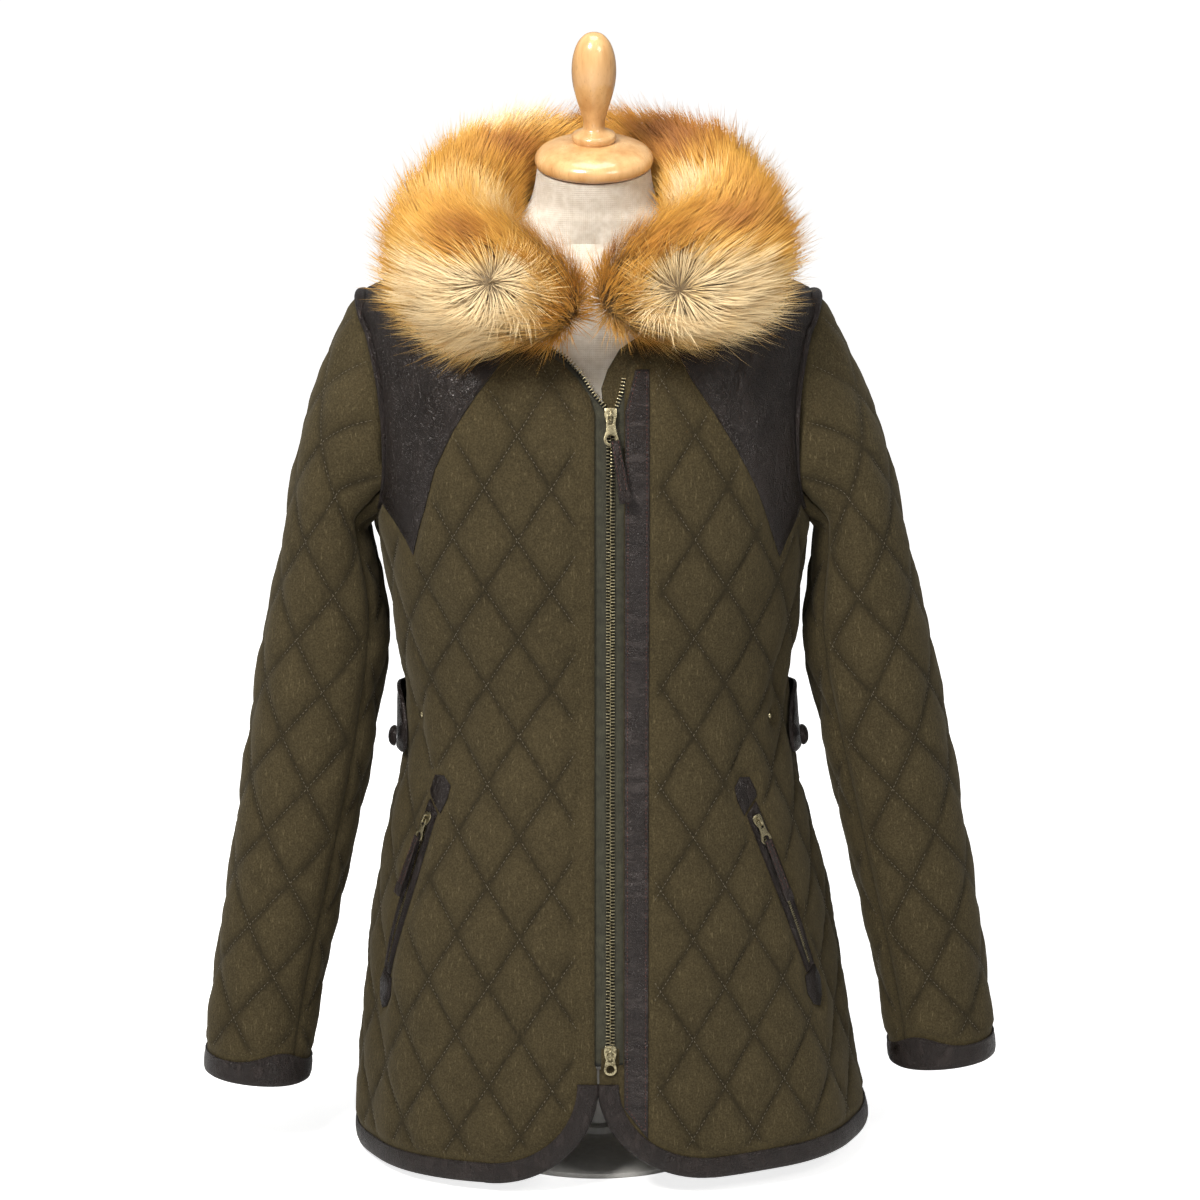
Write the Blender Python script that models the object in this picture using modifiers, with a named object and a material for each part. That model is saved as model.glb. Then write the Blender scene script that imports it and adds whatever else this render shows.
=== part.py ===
"""
Quilted field coat with a fur collar, worn by a limbless dress form.

Metres, +Z up. The coat faces -Y and the origin is under the middle of the form's base.
Right and left are the wearer's, so the right front and the right sleeve lie at -X.

Each cut piece of cloth is an outline in flat coordinates (across, up). It is wrapped on a
surface of rings, the body's or a sleeve's, and given its thickness there. The quilted
diamonds are raised in the outer points, over a plain inside.
"""

import math

import bmesh
import bpy
import numpy as np
from mathutils import Matrix, Vector
from mathutils.geometry import delaunay_2d_cdt

# ---- Driving dimensions ----------------------------------------------------------------
GAP = 0.0003               # between pieces that meet
CLOTH = 0.0022             # padded wool where its seams press it flat
PUFF = 0.0030              # rise of a diamond's middle above its seams
LEATHER = 0.0012
TAPE = 0.0010
DIAMOND_WIDTH = 0.0526
DIAMOND_HEIGHT = 0.0812
LATTICE_LEVEL = 0.5357     # a row of the body's seam crossings
ZIP_X = 0.0102             # the zip's line, a little to the wearer's left
ZIP_TOP = 0.6320           # top slider's middle
ZIP_END = 0.1130
UNDERARM = 0.5450
SHOULDER = 0.7085
NECK_POINT = 0.7650
WELT_WIDTH = 0.0073        # leather piping round the armhole
BINDING = 0.0155           # leather binding on hem and cuffs
EDGE_STEP = 0.0160         # spacing of the points along a cut edge
PLAIN_STEP = 0.0290        # spacing of the points inside a plain piece

# ---- Tables ----------------------------------------------------------------------------
# The body's inside, ring by ring: how far the ring reaches to each side of its middle,
# to the front and to the back, and how square it is.
BODY_RINGS = (
    # level, mid_x, half_width, front, back, square
    (-0.010, 0.0135, 0.2120, 0.150, 0.149, 0.10),
    (0.022, 0.0121, 0.2112, 0.149, 0.148, 0.10),
    (0.075, 0.0083, 0.2040, 0.147, 0.147, 0.10),
    (0.127, 0.0066, 0.1967, 0.143, 0.144, 0.10),
    (0.180, 0.0045, 0.1898, 0.139, 0.140, 0.10),
    (0.231, 0.0037, 0.1810, 0.134, 0.134, 0.10),
    (0.283, 0.0016, 0.1690, 0.128, 0.125, 0.11),
    (0.334, 0.0012, 0.1566, 0.121, 0.113, 0.12),
    (0.372, 0.0000, 0.1528, 0.116, 0.104, 0.13),
    (0.410, -0.0009, 0.1545, 0.116, 0.101, 0.14),
    (0.4355, -0.0013, 0.1597, 0.119, 0.102, 0.14),
    (0.470, -0.0020, 0.1632, 0.125, 0.106, 0.15),
    (0.500, -0.0030, 0.1670, 0.130, 0.111, 0.15),
    (0.545, -0.0045, 0.1750, 0.133, 0.116, 0.14),
    (0.600, -0.0055, 0.1800, 0.127, 0.118, 0.13),
    (0.650, -0.0065, 0.1840, 0.113, 0.113, 0.12),
    (0.690, -0.0072, 0.1865, 0.094, 0.102, 0.10),
    (0.7085, -0.0073, 0.1860, 0.083, 0.093, 0.08),
    (0.722, -0.0070, 0.1580, 0.074, 0.086, 0.06),
    (0.735, -0.0060, 0.1310, 0.066, 0.079, 0.04),
    (0.750, -0.0045, 0.1030, 0.058, 0.071, 0.02),
    (0.765, -0.0030, 0.0770, 0.051, 0.064, 0.00),
    (0.775, -0.0030, 0.0640, 0.046, 0.058, 0.00),
)
# How far the armhole's line lies from the body's middle.
ARMHOLE = (
    # level, half_distance
    (0.5450, 0.1750), (0.5510, 0.1705), (0.5650, 0.1668), (0.6000, 0.1640),
    (0.6350, 0.1652), (0.6650, 0.1700), (0.6900, 0.1768), (0.7085, 0.1860),
)
# The left sleeve's inside: where each ring starts and ends in the front view.
SLEEVE_RINGS = (
    # outer_x, outer_z, inner_x, inner_z, mid_y, half_depth, lean
    (0.1860, 0.7085, 0.1750, 0.5450, 0.0000, 0.0550, -0.0073),
    (0.2030, 0.6750, 0.1840, 0.5450, -0.0005, 0.0585, -0.0070),
    (0.2165, 0.6430, 0.1885, 0.5370, -0.0010, 0.0600, -0.0060),
    (0.2305, 0.6020, 0.1855, 0.5180, -0.0015, 0.0605, -0.0045),
    (0.2425, 0.5560, 0.1815, 0.5000, -0.0020, 0.0600, -0.0030),
    (0.2530, 0.5070, 0.1757, 0.4740, -0.0025, 0.0590, -0.0015),
    (0.2635, 0.4600, 0.1722, 0.4400, -0.0030, 0.0570, -0.0010),
    (0.2738, 0.4100, 0.1780, 0.3950, -0.0035, 0.0550, -0.0004),
    (0.2835, 0.3580, 0.1882, 0.3440, -0.0045, 0.0535, 0.0012),
    (0.2922, 0.3050, 0.2000, 0.2920, -0.0060, 0.0520, 0.0020),
    (0.3008, 0.2520, 0.2118, 0.2400, -0.0080, 0.0500, 0.0024),
    (0.3088, 0.2030, 0.2230, 0.1920, -0.0100, 0.0470, 0.0026),
    (0.3162, 0.1540, 0.2340, 0.1440, -0.0120, 0.0440, 0.0026),
    (0.3230, 0.1080, 0.2415, 0.0990, -0.0135, 0.0410, 0.0024),
    (0.3275, 0.0660, 0.2462, 0.0580, -0.0145, 0.0395, 0.0024),
)
# Soft folds pressed into the body's cloth. Negative depth is a hollow.
BODY_FOLDS = (
    # degrees, level, half_degrees, half_height, slant, depth
    (-62, 0.330, 7, 0.085, -60, -0.0040),
    (-40, 0.360, 6, 0.120, -25, -0.0035),
    (44, 0.350, 6, 0.120, 25, -0.0035),
    (64, 0.395, 6, 0.070, 40, -0.0035),
    (-20, 0.130, 8, 0.110, -10, -0.0035),
    (34, 0.120, 8, 0.120, 12, -0.0040),
    (-66, 0.110, 9, 0.110, -12, -0.0045),
    (70, 0.130, 9, 0.110, 12, -0.0040),
    (118, 0.150, 8, 0.130, 12, -0.0050),
    (152, 0.170, 9, 0.140, 8, -0.0050),
    (-150, 0.140, 8, 0.120, -10, -0.0050),
    (-112, 0.120, 9, 0.110, -10, -0.0045),
    (180, 0.360, 10, 0.090, 0, -0.0040),
)
# Soft folds in the sleeves, by the turn round the sleeve and the distance from the cuff.
SLEEVE_FOLDS = (
    # degrees, level, half_degrees, half_height, slant, depth
    (-70, 0.330, 26, 0.022, 200, -0.0035),
    (-30, 0.385, 22, 0.020, 160, -0.0030),
    (60, 0.300, 26, 0.024, -150, -0.0028),
    (20, 0.180, 24, 0.026, 120, -0.0025),
    (100, 0.430, 24, 0.030, -90, -0.0030),
    (-100, 0.430, 26, 0.022, 60, -0.0030),
    (170, 0.280, 30, 0.026, 80, -0.0035),
    (150, 0.140, 26, 0.026, -90, -0.0030),
)
# The fur roll, from the end of its ball at the front to the middle of the back.
FUR_ROLL = (
    # x, y, z, half_across, half_high
    (0.0200, -0.118, 0.7220, 0.0100, 0.0100),
    (0.0260, -0.122, 0.7260, 0.0420, 0.0430),
    (0.0450, -0.123, 0.7330, 0.0600, 0.0610),
    (0.0750, -0.114, 0.7390, 0.0700, 0.0700),
    (0.0980, -0.088, 0.7460, 0.0720, 0.0700),
    (0.1060, -0.052, 0.7600, 0.0660, 0.0640),
    (0.1010, -0.015, 0.7780, 0.0600, 0.0600),
    (0.0860, 0.025, 0.7930, 0.0560, 0.0580),
    (0.0600, 0.062, 0.8010, 0.0560, 0.0580),
    (0.0300, 0.082, 0.8030, 0.0560, 0.0570),
    (0.0000, 0.089, 0.8020, 0.0560, 0.0560),
)
# The form's neck above the coat, then its turned wood, both leaning forward.
FORM_NECK = (
    # level, mid_y, half_width, front, back
    (0.7760, 0.000, 0.0600, 0.0500, 0.0530),
    (0.7880, -0.004, 0.0510, 0.0470, 0.0480),
    (0.8020, -0.009, 0.0470, 0.0450, 0.0450),
    (0.8160, -0.014, 0.0450, 0.0435, 0.0435),
)
NECK_CAP = (
    # radius, height
    (0.0435, 0.0000), (0.0462, 0.0018), (0.0472, 0.0050), (0.0468, 0.0085), (0.0440, 0.0125),
    (0.0370, 0.0165), (0.0270, 0.0195), (0.0190, 0.0208), (0.0000, 0.0208),
)
FINIAL = (
    # radius, height
    (0.0165, 0.0000), (0.0176, 0.0020), (0.0174, 0.0055), (0.0135, 0.0078), (0.0092, 0.0105),
    (0.0085, 0.0150), (0.0102, 0.0230), (0.0142, 0.0360), (0.0172, 0.0500), (0.0176, 0.0600),
    (0.0160, 0.0720), (0.0118, 0.0820), (0.0060, 0.0875), (0.0000, 0.0888),
)
BASE = (
    # radius, height
    (0.1050, 0.0000), (0.1060, 0.0012), (0.1060, 0.0042), (0.1035, 0.0058), (0.0300, 0.0064),
    (0.0240, 0.0090), (0.0225, 0.0140), (0.0000, 0.0140),
)
POLE_RADIUS = 0.0120
FORM_BOTTOM = 0.1750
NECK_LEAN = math.radians(13)


# ---- Small tools -----------------------------------------------------------------------
def smooth(value):
    value = np.clip(value, 0.0, 1.0)
    return value * value * (3.0 - 2.0 * value)


def curve(table, column, level):
    """A column of a table at any level, on a smooth curve through its rows."""
    table = np.asarray(table)
    if table[0, 0] > table[-1, 0]:
        table = table[::-1]
    x, y = table[:, 0], table[:, column]
    slope = np.gradient(y, x)
    level = np.clip(level, x[0], x[-1])
    row = np.clip(np.searchsorted(x, level) - 1, 0, len(x) - 2)
    step = x[row + 1] - x[row]
    t = (level - x[row]) / step
    return ((2 * t**3 - 3 * t**2 + 1) * y[row] + (t**3 - 2 * t**2 + t) * step * slope[row]
            + (3 * t**2 - 2 * t**3) * y[row + 1] + (t**3 - t**2) * step * slope[row + 1])


def fold_depth(folds, degrees, level):
    total = np.zeros(np.broadcast(degrees, level).shape)
    for centre, height, half_degrees, half_height, slant, depth in folds:
        turn = degrees - centre - slant * (level - height)
        turn = (turn + 180.0) % 360.0 - 180.0
        total += depth * np.exp(-(turn / half_degrees) ** 2 - ((level - height) / half_height) ** 2)
    return total


def unit(vectors):
    return vectors / np.maximum(np.linalg.norm(vectors, axis=-1, keepdims=True), 1e-12)


def resample(points, step):
    """The same open line with points evenly spaced, its own corners kept."""
    result = [points[0]]
    for start, end in zip(points[:-1], points[1:]):
        start, end = np.asarray(start, float), np.asarray(end, float)
        count = max(1, int(round(np.linalg.norm(end - start) / step)))
        result += [start + (end - start) * k / count for k in range(1, count + 1)]
    return [tuple(float(v) for v in p) for p in result]


def spline(points, count):
    """Evenly spaced points on a smooth curve through a few."""
    points = np.asarray(points, float)
    length = np.concatenate([[0], np.cumsum(np.linalg.norm(np.diff(points, axis=0), axis=1))])
    table = np.column_stack([length, points])
    at = np.linspace(0, length[-1], count)
    return [tuple(float(v) for v in row)
            for row in np.column_stack([curve(table, c + 1, at) for c in range(points.shape[1])])]


# ---- Surfaces --------------------------------------------------------------------------
class Surface:
    """Rings of a tube, with flat coordinates: across from its zero line, and up."""

    def __init__(self, point, zero, span, levels, climbs, rim=None, line_x=None, settle=None):
        self.point, self.climbs, self.rim = point, climbs, rim
        self.angles = zero + np.linspace(-span, span, 721)
        self.levels = np.asarray(levels)
        grid = point(self.angles[None, :], self.levels[:, None])
        around = np.linalg.norm(np.diff(grid, axis=1), axis=2)
        around = np.concatenate([np.zeros((len(levels), 1)), np.cumsum(around, axis=1)], axis=1)
        self.around = around - around[:, 360:361]
        if line_x is not None:
            near = slice(300, 421)
            start = [np.interp(line_x, row[near, 0], length[near])
                     for row, length in zip(grid, self.around)]
            self.around = self.around - np.array(start)[:, None]
        if settle is not None:
            last = int(np.searchsorted(self.levels, settle))
            self.around[last:] = self.around[last]
        if climbs:
            rise = np.linalg.norm(np.diff(grid, axis=0), axis=2)
            self.up = np.concatenate([np.zeros((1, 721)), np.cumsum(rise, axis=0)], axis=0)
        else:
            self.up = np.repeat(self.levels[:, None], 721, axis=1)

    def sample(self, table, angle, level):
        col = (angle - self.angles[0]) / (self.angles[-1] - self.angles[0]) * 720
        row = (level - self.levels[0]) / (self.levels[-1] - self.levels[0]) * (len(self.levels) - 1)
        c = np.clip(np.floor(col).astype(int), 0, 719)
        r = np.clip(np.floor(row).astype(int), 0, len(self.levels) - 2)
        fc, fr = col - c, row - r
        top = table[r, c] * (1 - fc) + table[r, c + 1] * fc
        low = table[r + 1, c] * (1 - fc) + table[r + 1, c + 1] * fc
        return top * (1 - fr) + low * fr

    def flat(self, angle, level):
        angle, level = np.asarray(angle, float), np.asarray(level, float)
        return self.sample(self.around, angle, level), self.sample(self.up, angle, level)

    def locate(self, across, up):
        """The angle and level of flat points: the nearest table entry, then corrections."""
        across, up = np.asarray(across, float), np.asarray(up, float)
        rows, cols = slice(None, None, 6), slice(None, None, 12)
        angles, levels = np.meshgrid(self.angles[cols], self.levels[rows])
        known = np.column_stack([self.around[rows, cols].ravel(), self.up[rows, cols].ravel()])
        wanted = np.column_stack([across, up])
        nearest = np.array([np.argmin(np.sum((known - point) ** 2, axis=1)) for point in wanted])
        angle, level = angles.ravel()[nearest], levels.ravel()[nearest]
        width, height = math.radians(0.5), self.levels[1] - self.levels[0]
        for _ in range(12):
            a, u = self.flat(angle, level)
            aw, uw = self.flat(angle + width, level)
            ah, uh = self.flat(angle, level + height)
            jaa, jua = (aw - a) / width, (uw - u) / width
            jal, jul = (ah - a) / height, (uh - u) / height
            size = jaa * jul - jal * jua
            size = np.where(np.abs(size) < 1e-3, 1e-3, size)
            da, du = across - a, up - u
            angle = angle + np.clip((da * jul - du * jal) / size, -0.15, 0.15)
            level = level + np.clip((du * jaa - da * jua) / size, -0.02, 0.02)
            angle = np.clip(angle, self.angles[0], self.angles[-1])
            level = np.clip(level, self.levels[0] - height, self.levels[-1] + height)
        return angle, level

    def normal(self, angle, level):
        da, dl = 1e-3, 4e-4
        side = self.point(angle + da, level) - self.point(angle - da, level)
        rise = self.point(angle, level + dl) - self.point(angle, level - dl)
        out = unit(np.cross(side, rise))
        return out if self.rim is None else self.rim(angle, level, out)

    def lift(self, angle, level, height):
        height = np.broadcast_to(np.asarray(height, float), np.shape(angle))
        return self.point(angle, level) + self.normal(angle, level) * height[..., None]

    def place(self, flat_points, height):
        flat_points = np.asarray(flat_points, float)
        angle, level = self.locate(flat_points[:, 0], flat_points[:, 1])
        return self.lift(angle, level, height)


def body_point(angle, level):
    angle, level = np.broadcast_arrays(np.asarray(angle, float), np.asarray(level, float))
    mid, half, front, back, square = (curve(BODY_RINGS, c, level) for c in range(1, 6))
    fold = fold_depth(BODY_FOLDS, np.degrees(angle), level)
    sine, cosine = np.sin(angle), np.cos(angle)
    depth = np.where(cosine > 0, front, back)
    x = mid + (half + fold * np.abs(sine)) * sine * (1 + square * cosine**2)
    y = -(depth + fold) * cosine * (1 + square * sine**2)
    return np.stack([x, y, level], axis=-1)


def armhole_angle(level):
    """The angle, from the front's middle, at which the armhole's line crosses a level."""
    level = np.atleast_1d(level)
    reach = curve(ARMHOLE, 1, level)
    angles = np.linspace(0, math.pi / 2, 400)
    result = []
    for z, x in zip(level, reach):
        half, square = curve(BODY_RINGS, 2, z), curve(BODY_RINGS, 5, z)
        wide = half * np.sin(angles) * (1 + square * np.cos(angles) ** 2)
        result.append(np.interp(min(x, wide[-1]), np.maximum.accumulate(wide), angles))
    return np.array(result)


def armhole_place(side, turn):
    """Body angle and level on the armhole, where turn 0 is in front and 90 degrees outside."""
    outward = np.clip(np.sin(turn) * side, -1, 1)
    middle, reach = (SHOULDER + UNDERARM) / 2, (SHOULDER - UNDERARM) / 2
    level = middle + reach * outward
    shape = np.shape(level)
    front = armhole_angle(np.ravel(level)).reshape(shape)
    return np.where(np.cos(turn) >= 0, front, math.pi - front) * side, level


def sleeve_levels():
    rings = np.asarray(SLEEVE_RINGS)
    middle = np.column_stack([rings[:, 0] + rings[:, 2], rings[:, 1] + rings[:, 3]]) / 2
    down = np.concatenate([[0], np.cumsum(np.linalg.norm(np.diff(middle, axis=0), axis=1))])
    return down[-1] - down


SLEEVE_LEVELS = sleeve_levels()
SLEEVE_TABLE = np.column_stack([SLEEVE_LEVELS, np.asarray(SLEEVE_RINGS)])
SLEEVE_TOP = float(SLEEVE_LEVELS[0])
SLEEVE_BLEND = 0.070       # length over which a sleeve leaves the armhole's own line


def sleeve_ring(side, turn, level):
    outer_x, outer_z, inner_x, inner_z, mid_y, depth, lean = (
        curve(SLEEVE_TABLE, c, level) for c in range(1, 8))
    outward, forward = np.sin(turn) * side, np.cos(turn)
    square = 0.06
    reach = outward * (1 + square * forward**2)
    x = lean + side * ((outer_x + inner_x) / 2 + (outer_x - inner_x) / 2 * reach)
    z = (outer_z + inner_z) / 2 + (outer_z - inner_z) / 2 * reach
    y = mid_y - depth * forward * (1 + square * outward**2)
    return np.stack([x, y, z], axis=-1)


def make_sleeve_point(side):
    turns = np.radians(np.linspace(-360, 720, 1081))
    angle, level = armhole_place(side, turns)
    top = body_point(angle, level)
    shift = top - sleeve_ring(side, turns, np.full(turns.shape, SLEEVE_TOP))

    def point(turn, level):
        turn, level = np.broadcast_arrays(np.asarray(turn, float), np.asarray(level, float))
        ring = sleeve_ring(side, turn, level)
        away = np.stack([np.interp(turn, turns, shift[:, axis]) for axis in range(3)], axis=-1)
        keep = 1 - smooth((SLEEVE_TOP - level) / SLEEVE_BLEND)
        degrees = np.degrees(turn) * side
        fold = fold_depth(SLEEVE_FOLDS, degrees, level) * (1 - keep)
        pull = unit(ring - sleeve_ring(side, turn + math.pi, level))
        return ring + away * keep[..., None] + pull * fold[..., None]

    return point


def make_sleeve_rim(side):
    """Turns a sleeve's thickness, at the armhole, halfway towards the body's."""
    def rim(turn, level, out):
        angle, height = armhole_place(side, turn)
        body_out = body.normal(angle, height)
        mitre = unit(out + body_out)
        near = 1 - smooth((SLEEVE_TOP - level) / 0.012)
        return unit(out * (1 - near[..., None]) + mitre * near[..., None])
    return rim


BODY_LEVELS = np.linspace(-0.010, 0.775, 315)
body = Surface(body_point, 0.0, math.pi, BODY_LEVELS, climbs=False, line_x=ZIP_X)
body_back = Surface(body_point, math.pi, math.pi, BODY_LEVELS, climbs=False)
sleeves = {
    side: Surface(make_sleeve_point(side), 0.0, math.radians(320),
                  np.linspace(0.0, SLEEVE_TOP, 221), climbs=True, rim=make_sleeve_rim(side),
                  settle=SLEEVE_TOP - 0.110)
    for side in (-1, 1)
}


def across_at(x, level):
    """Flat place, on the front, of a point seen at x in the front view."""
    angles = np.radians(np.linspace(-90, 90, 361))
    points = body_point(angles, np.full(angles.shape, level))
    return float(body.flat(np.interp(x, points[:, 0], angles), level)[0])


def seen(*places):
    """Front-view places (x, z) as flat points on the front."""
    return [(across_at(x, z), z) for x, z in places]


# ---- Flat cutting ----------------------------------------------------------------------
def depth_inside(points, outline):
    """Distance of flat points from an outline, positive inside it."""
    points = np.atleast_2d(np.asarray(points, float))[:, None, :]
    start = np.asarray(outline, float)[None, :, :]
    end = np.roll(start, -1, axis=1)
    edge = end - start
    size = np.maximum(np.sum(edge * edge, axis=2), 1e-18)
    t = np.clip(np.sum((points - start) * edge, axis=2) / size, 0, 1)
    nearest = np.linalg.norm(points - start - t[..., None] * edge, axis=2).min(axis=1)
    crosses = (start[..., 1] > points[..., 1]) != (end[..., 1] > points[..., 1])
    tall = np.where(np.abs(edge[..., 1]) < 1e-15, 1e-15, edge[..., 1])
    crossing = start[..., 0] + (points[..., 1] - start[..., 1]) / tall * edge[..., 0]
    inside = np.sum(crosses & (points[..., 0] < crossing), axis=1) % 2 == 1
    return np.where(inside, nearest, -nearest)


def triangulate(outline, points, edges):
    """Flat triangles inside an outline, keeping the given edges, and each point's own place."""
    count = len(outline)
    ring = [(k, (k + 1) % count) for k in range(count)]
    everything = [Vector(p) for p in list(outline) + list(points)]
    verts, _, faces, origins, _, _ = delaunay_2d_cdt(
        everything, ring + [(a + count, b + count) for a, b in edges], [], 1, 1e-7)
    verts = np.array([tuple(v) for v in verts])
    faces = np.array([tuple(f) for f in faces])
    a, b, c = verts[faces[:, 0]], verts[faces[:, 1]], verts[faces[:, 2]]
    turned = (b[:, 0] - a[:, 0]) * (c[:, 1] - a[:, 1]) - (b[:, 1] - a[:, 1]) * (c[:, 0] - a[:, 0]) < 0
    faces[turned] = faces[turned][:, ::-1]
    first = {source: index for index, sources in enumerate(origins) for source in sources}
    return verts, faces, [first[k] for k in range(len(everything))]


def loops(faces):
    """Closed rows of points along the open edges of some triangles."""
    edges = {(int(f[k]), int(f[(k + 1) % 3])) for f in faces for k in range(3)}
    after = {a: b for a, b in edges if (b, a) not in edges}
    result = []
    while after:
        start, row = next(iter(after)), []
        while start in after:
            row.append(start)
            start = after.pop(start)
        result.append(row)
    return result


def plain_side(verts, faces, middles):
    """The same triangles with two in place of the four round each diamond's middle."""
    faces = [tuple(int(v) for v in f) for f in faces]
    for middle in middles:
        star = [f for f in faces if middle in f]
        if len(star) != 4:
            continue
        after = {f[(f.index(middle) + 1) % 3]: f[(f.index(middle) + 2) % 3] for f in star}
        ring = [max(after, key=lambda v: verts[v][1])]
        for _ in range(3):
            ring.append(after[ring[-1]])
        corners = verts[ring]
        step = np.roll(corners, -1, axis=0) - corners
        turn = np.roll(step, -1, axis=0)
        if np.all(step[:, 0] * turn[:, 1] - step[:, 1] * turn[:, 0] > 0):
            faces = [f for f in faces if middle not in f]
            faces += [(ring[0], ring[1], ring[2]), (ring[0], ring[2], ring[3])]
    return np.array(faces)


class Quilt:
    """The diamond lattice of one panel, in its flat coordinates."""

    def __init__(self, across, up, width=DIAMOND_WIDTH, height=DIAMOND_HEIGHT):
        self.across, self.up, self.width, self.height = across, up, width, height

    def rise(self, points):
        points = np.asarray(points)
        i = (points[:, 0] - self.across) / (self.width / 2)
        j = (points[:, 1] - self.up) / (self.height / 2)
        u, w = ((i + j) / 2) % 1.0 * 2 - 1, ((i - j) / 2) % 1.0 * 2 - 1
        return PUFF * (np.clip(1 - u * u, 0, 1) * np.clip(1 - w * w, 0, 1)) ** 0.6

    def at(self, i, j):
        return self.across + i * self.width / 2, self.up + j * self.height / 2

    def lines(self, outline, flats):
        """Seam lines stopped just short of every edge, and the diamonds' middles."""
        low, high = np.min(outline, axis=0), np.max(outline, axis=0)
        i0, i1 = (int((v - self.across) / (self.width / 2)) for v in (low[0], high[0]))
        j0, j1 = (int((v - self.up) / (self.height / 2)) for v in (low[1], high[1]))
        cells = [(i, j) for i in range(i0 - 2, i1 + 3) for j in range(j0 - 2, j1 + 3)]
        middles = np.array([self.at(i, j) for i, j in cells if (i + j) % 2])
        ends = np.array([(self.at(i, j), self.at(i + 1, j + rise))
                         for i, j in cells if (i + j) % 2 == 0 for rise in (1, -1)])
        steps = np.linspace(0, 1, 33)[None, :, None]
        rows = ends[:, :1] + (ends[:, 1:] - ends[:, :1]) * steps

        def room(candidates):
            result = depth_inside(candidates, outline)
            for flat in flats:
                result = np.minimum(result, -depth_inside(candidates, flat))
            return result

        kept = room(middles) > 0.006
        clear = (room(rows.reshape(-1, 2)) > 0.004).reshape(rows.shape[:2])
        points, edges, known = [], [], {}
        for row, free in zip(rows, clear):
            good = np.flatnonzero(free)
            if len(good) < 7 or good[-1] - good[0] != len(good) - 1:
                continue
            pair = []
            for point in (row[good[0]], row[good[-1]]):
                key = tuple(np.round(point, 5).tolist())
                if key not in known:
                    known[key] = len(points)
                    points.append(tuple(point))
                pair.append(known[key])
            edges.append(tuple(pair))
        return points, edges, [tuple(p) for p in middles[kept]]


def spread(outline, step):
    """A plain staggered grid of points inside an outline."""
    low, high = np.min(outline, axis=0), np.max(outline, axis=0)
    grid = [(x + (row % 2) * step / 2, y)
            for row, y in enumerate(np.arange(low[1] + step / 2, high[1], step))
            for x in np.arange(low[0], high[0], step)]
    if not grid:
        return []
    room = depth_inside(grid, outline)
    return [p for p, r in zip(grid, room) if r > step * 0.4]


# ---- Objects ---------------------------------------------------------------------------
for old in list(bpy.data.objects):
    bpy.data.objects.remove(old, do_unlink=True)
coat = bpy.data.collections.new("quilted_field_coat")
cutters = bpy.data.collections.new("cutters")
bpy.context.scene.collection.children.link(coat)
bpy.context.scene.collection.children.link(cutters)

FINISHES = {
    # name: (colour, roughness, metallic)
    "wool": ((0.040, 0.032, 0.016), 0.95, 0.0),
    "leather": ((0.018, 0.012, 0.010), 0.42, 0.0),
    "zip_tape": ((0.055, 0.062, 0.045), 0.85, 0.0),
    "brass": ((0.36, 0.30, 0.16), 0.35, 1.0),
    "fur": ((0.62, 0.34, 0.10), 0.90, 0.0),
    "beech": ((0.66, 0.40, 0.18), 0.35, 0.0),
    "form_cloth": ((0.78, 0.73, 0.64), 0.90, 0.0),
    "stand": ((0.80, 0.78, 0.74), 0.45, 0.0),
}
materials = {}
for finish, (colour, roughness, metallic) in FINISHES.items():
    made = bpy.data.materials.new(finish)
    made.use_nodes = True
    shader = made.node_tree.nodes["Principled BSDF"]
    shader.inputs["Base Color"].default_value = (*colour, 1.0)
    shader.inputs["Roughness"].default_value = roughness
    shader.inputs["Metallic"].default_value = metallic
    materials[finish] = made


def add_mesh(name, verts, faces, finish, collection=coat):
    mesh = bpy.data.meshes.new(name)
    mesh.from_pydata([tuple(map(float, v)) for v in verts], [], [tuple(map(int, f)) for f in faces])
    mesh.materials.append(materials[finish])
    mesh.validate()
    piece = bpy.data.objects.new(name, mesh)
    collection.objects.link(piece)
    return piece


def wall(name, outer, outer_faces, inner, inner_faces, rims, finish):
    """A closed wall of two skins, joined along pairs of matching rim rows."""
    offset = len(outer)
    faces = [tuple(f) for f in outer_faces]
    faces += [(f[2] + offset, f[1] + offset, f[0] + offset) for f in inner_faces]
    for high, low in rims:
        for k in range(len(high)):
            a, b = high[k], high[(k + 1) % len(high)]
            c, d = low[(k + 1) % len(low)] + offset, low[k] + offset
            faces += [(b, a, d), (b, d, c)]
    return add_mesh(name, np.vstack([outer, inner]), faces, finish)


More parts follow.
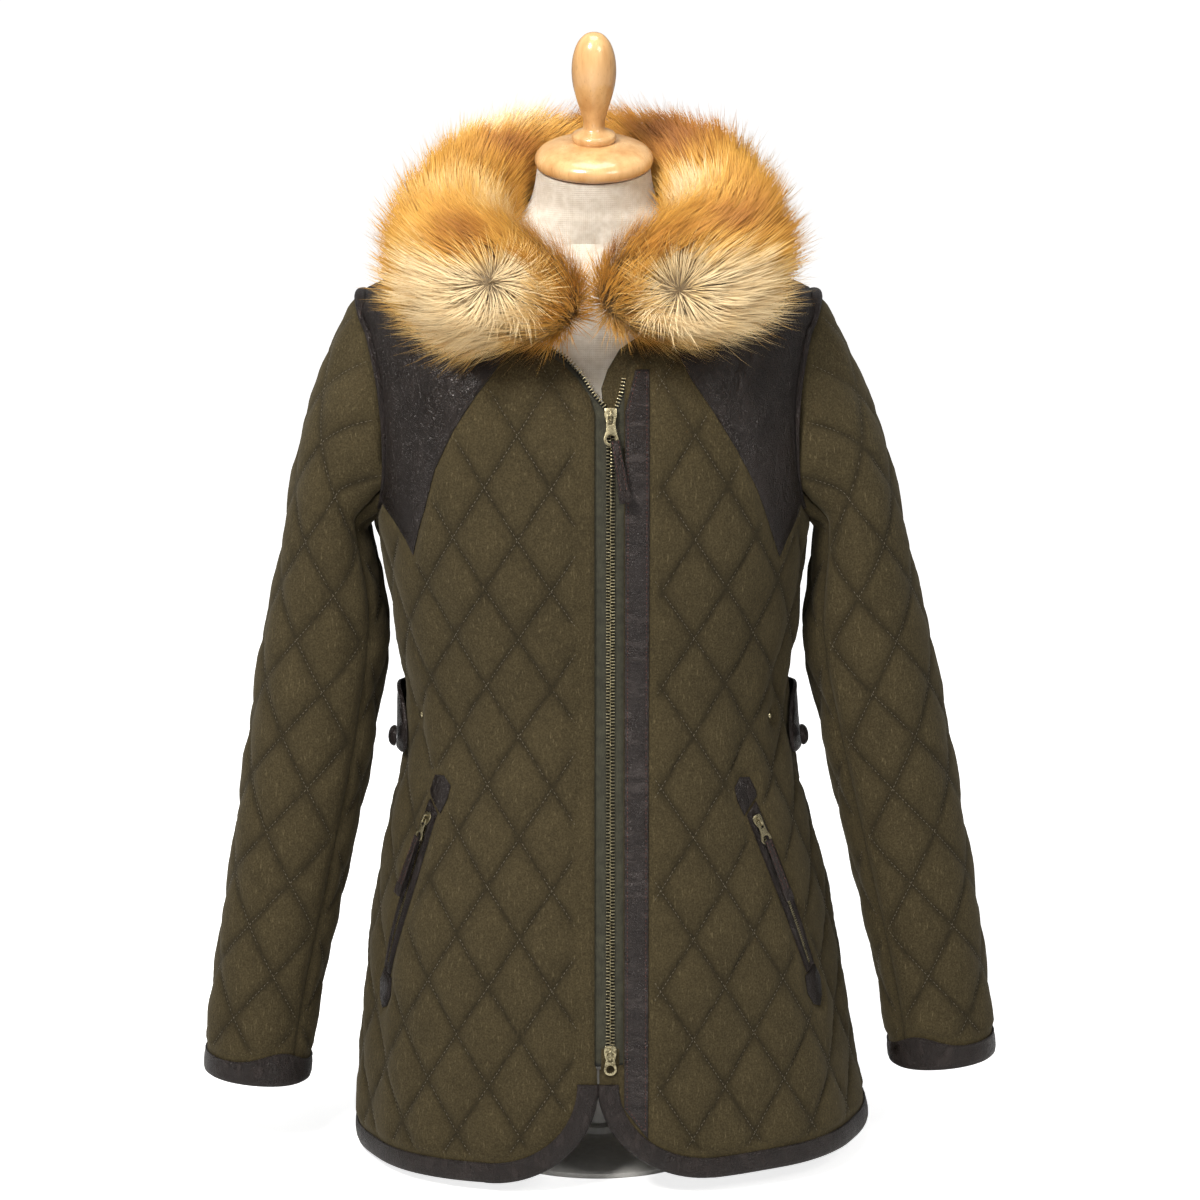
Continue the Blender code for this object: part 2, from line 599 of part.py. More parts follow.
class Panel:
    """A cut piece of cloth on a surface, quilted outside and plain inside."""

    def __init__(self, name, surface, outline, finish="wool", quilt=None, flats=(),
                 low=0.0, thick=CLOTH, step=PLAIN_STEP, extra=()):
        self.name, self.surface, self.finish = name, surface, finish
        flats = [list(flat) for flat in flats]
        points, edges, middles = (
            quilt.lines(outline, flats) if quilt else (spread(outline, step), [], []))
        points += list(extra)
        for flat in flats:
            base = len(points)
            points += flat + spread(flat, 0.020)
            edges += [(base + k, base + (k + 1) % len(flat)) for k in range(len(flat))]
        self.flat, self.faces, first = triangulate(outline, points + middles, edges)
        inside = plain_side(self.flat, self.faces, first[len(outline) + len(points):])
        used, renumbered = np.unique(inside, return_inverse=True)
        match = {int(v): k for k, v in enumerate(used)}
        rim = max(loops(self.faces), key=len)
        rise = np.zeros(len(self.flat))
        if quilt:
            rise = quilt.rise(self.flat) * smooth(depth_inside(self.flat, outline) / 0.012)
            for flat in flats:
                rise *= smooth(-depth_inside(self.flat, flat) / 0.008)
        self.rise = rise
        self.outer = surface.place(self.flat, low + thick + rise)
        inner = surface.place(self.flat[used], low)
        self.piece = wall(name, self.outer, self.faces, inner, renumbered.reshape(inside.shape),
                          [(rim, [match[k] for k in rim])], finish)

    def overlay(self, name, outline, finish="leather", thick=LEATHER, lift=GAP, dome=0.0):
        """A piece that lies on this one, made of its points moved out."""
        chosen = self.faces[depth_inside(self.flat[self.faces].mean(axis=1), outline) > 0]
        used, renumbered = np.unique(chosen, return_inverse=True)
        faces = renumbered.reshape(chosen.shape)
        angle, level = self.surface.locate(self.flat[used, 0], self.flat[used, 1])
        base = CLOTH + self.rise[used] + lift
        crown = thick + dome * smooth(depth_inside(self.flat[used], outline) / 0.006)
        upper = self.surface.lift(angle, level, base + crown)
        lower = self.surface.lift(angle, level, base)
        rims = [(row, row) for row in loops(faces)]
        return wall(name, upper, faces, lower, faces, rims, finish)


def sweep(name, sections, finish, closed=False):
    """A solid through matching closed sections."""
    sections = np.asarray(sections, float)
    rows, size = sections.shape[:2]
    faces = []
    for r in range(rows if closed else rows - 1):
        s = (r + 1) % rows
        for k in range(size):
            m = (k + 1) % size
            faces.append((r * size + k, r * size + m, s * size + m, s * size + k))
    if not closed:
        faces.append(tuple(range(size))[::-1])
        faces.append(tuple((rows - 1) * size + k for k in range(size)))
    piece = add_mesh(name, sections.reshape(-1, 3), faces, finish)
    form = bmesh.new()
    form.from_mesh(piece.data)
    bmesh.ops.recalc_face_normals(form, faces=form.faces)
    form.to_mesh(piece.data)
    form.free()
    return piece


def turned(name, profile, finish, place, tilt=None, steps=28):
    """A turned solid from a profile of (radius, height) rows, bottom to top."""
    mesh = bpy.data.meshes.new(name)
    rows = [(0.0, profile[0][1])] + list(profile)
    rows = rows[::-1]
    mesh.from_pydata([(r, 0.0, h) for r, h in rows], [(k, k + 1) for k in range(len(rows) - 1)], [])
    mesh.materials.append(materials[finish])
    piece = bpy.data.objects.new(name, mesh)
    coat.objects.link(piece)
    screw = piece.modifiers.new("turn", "SCREW")
    screw.steps = screw.render_steps = steps
    screw.use_merge_vertices = True
    screw.merge_threshold = 0.00005
    piece.matrix_world = Matrix.Translation(place) @ (tilt or Matrix.Identity(4))
    return piece


def plate(name, outline, holes, thick, finish, frame):
    """A flat plate of an outline with holes, standing in the frame's first two axes."""
    shape = bpy.data.curves.new(name, "CURVE")
    shape.dimensions, shape.fill_mode, shape.extrude = "2D", "BOTH", thick / 2
    for row in [outline, *holes]:
        line = shape.splines.new("POLY")
        line.points.add(len(row) - 1)
        for point, (x, y) in zip(line.points, row):
            point.co = (x, y, 0.0, 1.0)
        line.use_cyclic_u = True
    shape.materials.append(materials[finish])
    piece = bpy.data.objects.new(name, shape)
    coat.objects.link(piece)
    piece.matrix_world = frame
    return piece


def arc(x, y, radius, start, end, count):
    return [(x + radius * math.cos(a), y + radius * math.sin(a))
            for a in np.radians(np.linspace(start, end, count))]


def circle(x, y, radius, count):
    return arc(x, y, radius, 0, 360, count + 1)[:-1]


def frame_on(surface, across, up, height, turn=0.0):
    """A frame on a surface: across it, up it and out of it, turned about the last."""
    angle, level = surface.locate(np.array([across]), np.array([up]))
    origin = surface.lift(angle, level, height)[0]
    out = surface.normal(angle, level)[0]
    side = unit(np.cross((0.0, 0.0, 1.0), out))
    rise = np.cross(out, side)
    c, s = math.cos(turn), math.sin(turn)
    columns = [side * c + rise * s, rise * c - side * s, out]
    matrix = Matrix([[*(float(col[row]) for col in columns), float(origin[row])] for row in range(3)]
                    + [[0, 0, 0, 1]])
    return matrix


# ---- The armhole's line, shared by the body, the piping and the sleeves -----------------
ARMHOLE_TURNS = np.radians(np.arange(0, 360, 11.25))


def armhole_lines(side):
    """Rows round the armhole: body angle and level on the line, and a welt's width inside."""
    turns = ARMHOLE_TURNS
    angle, level = armhole_place(side, turns)
    line = body_point(angle, level)
    along = unit(np.roll(line, -1, axis=0) - np.roll(line, 1, axis=0))
    away = unit(np.cross(along, body.normal(angle, level)))
    away *= np.sign(np.sum(away * (line - line.mean(axis=0)), axis=1))[:, None]
    da = (body_point(angle + 1e-4, level) - body_point(angle - 1e-4, level)) / 2e-4
    dl = (body_point(angle, level + 1e-4) - body_point(angle, level - 1e-4)) / 2e-4
    moved = []
    for k in range(len(turns)):
        target = away[k] * WELT_WIDTH
        step, *_ = np.linalg.lstsq(np.column_stack([da[k], dl[k]]), target, rcond=None)
        moved.append((angle[k] + step[0], level[k] + step[1]))
    return turns, angle, level, np.array(moved)


def build_welt(side, name):
    turns, angle, level, moved = armhole_lines(side)
    sleeve = sleeves[side]
    ones = np.full(turns.shape, SLEEVE_TOP)
    end_out = sleeve.normal(turns, ones)
    start_out = body.normal(moved[:, 0], moved[:, 1])
    line, inner = body_point(angle, level), body_point(moved[:, 0], moved[:, 1])
    middle = (line + inner) / 2
    middle_out = unit(end_out + start_out)
    trim = unit(inner - line) * GAP
    low = np.clip(-np.sin(turns) * side, 0, 1)[:, None]
    edge, crown = 0.0036 - 0.0012 * low, 0.0056 - 0.0028 * low
    sections = np.stack([
        inner - trim, inner - trim + start_out * edge, middle + middle_out * crown,
        line + trim + end_out * edge, line + trim], axis=1)
    return sweep(name, sections, "leather", closed=True)


# ---- Fronts ----------------------------------------------------------------------------
NECKLINE = {
    # the wool's edge above the slider, as x and z in the front view
    -1: ((-0.0023, 0.6340), (-0.0060, 0.6465), (-0.0155, 0.6600), (-0.0275, 0.6710),
         (-0.0400, 0.6785), (-0.0530, 0.6850), (-0.0630, 0.6970), (-0.0680, 0.7120),
         (-0.0705, 0.7300), (-0.0725, 0.7480)),
    1: ((0.0209, 0.6420), (0.0215, 0.6560), (0.0235, 0.6680), (0.0320, 0.6800),
        (0.0450, 0.6880), (0.0550, 0.6975), (0.0615, 0.7120), (0.0645, 0.7300),
        (0.0665, 0.7480)),
}
TEETH_LINE = {
    # where the zip's teeth run above the slider
    -1: ((0.0060, 0.6400), (-0.0035, 0.6510), (-0.0090, 0.6600), (-0.0250, 0.6765),
         (-0.0390, 0.6855), (-0.0560, 0.6920)),
    1: ((0.0145, 0.6400), (0.0180, 0.6500), (0.0200, 0.6600)),
}
FRONT_EDGE = {-1: -0.0125, 1: 0.0105}
CORNER_EDGE = {-1: -0.0105, 1: -0.0088}
CORNER_TOP = 0.0950
CORNER_REACH = 0.0900
SEAM_ANGLE = math.pi / 2


def hem_level(x):
    return 0.0132 + 0.033 * x


def seam_line(surface, angle, low, high, step=0.030):
    levels = np.linspace(low, high, max(2, int(round((high - low) / step)) + 1))
    across, up = surface.flat(np.full(levels.shape, angle), levels)
    return list(zip(across.tolist(), up.tolist()))


def bottom_edge(side, raise_by=0.0):
    """The front's rounded corner and hem, from its top to the side seam."""
    start, sign = CORNER_EDGE[side] + side * raise_by, side
    low = hem_level(side * 0.10) + raise_by
    centre = (start + sign * (CORNER_REACH - raise_by), CORNER_TOP)
    height = CORNER_TOP - low
    row = [(centre[0] - sign * (CORNER_REACH - raise_by) * math.cos(t), centre[1] - height * math.sin(t))
           for t in np.linspace(0, math.pi / 2, 10)]
    seam = float(body.flat(side * SEAM_ANGLE, hem_level(side * 0.21) + raise_by)[0])
    end = seam - side * (0.0010 if raise_by else GAP / 2)
    across = np.linspace(row[-1][0], end, int(abs(end - row[-1][0]) / 0.018) + 1)[1:]
    angle, _ = body.locate(across, np.full(across.shape, 0.02))
    x = body_point(angle, np.full(angle.shape, 0.02))[:, 0]
    return row + list(zip(across.tolist(), (hem_level(x) + raise_by).tolist()))


def front_outline(side):
    seam = side * SEAM_ANGLE
    trim = side * GAP / 2
    _, _, _, moved = armhole_lines(side)
    hem = bottom_edge(side)
    rows = list(hem[:-1])
    low = hem[-1][1]
    bottom_level = moved[np.argmin(moved[:, 1]), 1]
    rows += [(a - trim, u) for a, u in seam_line(body, seam, low, bottom_level)]
    front = [(a, l) for a, l in moved if abs(a) < SEAM_ANGLE - 1e-3]
    front.sort(key=lambda row: row[1])
    rows += [tuple(float(v) for v in body.flat(a, l)) for a, l in front]
    top_level = moved[np.argmax(moved[:, 1]), 1]
    rows += [(a - trim, u) for a, u in seam_line(body, seam, top_level, NECK_POINT - 0.006, 0.014)]
    neck = seen(*NECKLINE[side])[::-1]
    rows += resample(neck, 0.012)
    edge = FRONT_EDGE[side]
    rows += resample([(edge, ZIP_TOP), (edge, CORNER_TOP + 0.016)], EDGE_STEP * 1.6)
    rows += [(CORNER_EDGE[side], CORNER_TOP + 0.012)]
    return rows if side > 0 else rows[::-1]


def patch_front(side):
    """The leather shoulder patch's front, from its tip up to the neckline and the armhole."""
    tip = {-1: (-0.1440, 0.5170), 1: (0.1425, 0.5140)}[side]
    edge = {-1: ((-0.1390, 0.5400), (-0.1343, 0.5560), (-0.1262, 0.5880), (-0.1118, 0.6190),
                 (-0.0950, 0.6450), (-0.0801, 0.6640), (-0.0700, 0.6800), (-0.0640, 0.6940)),
            1: ((0.1385, 0.5270), (0.1345, 0.5400), (0.1240, 0.5720), (0.1080, 0.6040),
                (0.0890, 0.6350), (0.0724, 0.6590), (0.0640, 0.6760), (0.0590, 0.6900))}[side]
    low = {-1: ((-0.1500, 0.5290), (-0.1590, 0.5420)), 1: ((0.1490, 0.5290), (0.1560, 0.5420))}[side]
    _, _, _, moved = armhole_lines(side)
    inset = 0.0008
    front = sorted(((a, l) for a, l in moved if abs(a) < SEAM_ANGLE - 1e-3 and l > 0.553),
                   key=lambda row: row[1])
    arm = [tuple(float(v) for v in body.flat(a - side * 0.006, l)) for a, l in front]
    top_level = moved[np.argmax(moved[:, 1]), 1] + inset
    shoulder = [(a - side * 0.0012, u)
                for a, u in seam_line(body, side * SEAM_ANGLE, top_level, NECK_POINT - 0.008, 0.014)]
    neck = [(a + side * 0.0012, u) for a, u in
            resample(seen(*[p for p in NECKLINE[side] if p[1] > 0.70])[::-1], 0.012)]
    return seen(tip) + seen(*low) + arm + shoulder + neck + seen(*edge)[::-1]


def pocket_line(side):
    """The pocket's slanting line, top to bottom, in flat coordinates."""
    ends = {-1: ((-0.1285, 0.3130), (-0.1700, 0.1550)), 1: ((0.1205, 0.3130), (0.1730, 0.1620))}[side]
    return [np.array(p) for p in seen(*ends)]


def along_pocket(side, places):
    """Flat points given as (distance down the pocket, distance to its side)."""
    top, bottom = pocket_line(side)
    down = (bottom - top) / np.linalg.norm(bottom - top)
    out = np.array([down[1], -down[0]]) * -side
    return [tuple(top + down * d + out * o) for d, o in places]


POCKET_LENGTH = {side: float(np.linalg.norm(np.subtract(*pocket_line(side)))) for side in (-1, 1)}


def pocket_outlines(side):
    length = POCKET_LENGTH[side]
    upper = along_pocket(side, [(0.006, -0.0085), (-0.008, -0.0100), (-0.019, -0.0085), (-0.0235, 0.0),
                                (-0.019, 0.0085), (-0.006, 0.0095), (-0.002, 0.0085)])
    welt = along_pocket(side, [(0.0075, -0.0060), (0.0015, 0.0060), (length * 0.35, 0.0066),
                               (length * 0.7, 0.0062), (length - 0.010, 0.0050),
                               (length - 0.010, -0.0050), (length * 0.7, -0.0062),
                               (length * 0.35, -0.0066)])
    lower = along_pocket(side, [(length - 0.0085, -0.0080), (length - 0.0085, 0.0080),
                                (length + 0.006, 0.0115), (length + 0.020, 0.0060),
                                (length + 0.0255, -0.0010), (length + 0.018, -0.0085),
                                (length + 0.006, -0.0115)])
    return {"pocket_top_patch": upper, "pocket_welt": welt, "pocket_end_patch": lower}


def placket_outline():
    """From the top of the front down to the binding, narrower at its top."""
    left, right = 0.0112, 0.0302
    binding = np.array(bottom_edge(1, BINDING + 0.0006)[:10])
    low_left, low_right = (float(np.interp(a, binding[:, 0], binding[:, 1])) for a in (left, right))
    rise = np.linspace(0, 1, 20)
    inner = [(left + 0.0085 * float(smooth((z - 0.640) / 0.03)), z)
             for z in low_left + (0.666 - low_left) * rise]
    outer = [(right, z) for z in low_right + (0.666 - low_right) * rise]
    return inner[::-1] + outer


def binding_outline(side):
    outer, inner = bottom_edge(side, 0.0016), bottom_edge(side, BINDING)
    return outer, inner


STUDS = {-1: (-0.1400, 0.3775), 1: (0.1368, 0.3775)}
QUILT_ACROSS = {-1: -0.0200, 1: 0.0138}
SIDE_NAMES = {-1: "right", 1: "left"}


def build_front(side):
    label = SIDE_NAMES[side]
    outline = front_outline(side)
    pieces = {f"{name}_{label}": row for name, row in pocket_outlines(side).items()}
    patch = patch_front(side)
    hem_outer, hem_inner = binding_outline(side)
    binding = hem_outer + hem_inner[::-1]
    stud = circle(*seen(STUDS[side])[0], 0.0045, 8)
    flats = [patch, binding, stud, *pieces.values()]
    if side > 0:
        placket = placket_outline()
        flats.append(placket)
    else:
        rise = np.linspace(0.1130, 0.6280, 20)
        flats.append([(-0.0136, z) for z in rise[::-1]] + [(-0.0225, z) for z in rise])
    panel = Panel(f"front_{label}", body, outline, flats=flats,
                  quilt=Quilt(QUILT_ACROSS[side], LATTICE_LEVEL))
    panel.overlay(f"shoulder_patch_{label}", patch)
    panel.overlay(f"hem_binding_{label}", binding)
    for name, row in pieces.items():
        panel.overlay(name, row, dome=0.0006)
    if side > 0:
        panel.overlay("placket_strip", placket)
    return panel


fronts = {side: build_front(side) for side in (-1, 1)}


# ---- Back ------------------------------------------------------------------------------
BACK_NECK = NECK_POINT - 0.006
QUILT_BACK = Quilt(0.0, LATTICE_LEVEL)


def back_angle(angle):
    """An angle of the body as the back counts it, from 0 to a full turn."""
    return np.asarray(angle) % (2 * math.pi)


def back_hem(raise_by=0.0, inset=0.0):
    """The back's hem from the left side seam to the right one."""
    seams = [float(body_back.flat(a, hem_level(x) + raise_by)[0])
             for a, x in ((math.pi / 2, 0.223), (3 * math.pi / 2, -0.199))]
    acrosses = np.linspace(seams[0] + inset, seams[1] - inset, 30)
    angles, _ = body_back.locate(acrosses, np.full(acrosses.shape, 0.02))
    x = body_point(angles, np.full(angles.shape, 0.02))[:, 0]
    return list(zip(acrosses.tolist(), (hem_level(x) + raise_by).tolist()))


def back_side(side):
    """Side seam, armhole and shoulder of the back, from the hem to the neck."""
    seam = math.pi / 2 if side > 0 else 3 * math.pi / 2
    trim = GAP / 2 if side > 0 else -GAP / 2
    _, _, _, moved = armhole_lines(side)
    low, high = moved[np.argmin(moved[:, 1]), 1], moved[np.argmax(moved[:, 1]), 1]
    hem = back_hem()[0 if side > 0 else -1][1]
    rows = [(a + trim, u) for a, u in seam_line(body_back, seam, hem, low)]
    arm = sorted(((a, l) for a, l in moved if abs(a) > SEAM_ANGLE + 1e-3), key=lambda row: row[1])
    rows += [tuple(float(v) for v in body_back.flat(back_angle(a), l)) for a, l in arm]
    rows += [(a + trim, u) for a, u in seam_line(body_back, seam, high, BACK_NECK, 0.014)]
    return rows


def patch_back(side):
    """The back half of a shoulder patch, cut like its front half."""
    places = ((0.1330, 0.5600), (0.1440, 0.5560), (0.1500, 0.5640), (0.1560, 0.5740))
    edge = ((0.1250, 0.5900), (0.1120, 0.6230), (0.0940, 0.6560), (0.0740, 0.6860), (0.0560, 0.7120))
    angles = np.radians(np.linspace(90, 180, 181))

    def behind(x, level):
        points = body_point(angles, np.full(angles.shape, level))
        mid = curve(BODY_RINGS, 1, level)
        angle = np.interp(-x, -(points[:, 0] - mid), angles)
        return tuple(float(v) for v in body_back.flat(back_angle(angle * side), level))

    _, _, _, moved = armhole_lines(side)
    arm = sorted(((a, l) for a, l in moved if abs(a) > SEAM_ANGLE + 1e-3 and l > 0.585),
                 key=lambda row: row[1])
    arm = [tuple(float(v) for v in body_back.flat(back_angle(a + side * 0.006), l)) for a, l in arm]
    top_level = moved[np.argmax(moved[:, 1]), 1] + 0.0008
    seam = math.pi / 2 if side > 0 else 3 * math.pi / 2
    trim = 0.0012 if side > 0 else -0.0012
    shoulder = [(a + trim, u)
                for a, u in seam_line(body_back, seam, top_level, BACK_NECK - 0.0010, 0.014)]
    inner = [behind(x, z) for x, z in edge]
    neck = resample([shoulder[-1], (inner[-1][0], BACK_NECK - 0.0010)], 0.012)[1:]
    return [behind(x, z) for x, z in places] + arm + shoulder + neck + inner[::-1]


def build_back():
    outline = back_hem()[1:-1] + back_side(-1) + [
        (a, BACK_NECK) for a in np.linspace(back_side(-1)[-1][0], back_side(1)[-1][0], 16)[1:-1]
    ] + back_side(1)[::-1]
    lows, highs = back_hem(0.0016, 0.0012), back_hem(BINDING, 0.0012)
    binding = lows + highs[::-1]
    patches = {side: patch_back(side) for side in (-1, 1)}
    panel = Panel("back", body_back, outline, quilt=QUILT_BACK, flats=[binding, *patches.values()])
    panel.overlay("hem_binding_back", binding)
    for side, patch in patches.items():
        panel.overlay(f"shoulder_patch_back_{SIDE_NAMES[side]}", patch)
    return panel


back = build_back()

# ---- Sleeves ---------------------------------------------------------------------------
FRONT_SEAM, BACK_SEAM = math.radians(-46), math.radians(215)
CUFF_CUT = {-1: 0.0020, 1: 0.0165}
CUFF_BAND, CUFF_PEAK = 0.0165, 0.0110


def cuff_band(side, turn):
    """Height of the cuff's leather, which rises to a soft peak at the front seam."""
    turn = (np.asarray(turn) * side - FRONT_SEAM - math.radians(18) + math.pi) % (2 * math.pi) - math.pi
    return CUFF_BAND + CUFF_PEAK * np.exp(-(turn / math.radians(30)) ** 2)


def cuff_turns(start, end):
    return np.linspace(start, end, max(4, int(round((end - start) * 3.0)) + 1))


def sleeve_seam(sleeve, turn, cut, inward):
    """A seam's points. It slants near the armhole, so the gap is cut wider there."""
    row = (seam_line(sleeve, turn, cut, SLEEVE_TOP - 0.030)
           + seam_line(sleeve, turn, SLEEVE_TOP - 0.020, SLEEVE_TOP, 0.010))
    end = row[-1][1]
    return [(a + inward * GAP / 2 * (1 + 7 * float(smooth((u - end + 0.07) / 0.04))), u)
            for a, u in row]


def sleeve_outline(side, start, end):
    sleeve, cut = sleeves[side], CUFF_CUT[side]
    turns = cuff_turns(start, end)
    trim = GAP / 2
    low = [tuple(float(v) for v in sleeve.flat(t, cut)) for t in turns]
    low[0], low[-1] = (low[0][0] + trim, low[0][1]), (low[-1][0] - trim, low[-1][1])
    right = sleeve_seam(sleeve, end, cut, -1)[1:]
    tops = [t for base in (-2 * math.pi, 0, 2 * math.pi) for t in ARMHOLE_TURNS + base
            if start + 0.05 < t < end - 0.05]
    high = [tuple(float(v) for v in sleeve.flat(t, SLEEVE_TOP)) for t in sorted(tops, reverse=True)]
    left = sleeve_seam(sleeve, start, cut, 1)[::-1]
    return low + right + high + left[:-1]


def sleeve_band(side, start, end):
    """The part of a sleeve piece that the cuff's leather lies on."""
    sleeve, cut, inset = sleeves[side], CUFF_CUT[side], 0.02
    turns = cuff_turns(start, end)
    turns[0], turns[-1] = turns[0] + inset, turns[-1] - inset
    low = [tuple(float(v) for v in sleeve.flat(t, cut + 0.0012)) for t in turns]
    high = [tuple(float(v) for v in sleeve.flat(t, cut + cuff_band(side, t) + 0.0015)) for t in turns]
    return low + high[::-1]


def build_sleeve(side):
    label = SIDE_NAMES[side]
    for name, start, end in (("top_sleeve", FRONT_SEAM, BACK_SEAM),
                             ("under_sleeve", BACK_SEAM - 2 * math.pi, FRONT_SEAM)):
        if side < 0:
            start, end = -end, -start
        middle = float(sleeves[side].flat((start + end) / 2, 0.3)[0])
        turns = [t for base in (-2 * math.pi, 0, 2 * math.pi) for t in ARMHOLE_TURNS + base
                 if start + 0.15 < t < end - 0.15 and math.sin(t) * side < 0.3]
        margin = [tuple(float(v) for v in sleeves[side].flat(t, SLEEVE_TOP - down))
                  for down in (0.010, 0.024) for t in turns]
        Panel(f"{name}_{label}", sleeves[side], sleeve_outline(side, start, end),
              quilt=Quilt(middle, 0.300), flats=[sleeve_band(side, start, end)],
              extra=margin)
    turns = np.linspace(0, 2 * math.pi, 37)[:-1]
    cut, band = CUFF_CUT[side], cuff_band(side, turns)
    base = np.full(turns.shape, cut)
    under = CLOTH + 2 * GAP
    rows = ((base + band, under), (base + band, under + LEATHER), (base - 0.0016, under + LEATHER),
            (base - 0.0016, 0.0), (base - 0.0004, 0.0), (base - 0.0004, under))
    sections = np.stack([sleeves[side].lift(turns, level, height) for level, height in rows], axis=1)
    sweep(f"cuff_binding_{label}", sections, "leather", closed=True)
    build_welt(side, f"armhole_welt_{label}")


for side in (-1, 1):
    build_sleeve(side)

# ---- Zips ------------------------------------------------------------------------------
TAPE_LOW = -0.0020         # the tape lies under the front's edge
TAPE_WIDTH = 0.0165


def zip_tape(side):
    centre, away = side * 0.0004, side * TAPE_WIDTH
    levels = np.linspace(ZIP_END - 0.004, ZIP_TOP + 0.002, 20)
    teeth = [(centre, z) for z in levels] + seen(*TEETH_LINE[side])
    if side < 0:
        under = seen((-0.0580, 0.6790), (-0.0400, 0.6735), (-0.0290, 0.6650), (-0.0175, 0.6540),
                     (-0.0095, 0.6420))
    else:
        under = seen((0.0260, 0.6600), (0.0258, 0.6500))
    return Panel(f"zip_tape_{SIDE_NAMES[side]}", body,
                 teeth + under + [(away, z) for z in levels[::-1]], finish="zip_tape",
                 low=TAPE_LOW, thick=TAPE, step=0.03)


for side in (-1, 1):
    zip_tape(side)

# The wool guard behind the zip, which shows beside the slider and up to the neckline.
GUARD = ((0.0045, 0.6000), (0.0045, 0.6380), (0.0030, 0.6540), (0.0080, 0.6680), (0.0175, 0.6830),
         (0.0330, 0.6930), (0.0460, 0.6990), (0.0560, 0.6960), (0.0460, 0.6840), (0.0330, 0.6740),
         (0.0290, 0.6600), (0.0285, 0.6380), (0.0285, 0.6000))
Panel("zip_guard", body, seen(*GUARD), low=TAPE_LOW - 0.0004 - CLOTH, thick=CLOTH, step=0.02)


def zip_head(name, frame, body_finish, size=1.0, ring=False, turn=0.0, tag=0.0, thick=0.0044):
    """A slider, its bail, its pull and a leather tag. The frame lies at the slider's underside."""
    def flat(height, spin=0.0):
        return frame @ Matrix.Translation((0, 0, height)) @ Matrix.Rotation(spin, 4, "Z")

    half = 0.0050 * size
    shield = [(-half * 0.80, 0.0062 * size), (-half, 0.0045 * size), (-half, 0.0005 * size),
              (-half * 0.72, -0.0050 * size), (-half * 0.5, -0.0062 * size)]
    plate(f"{name}_slider", shield + [(-x, y) for x, y in shield[::-1]], [], thick, body_finish,
          flat(thick / 2))
    axis_height = thick + GAP + 0.0015 * size
    bail = [(0.0046, 0.0), (0.0046, 0.0028), (0.0034, 0.0040), (-0.0034, 0.0040), (-0.0046, 0.0028),
            (-0.0046, 0.0), (-0.0034, 0.0), (-0.0034, 0.0020), (-0.0026, 0.0028), (0.0026, 0.0028),
            (0.0034, 0.0020), (0.0034, 0.0)]
    upright = frame @ Matrix.Translation((0, 0, thick + GAP)) @ Matrix(
        ((0, 0, 1, 0), (1, 0, 0, 0), (0, 1, 0, 0), (0, 0, 0, 1)))
    plate(f"{name}_bail", [(x * size, y * size) for x, y in bail], [], 0.0014 * size, body_finish, upright)
    pull_thick = 0.0011 * size
    if ring:
        outer = [(-0.0030, 0.0007), (-0.0038, -0.0050)] + [
            (x, y) for x, y in arc(0, -0.0115, 0.0052, 160, 380, 13)] + [(0.0038, -0.0050), (0.0030, 0.0007)]
        holes = [[(-0.0018, -0.0007), (-0.0018, -0.0052), (0.0018, -0.0052), (0.0018, -0.0007)],
                 circle(0, -0.0115, 0.0033, 12)]
    else:
        outer = [(-0.0034, 0.0007), (-0.0036, -0.0085), (-0.0040, -0.0120)] + [
            (x, y) for x, y in arc(0, -0.0185, 0.0058, 150, 390, 13)] + [
            (0.0040, -0.0120), (0.0036, -0.0085), (0.0034, 0.0007)]
        holes = [[(-0.0018, -0.0007), (-0.0018, -0.0072), (0.0018, -0.0072), (0.0018, -0.0007)],
                 circle(0, -0.0185, 0.0034, 12)]
    scaled = [[(x * size, y * size) for x, y in row] for row in [outer, *holes]]
    plate(f"{name}_pull", scaled[0], scaled[1:], pull_thick, body_finish, flat(axis_height, turn))
    if tag:
        wide = 0.0032 * size
        start = -0.0200 * size
        shape = [(-wide, start), (-wide, start - tag), (wide, start - tag), (wide, start)]
        plate(f"{name}_tag", shape, [], 0.0018, "leather",
              flat(axis_height + pull_thick / 2 + GAP + 0.0009, turn + tag_swing(name)))


def tag_swing(name):
    return math.radians({"top_zip": 9.0}.get(name, 0.0))


zip_head("top_zip", frame_on(body, 0.0, ZIP_TOP, TAPE_LOW + TAPE + GAP * 2), "brass", tag=0.049)
zip_head("bottom_zip", frame_on(body, 0.0, ZIP_END + 0.007, TAPE_LOW + TAPE + GAP * 2), "brass",
         ring=True)
POCKET_SEAT = {-1: 0.0035, 1: 0.0039}     # the sliders' undersides, on the welts
for side in (-1, 1):
    top, bottom = pocket_line(side)
    place = top + (bottom - top) / np.linalg.norm(bottom - top) * 0.0160
    slant = math.atan2(bottom[0] - top[0], top[1] - bottom[1])
    zip_head(f"pocket_zip_{SIDE_NAMES[side]}",
             frame_on(body, *place, POCKET_SEAT[side], slant), "brass", size=0.82,
             tag=0.052, turn=-slant * 0.25, thick=0.0026)

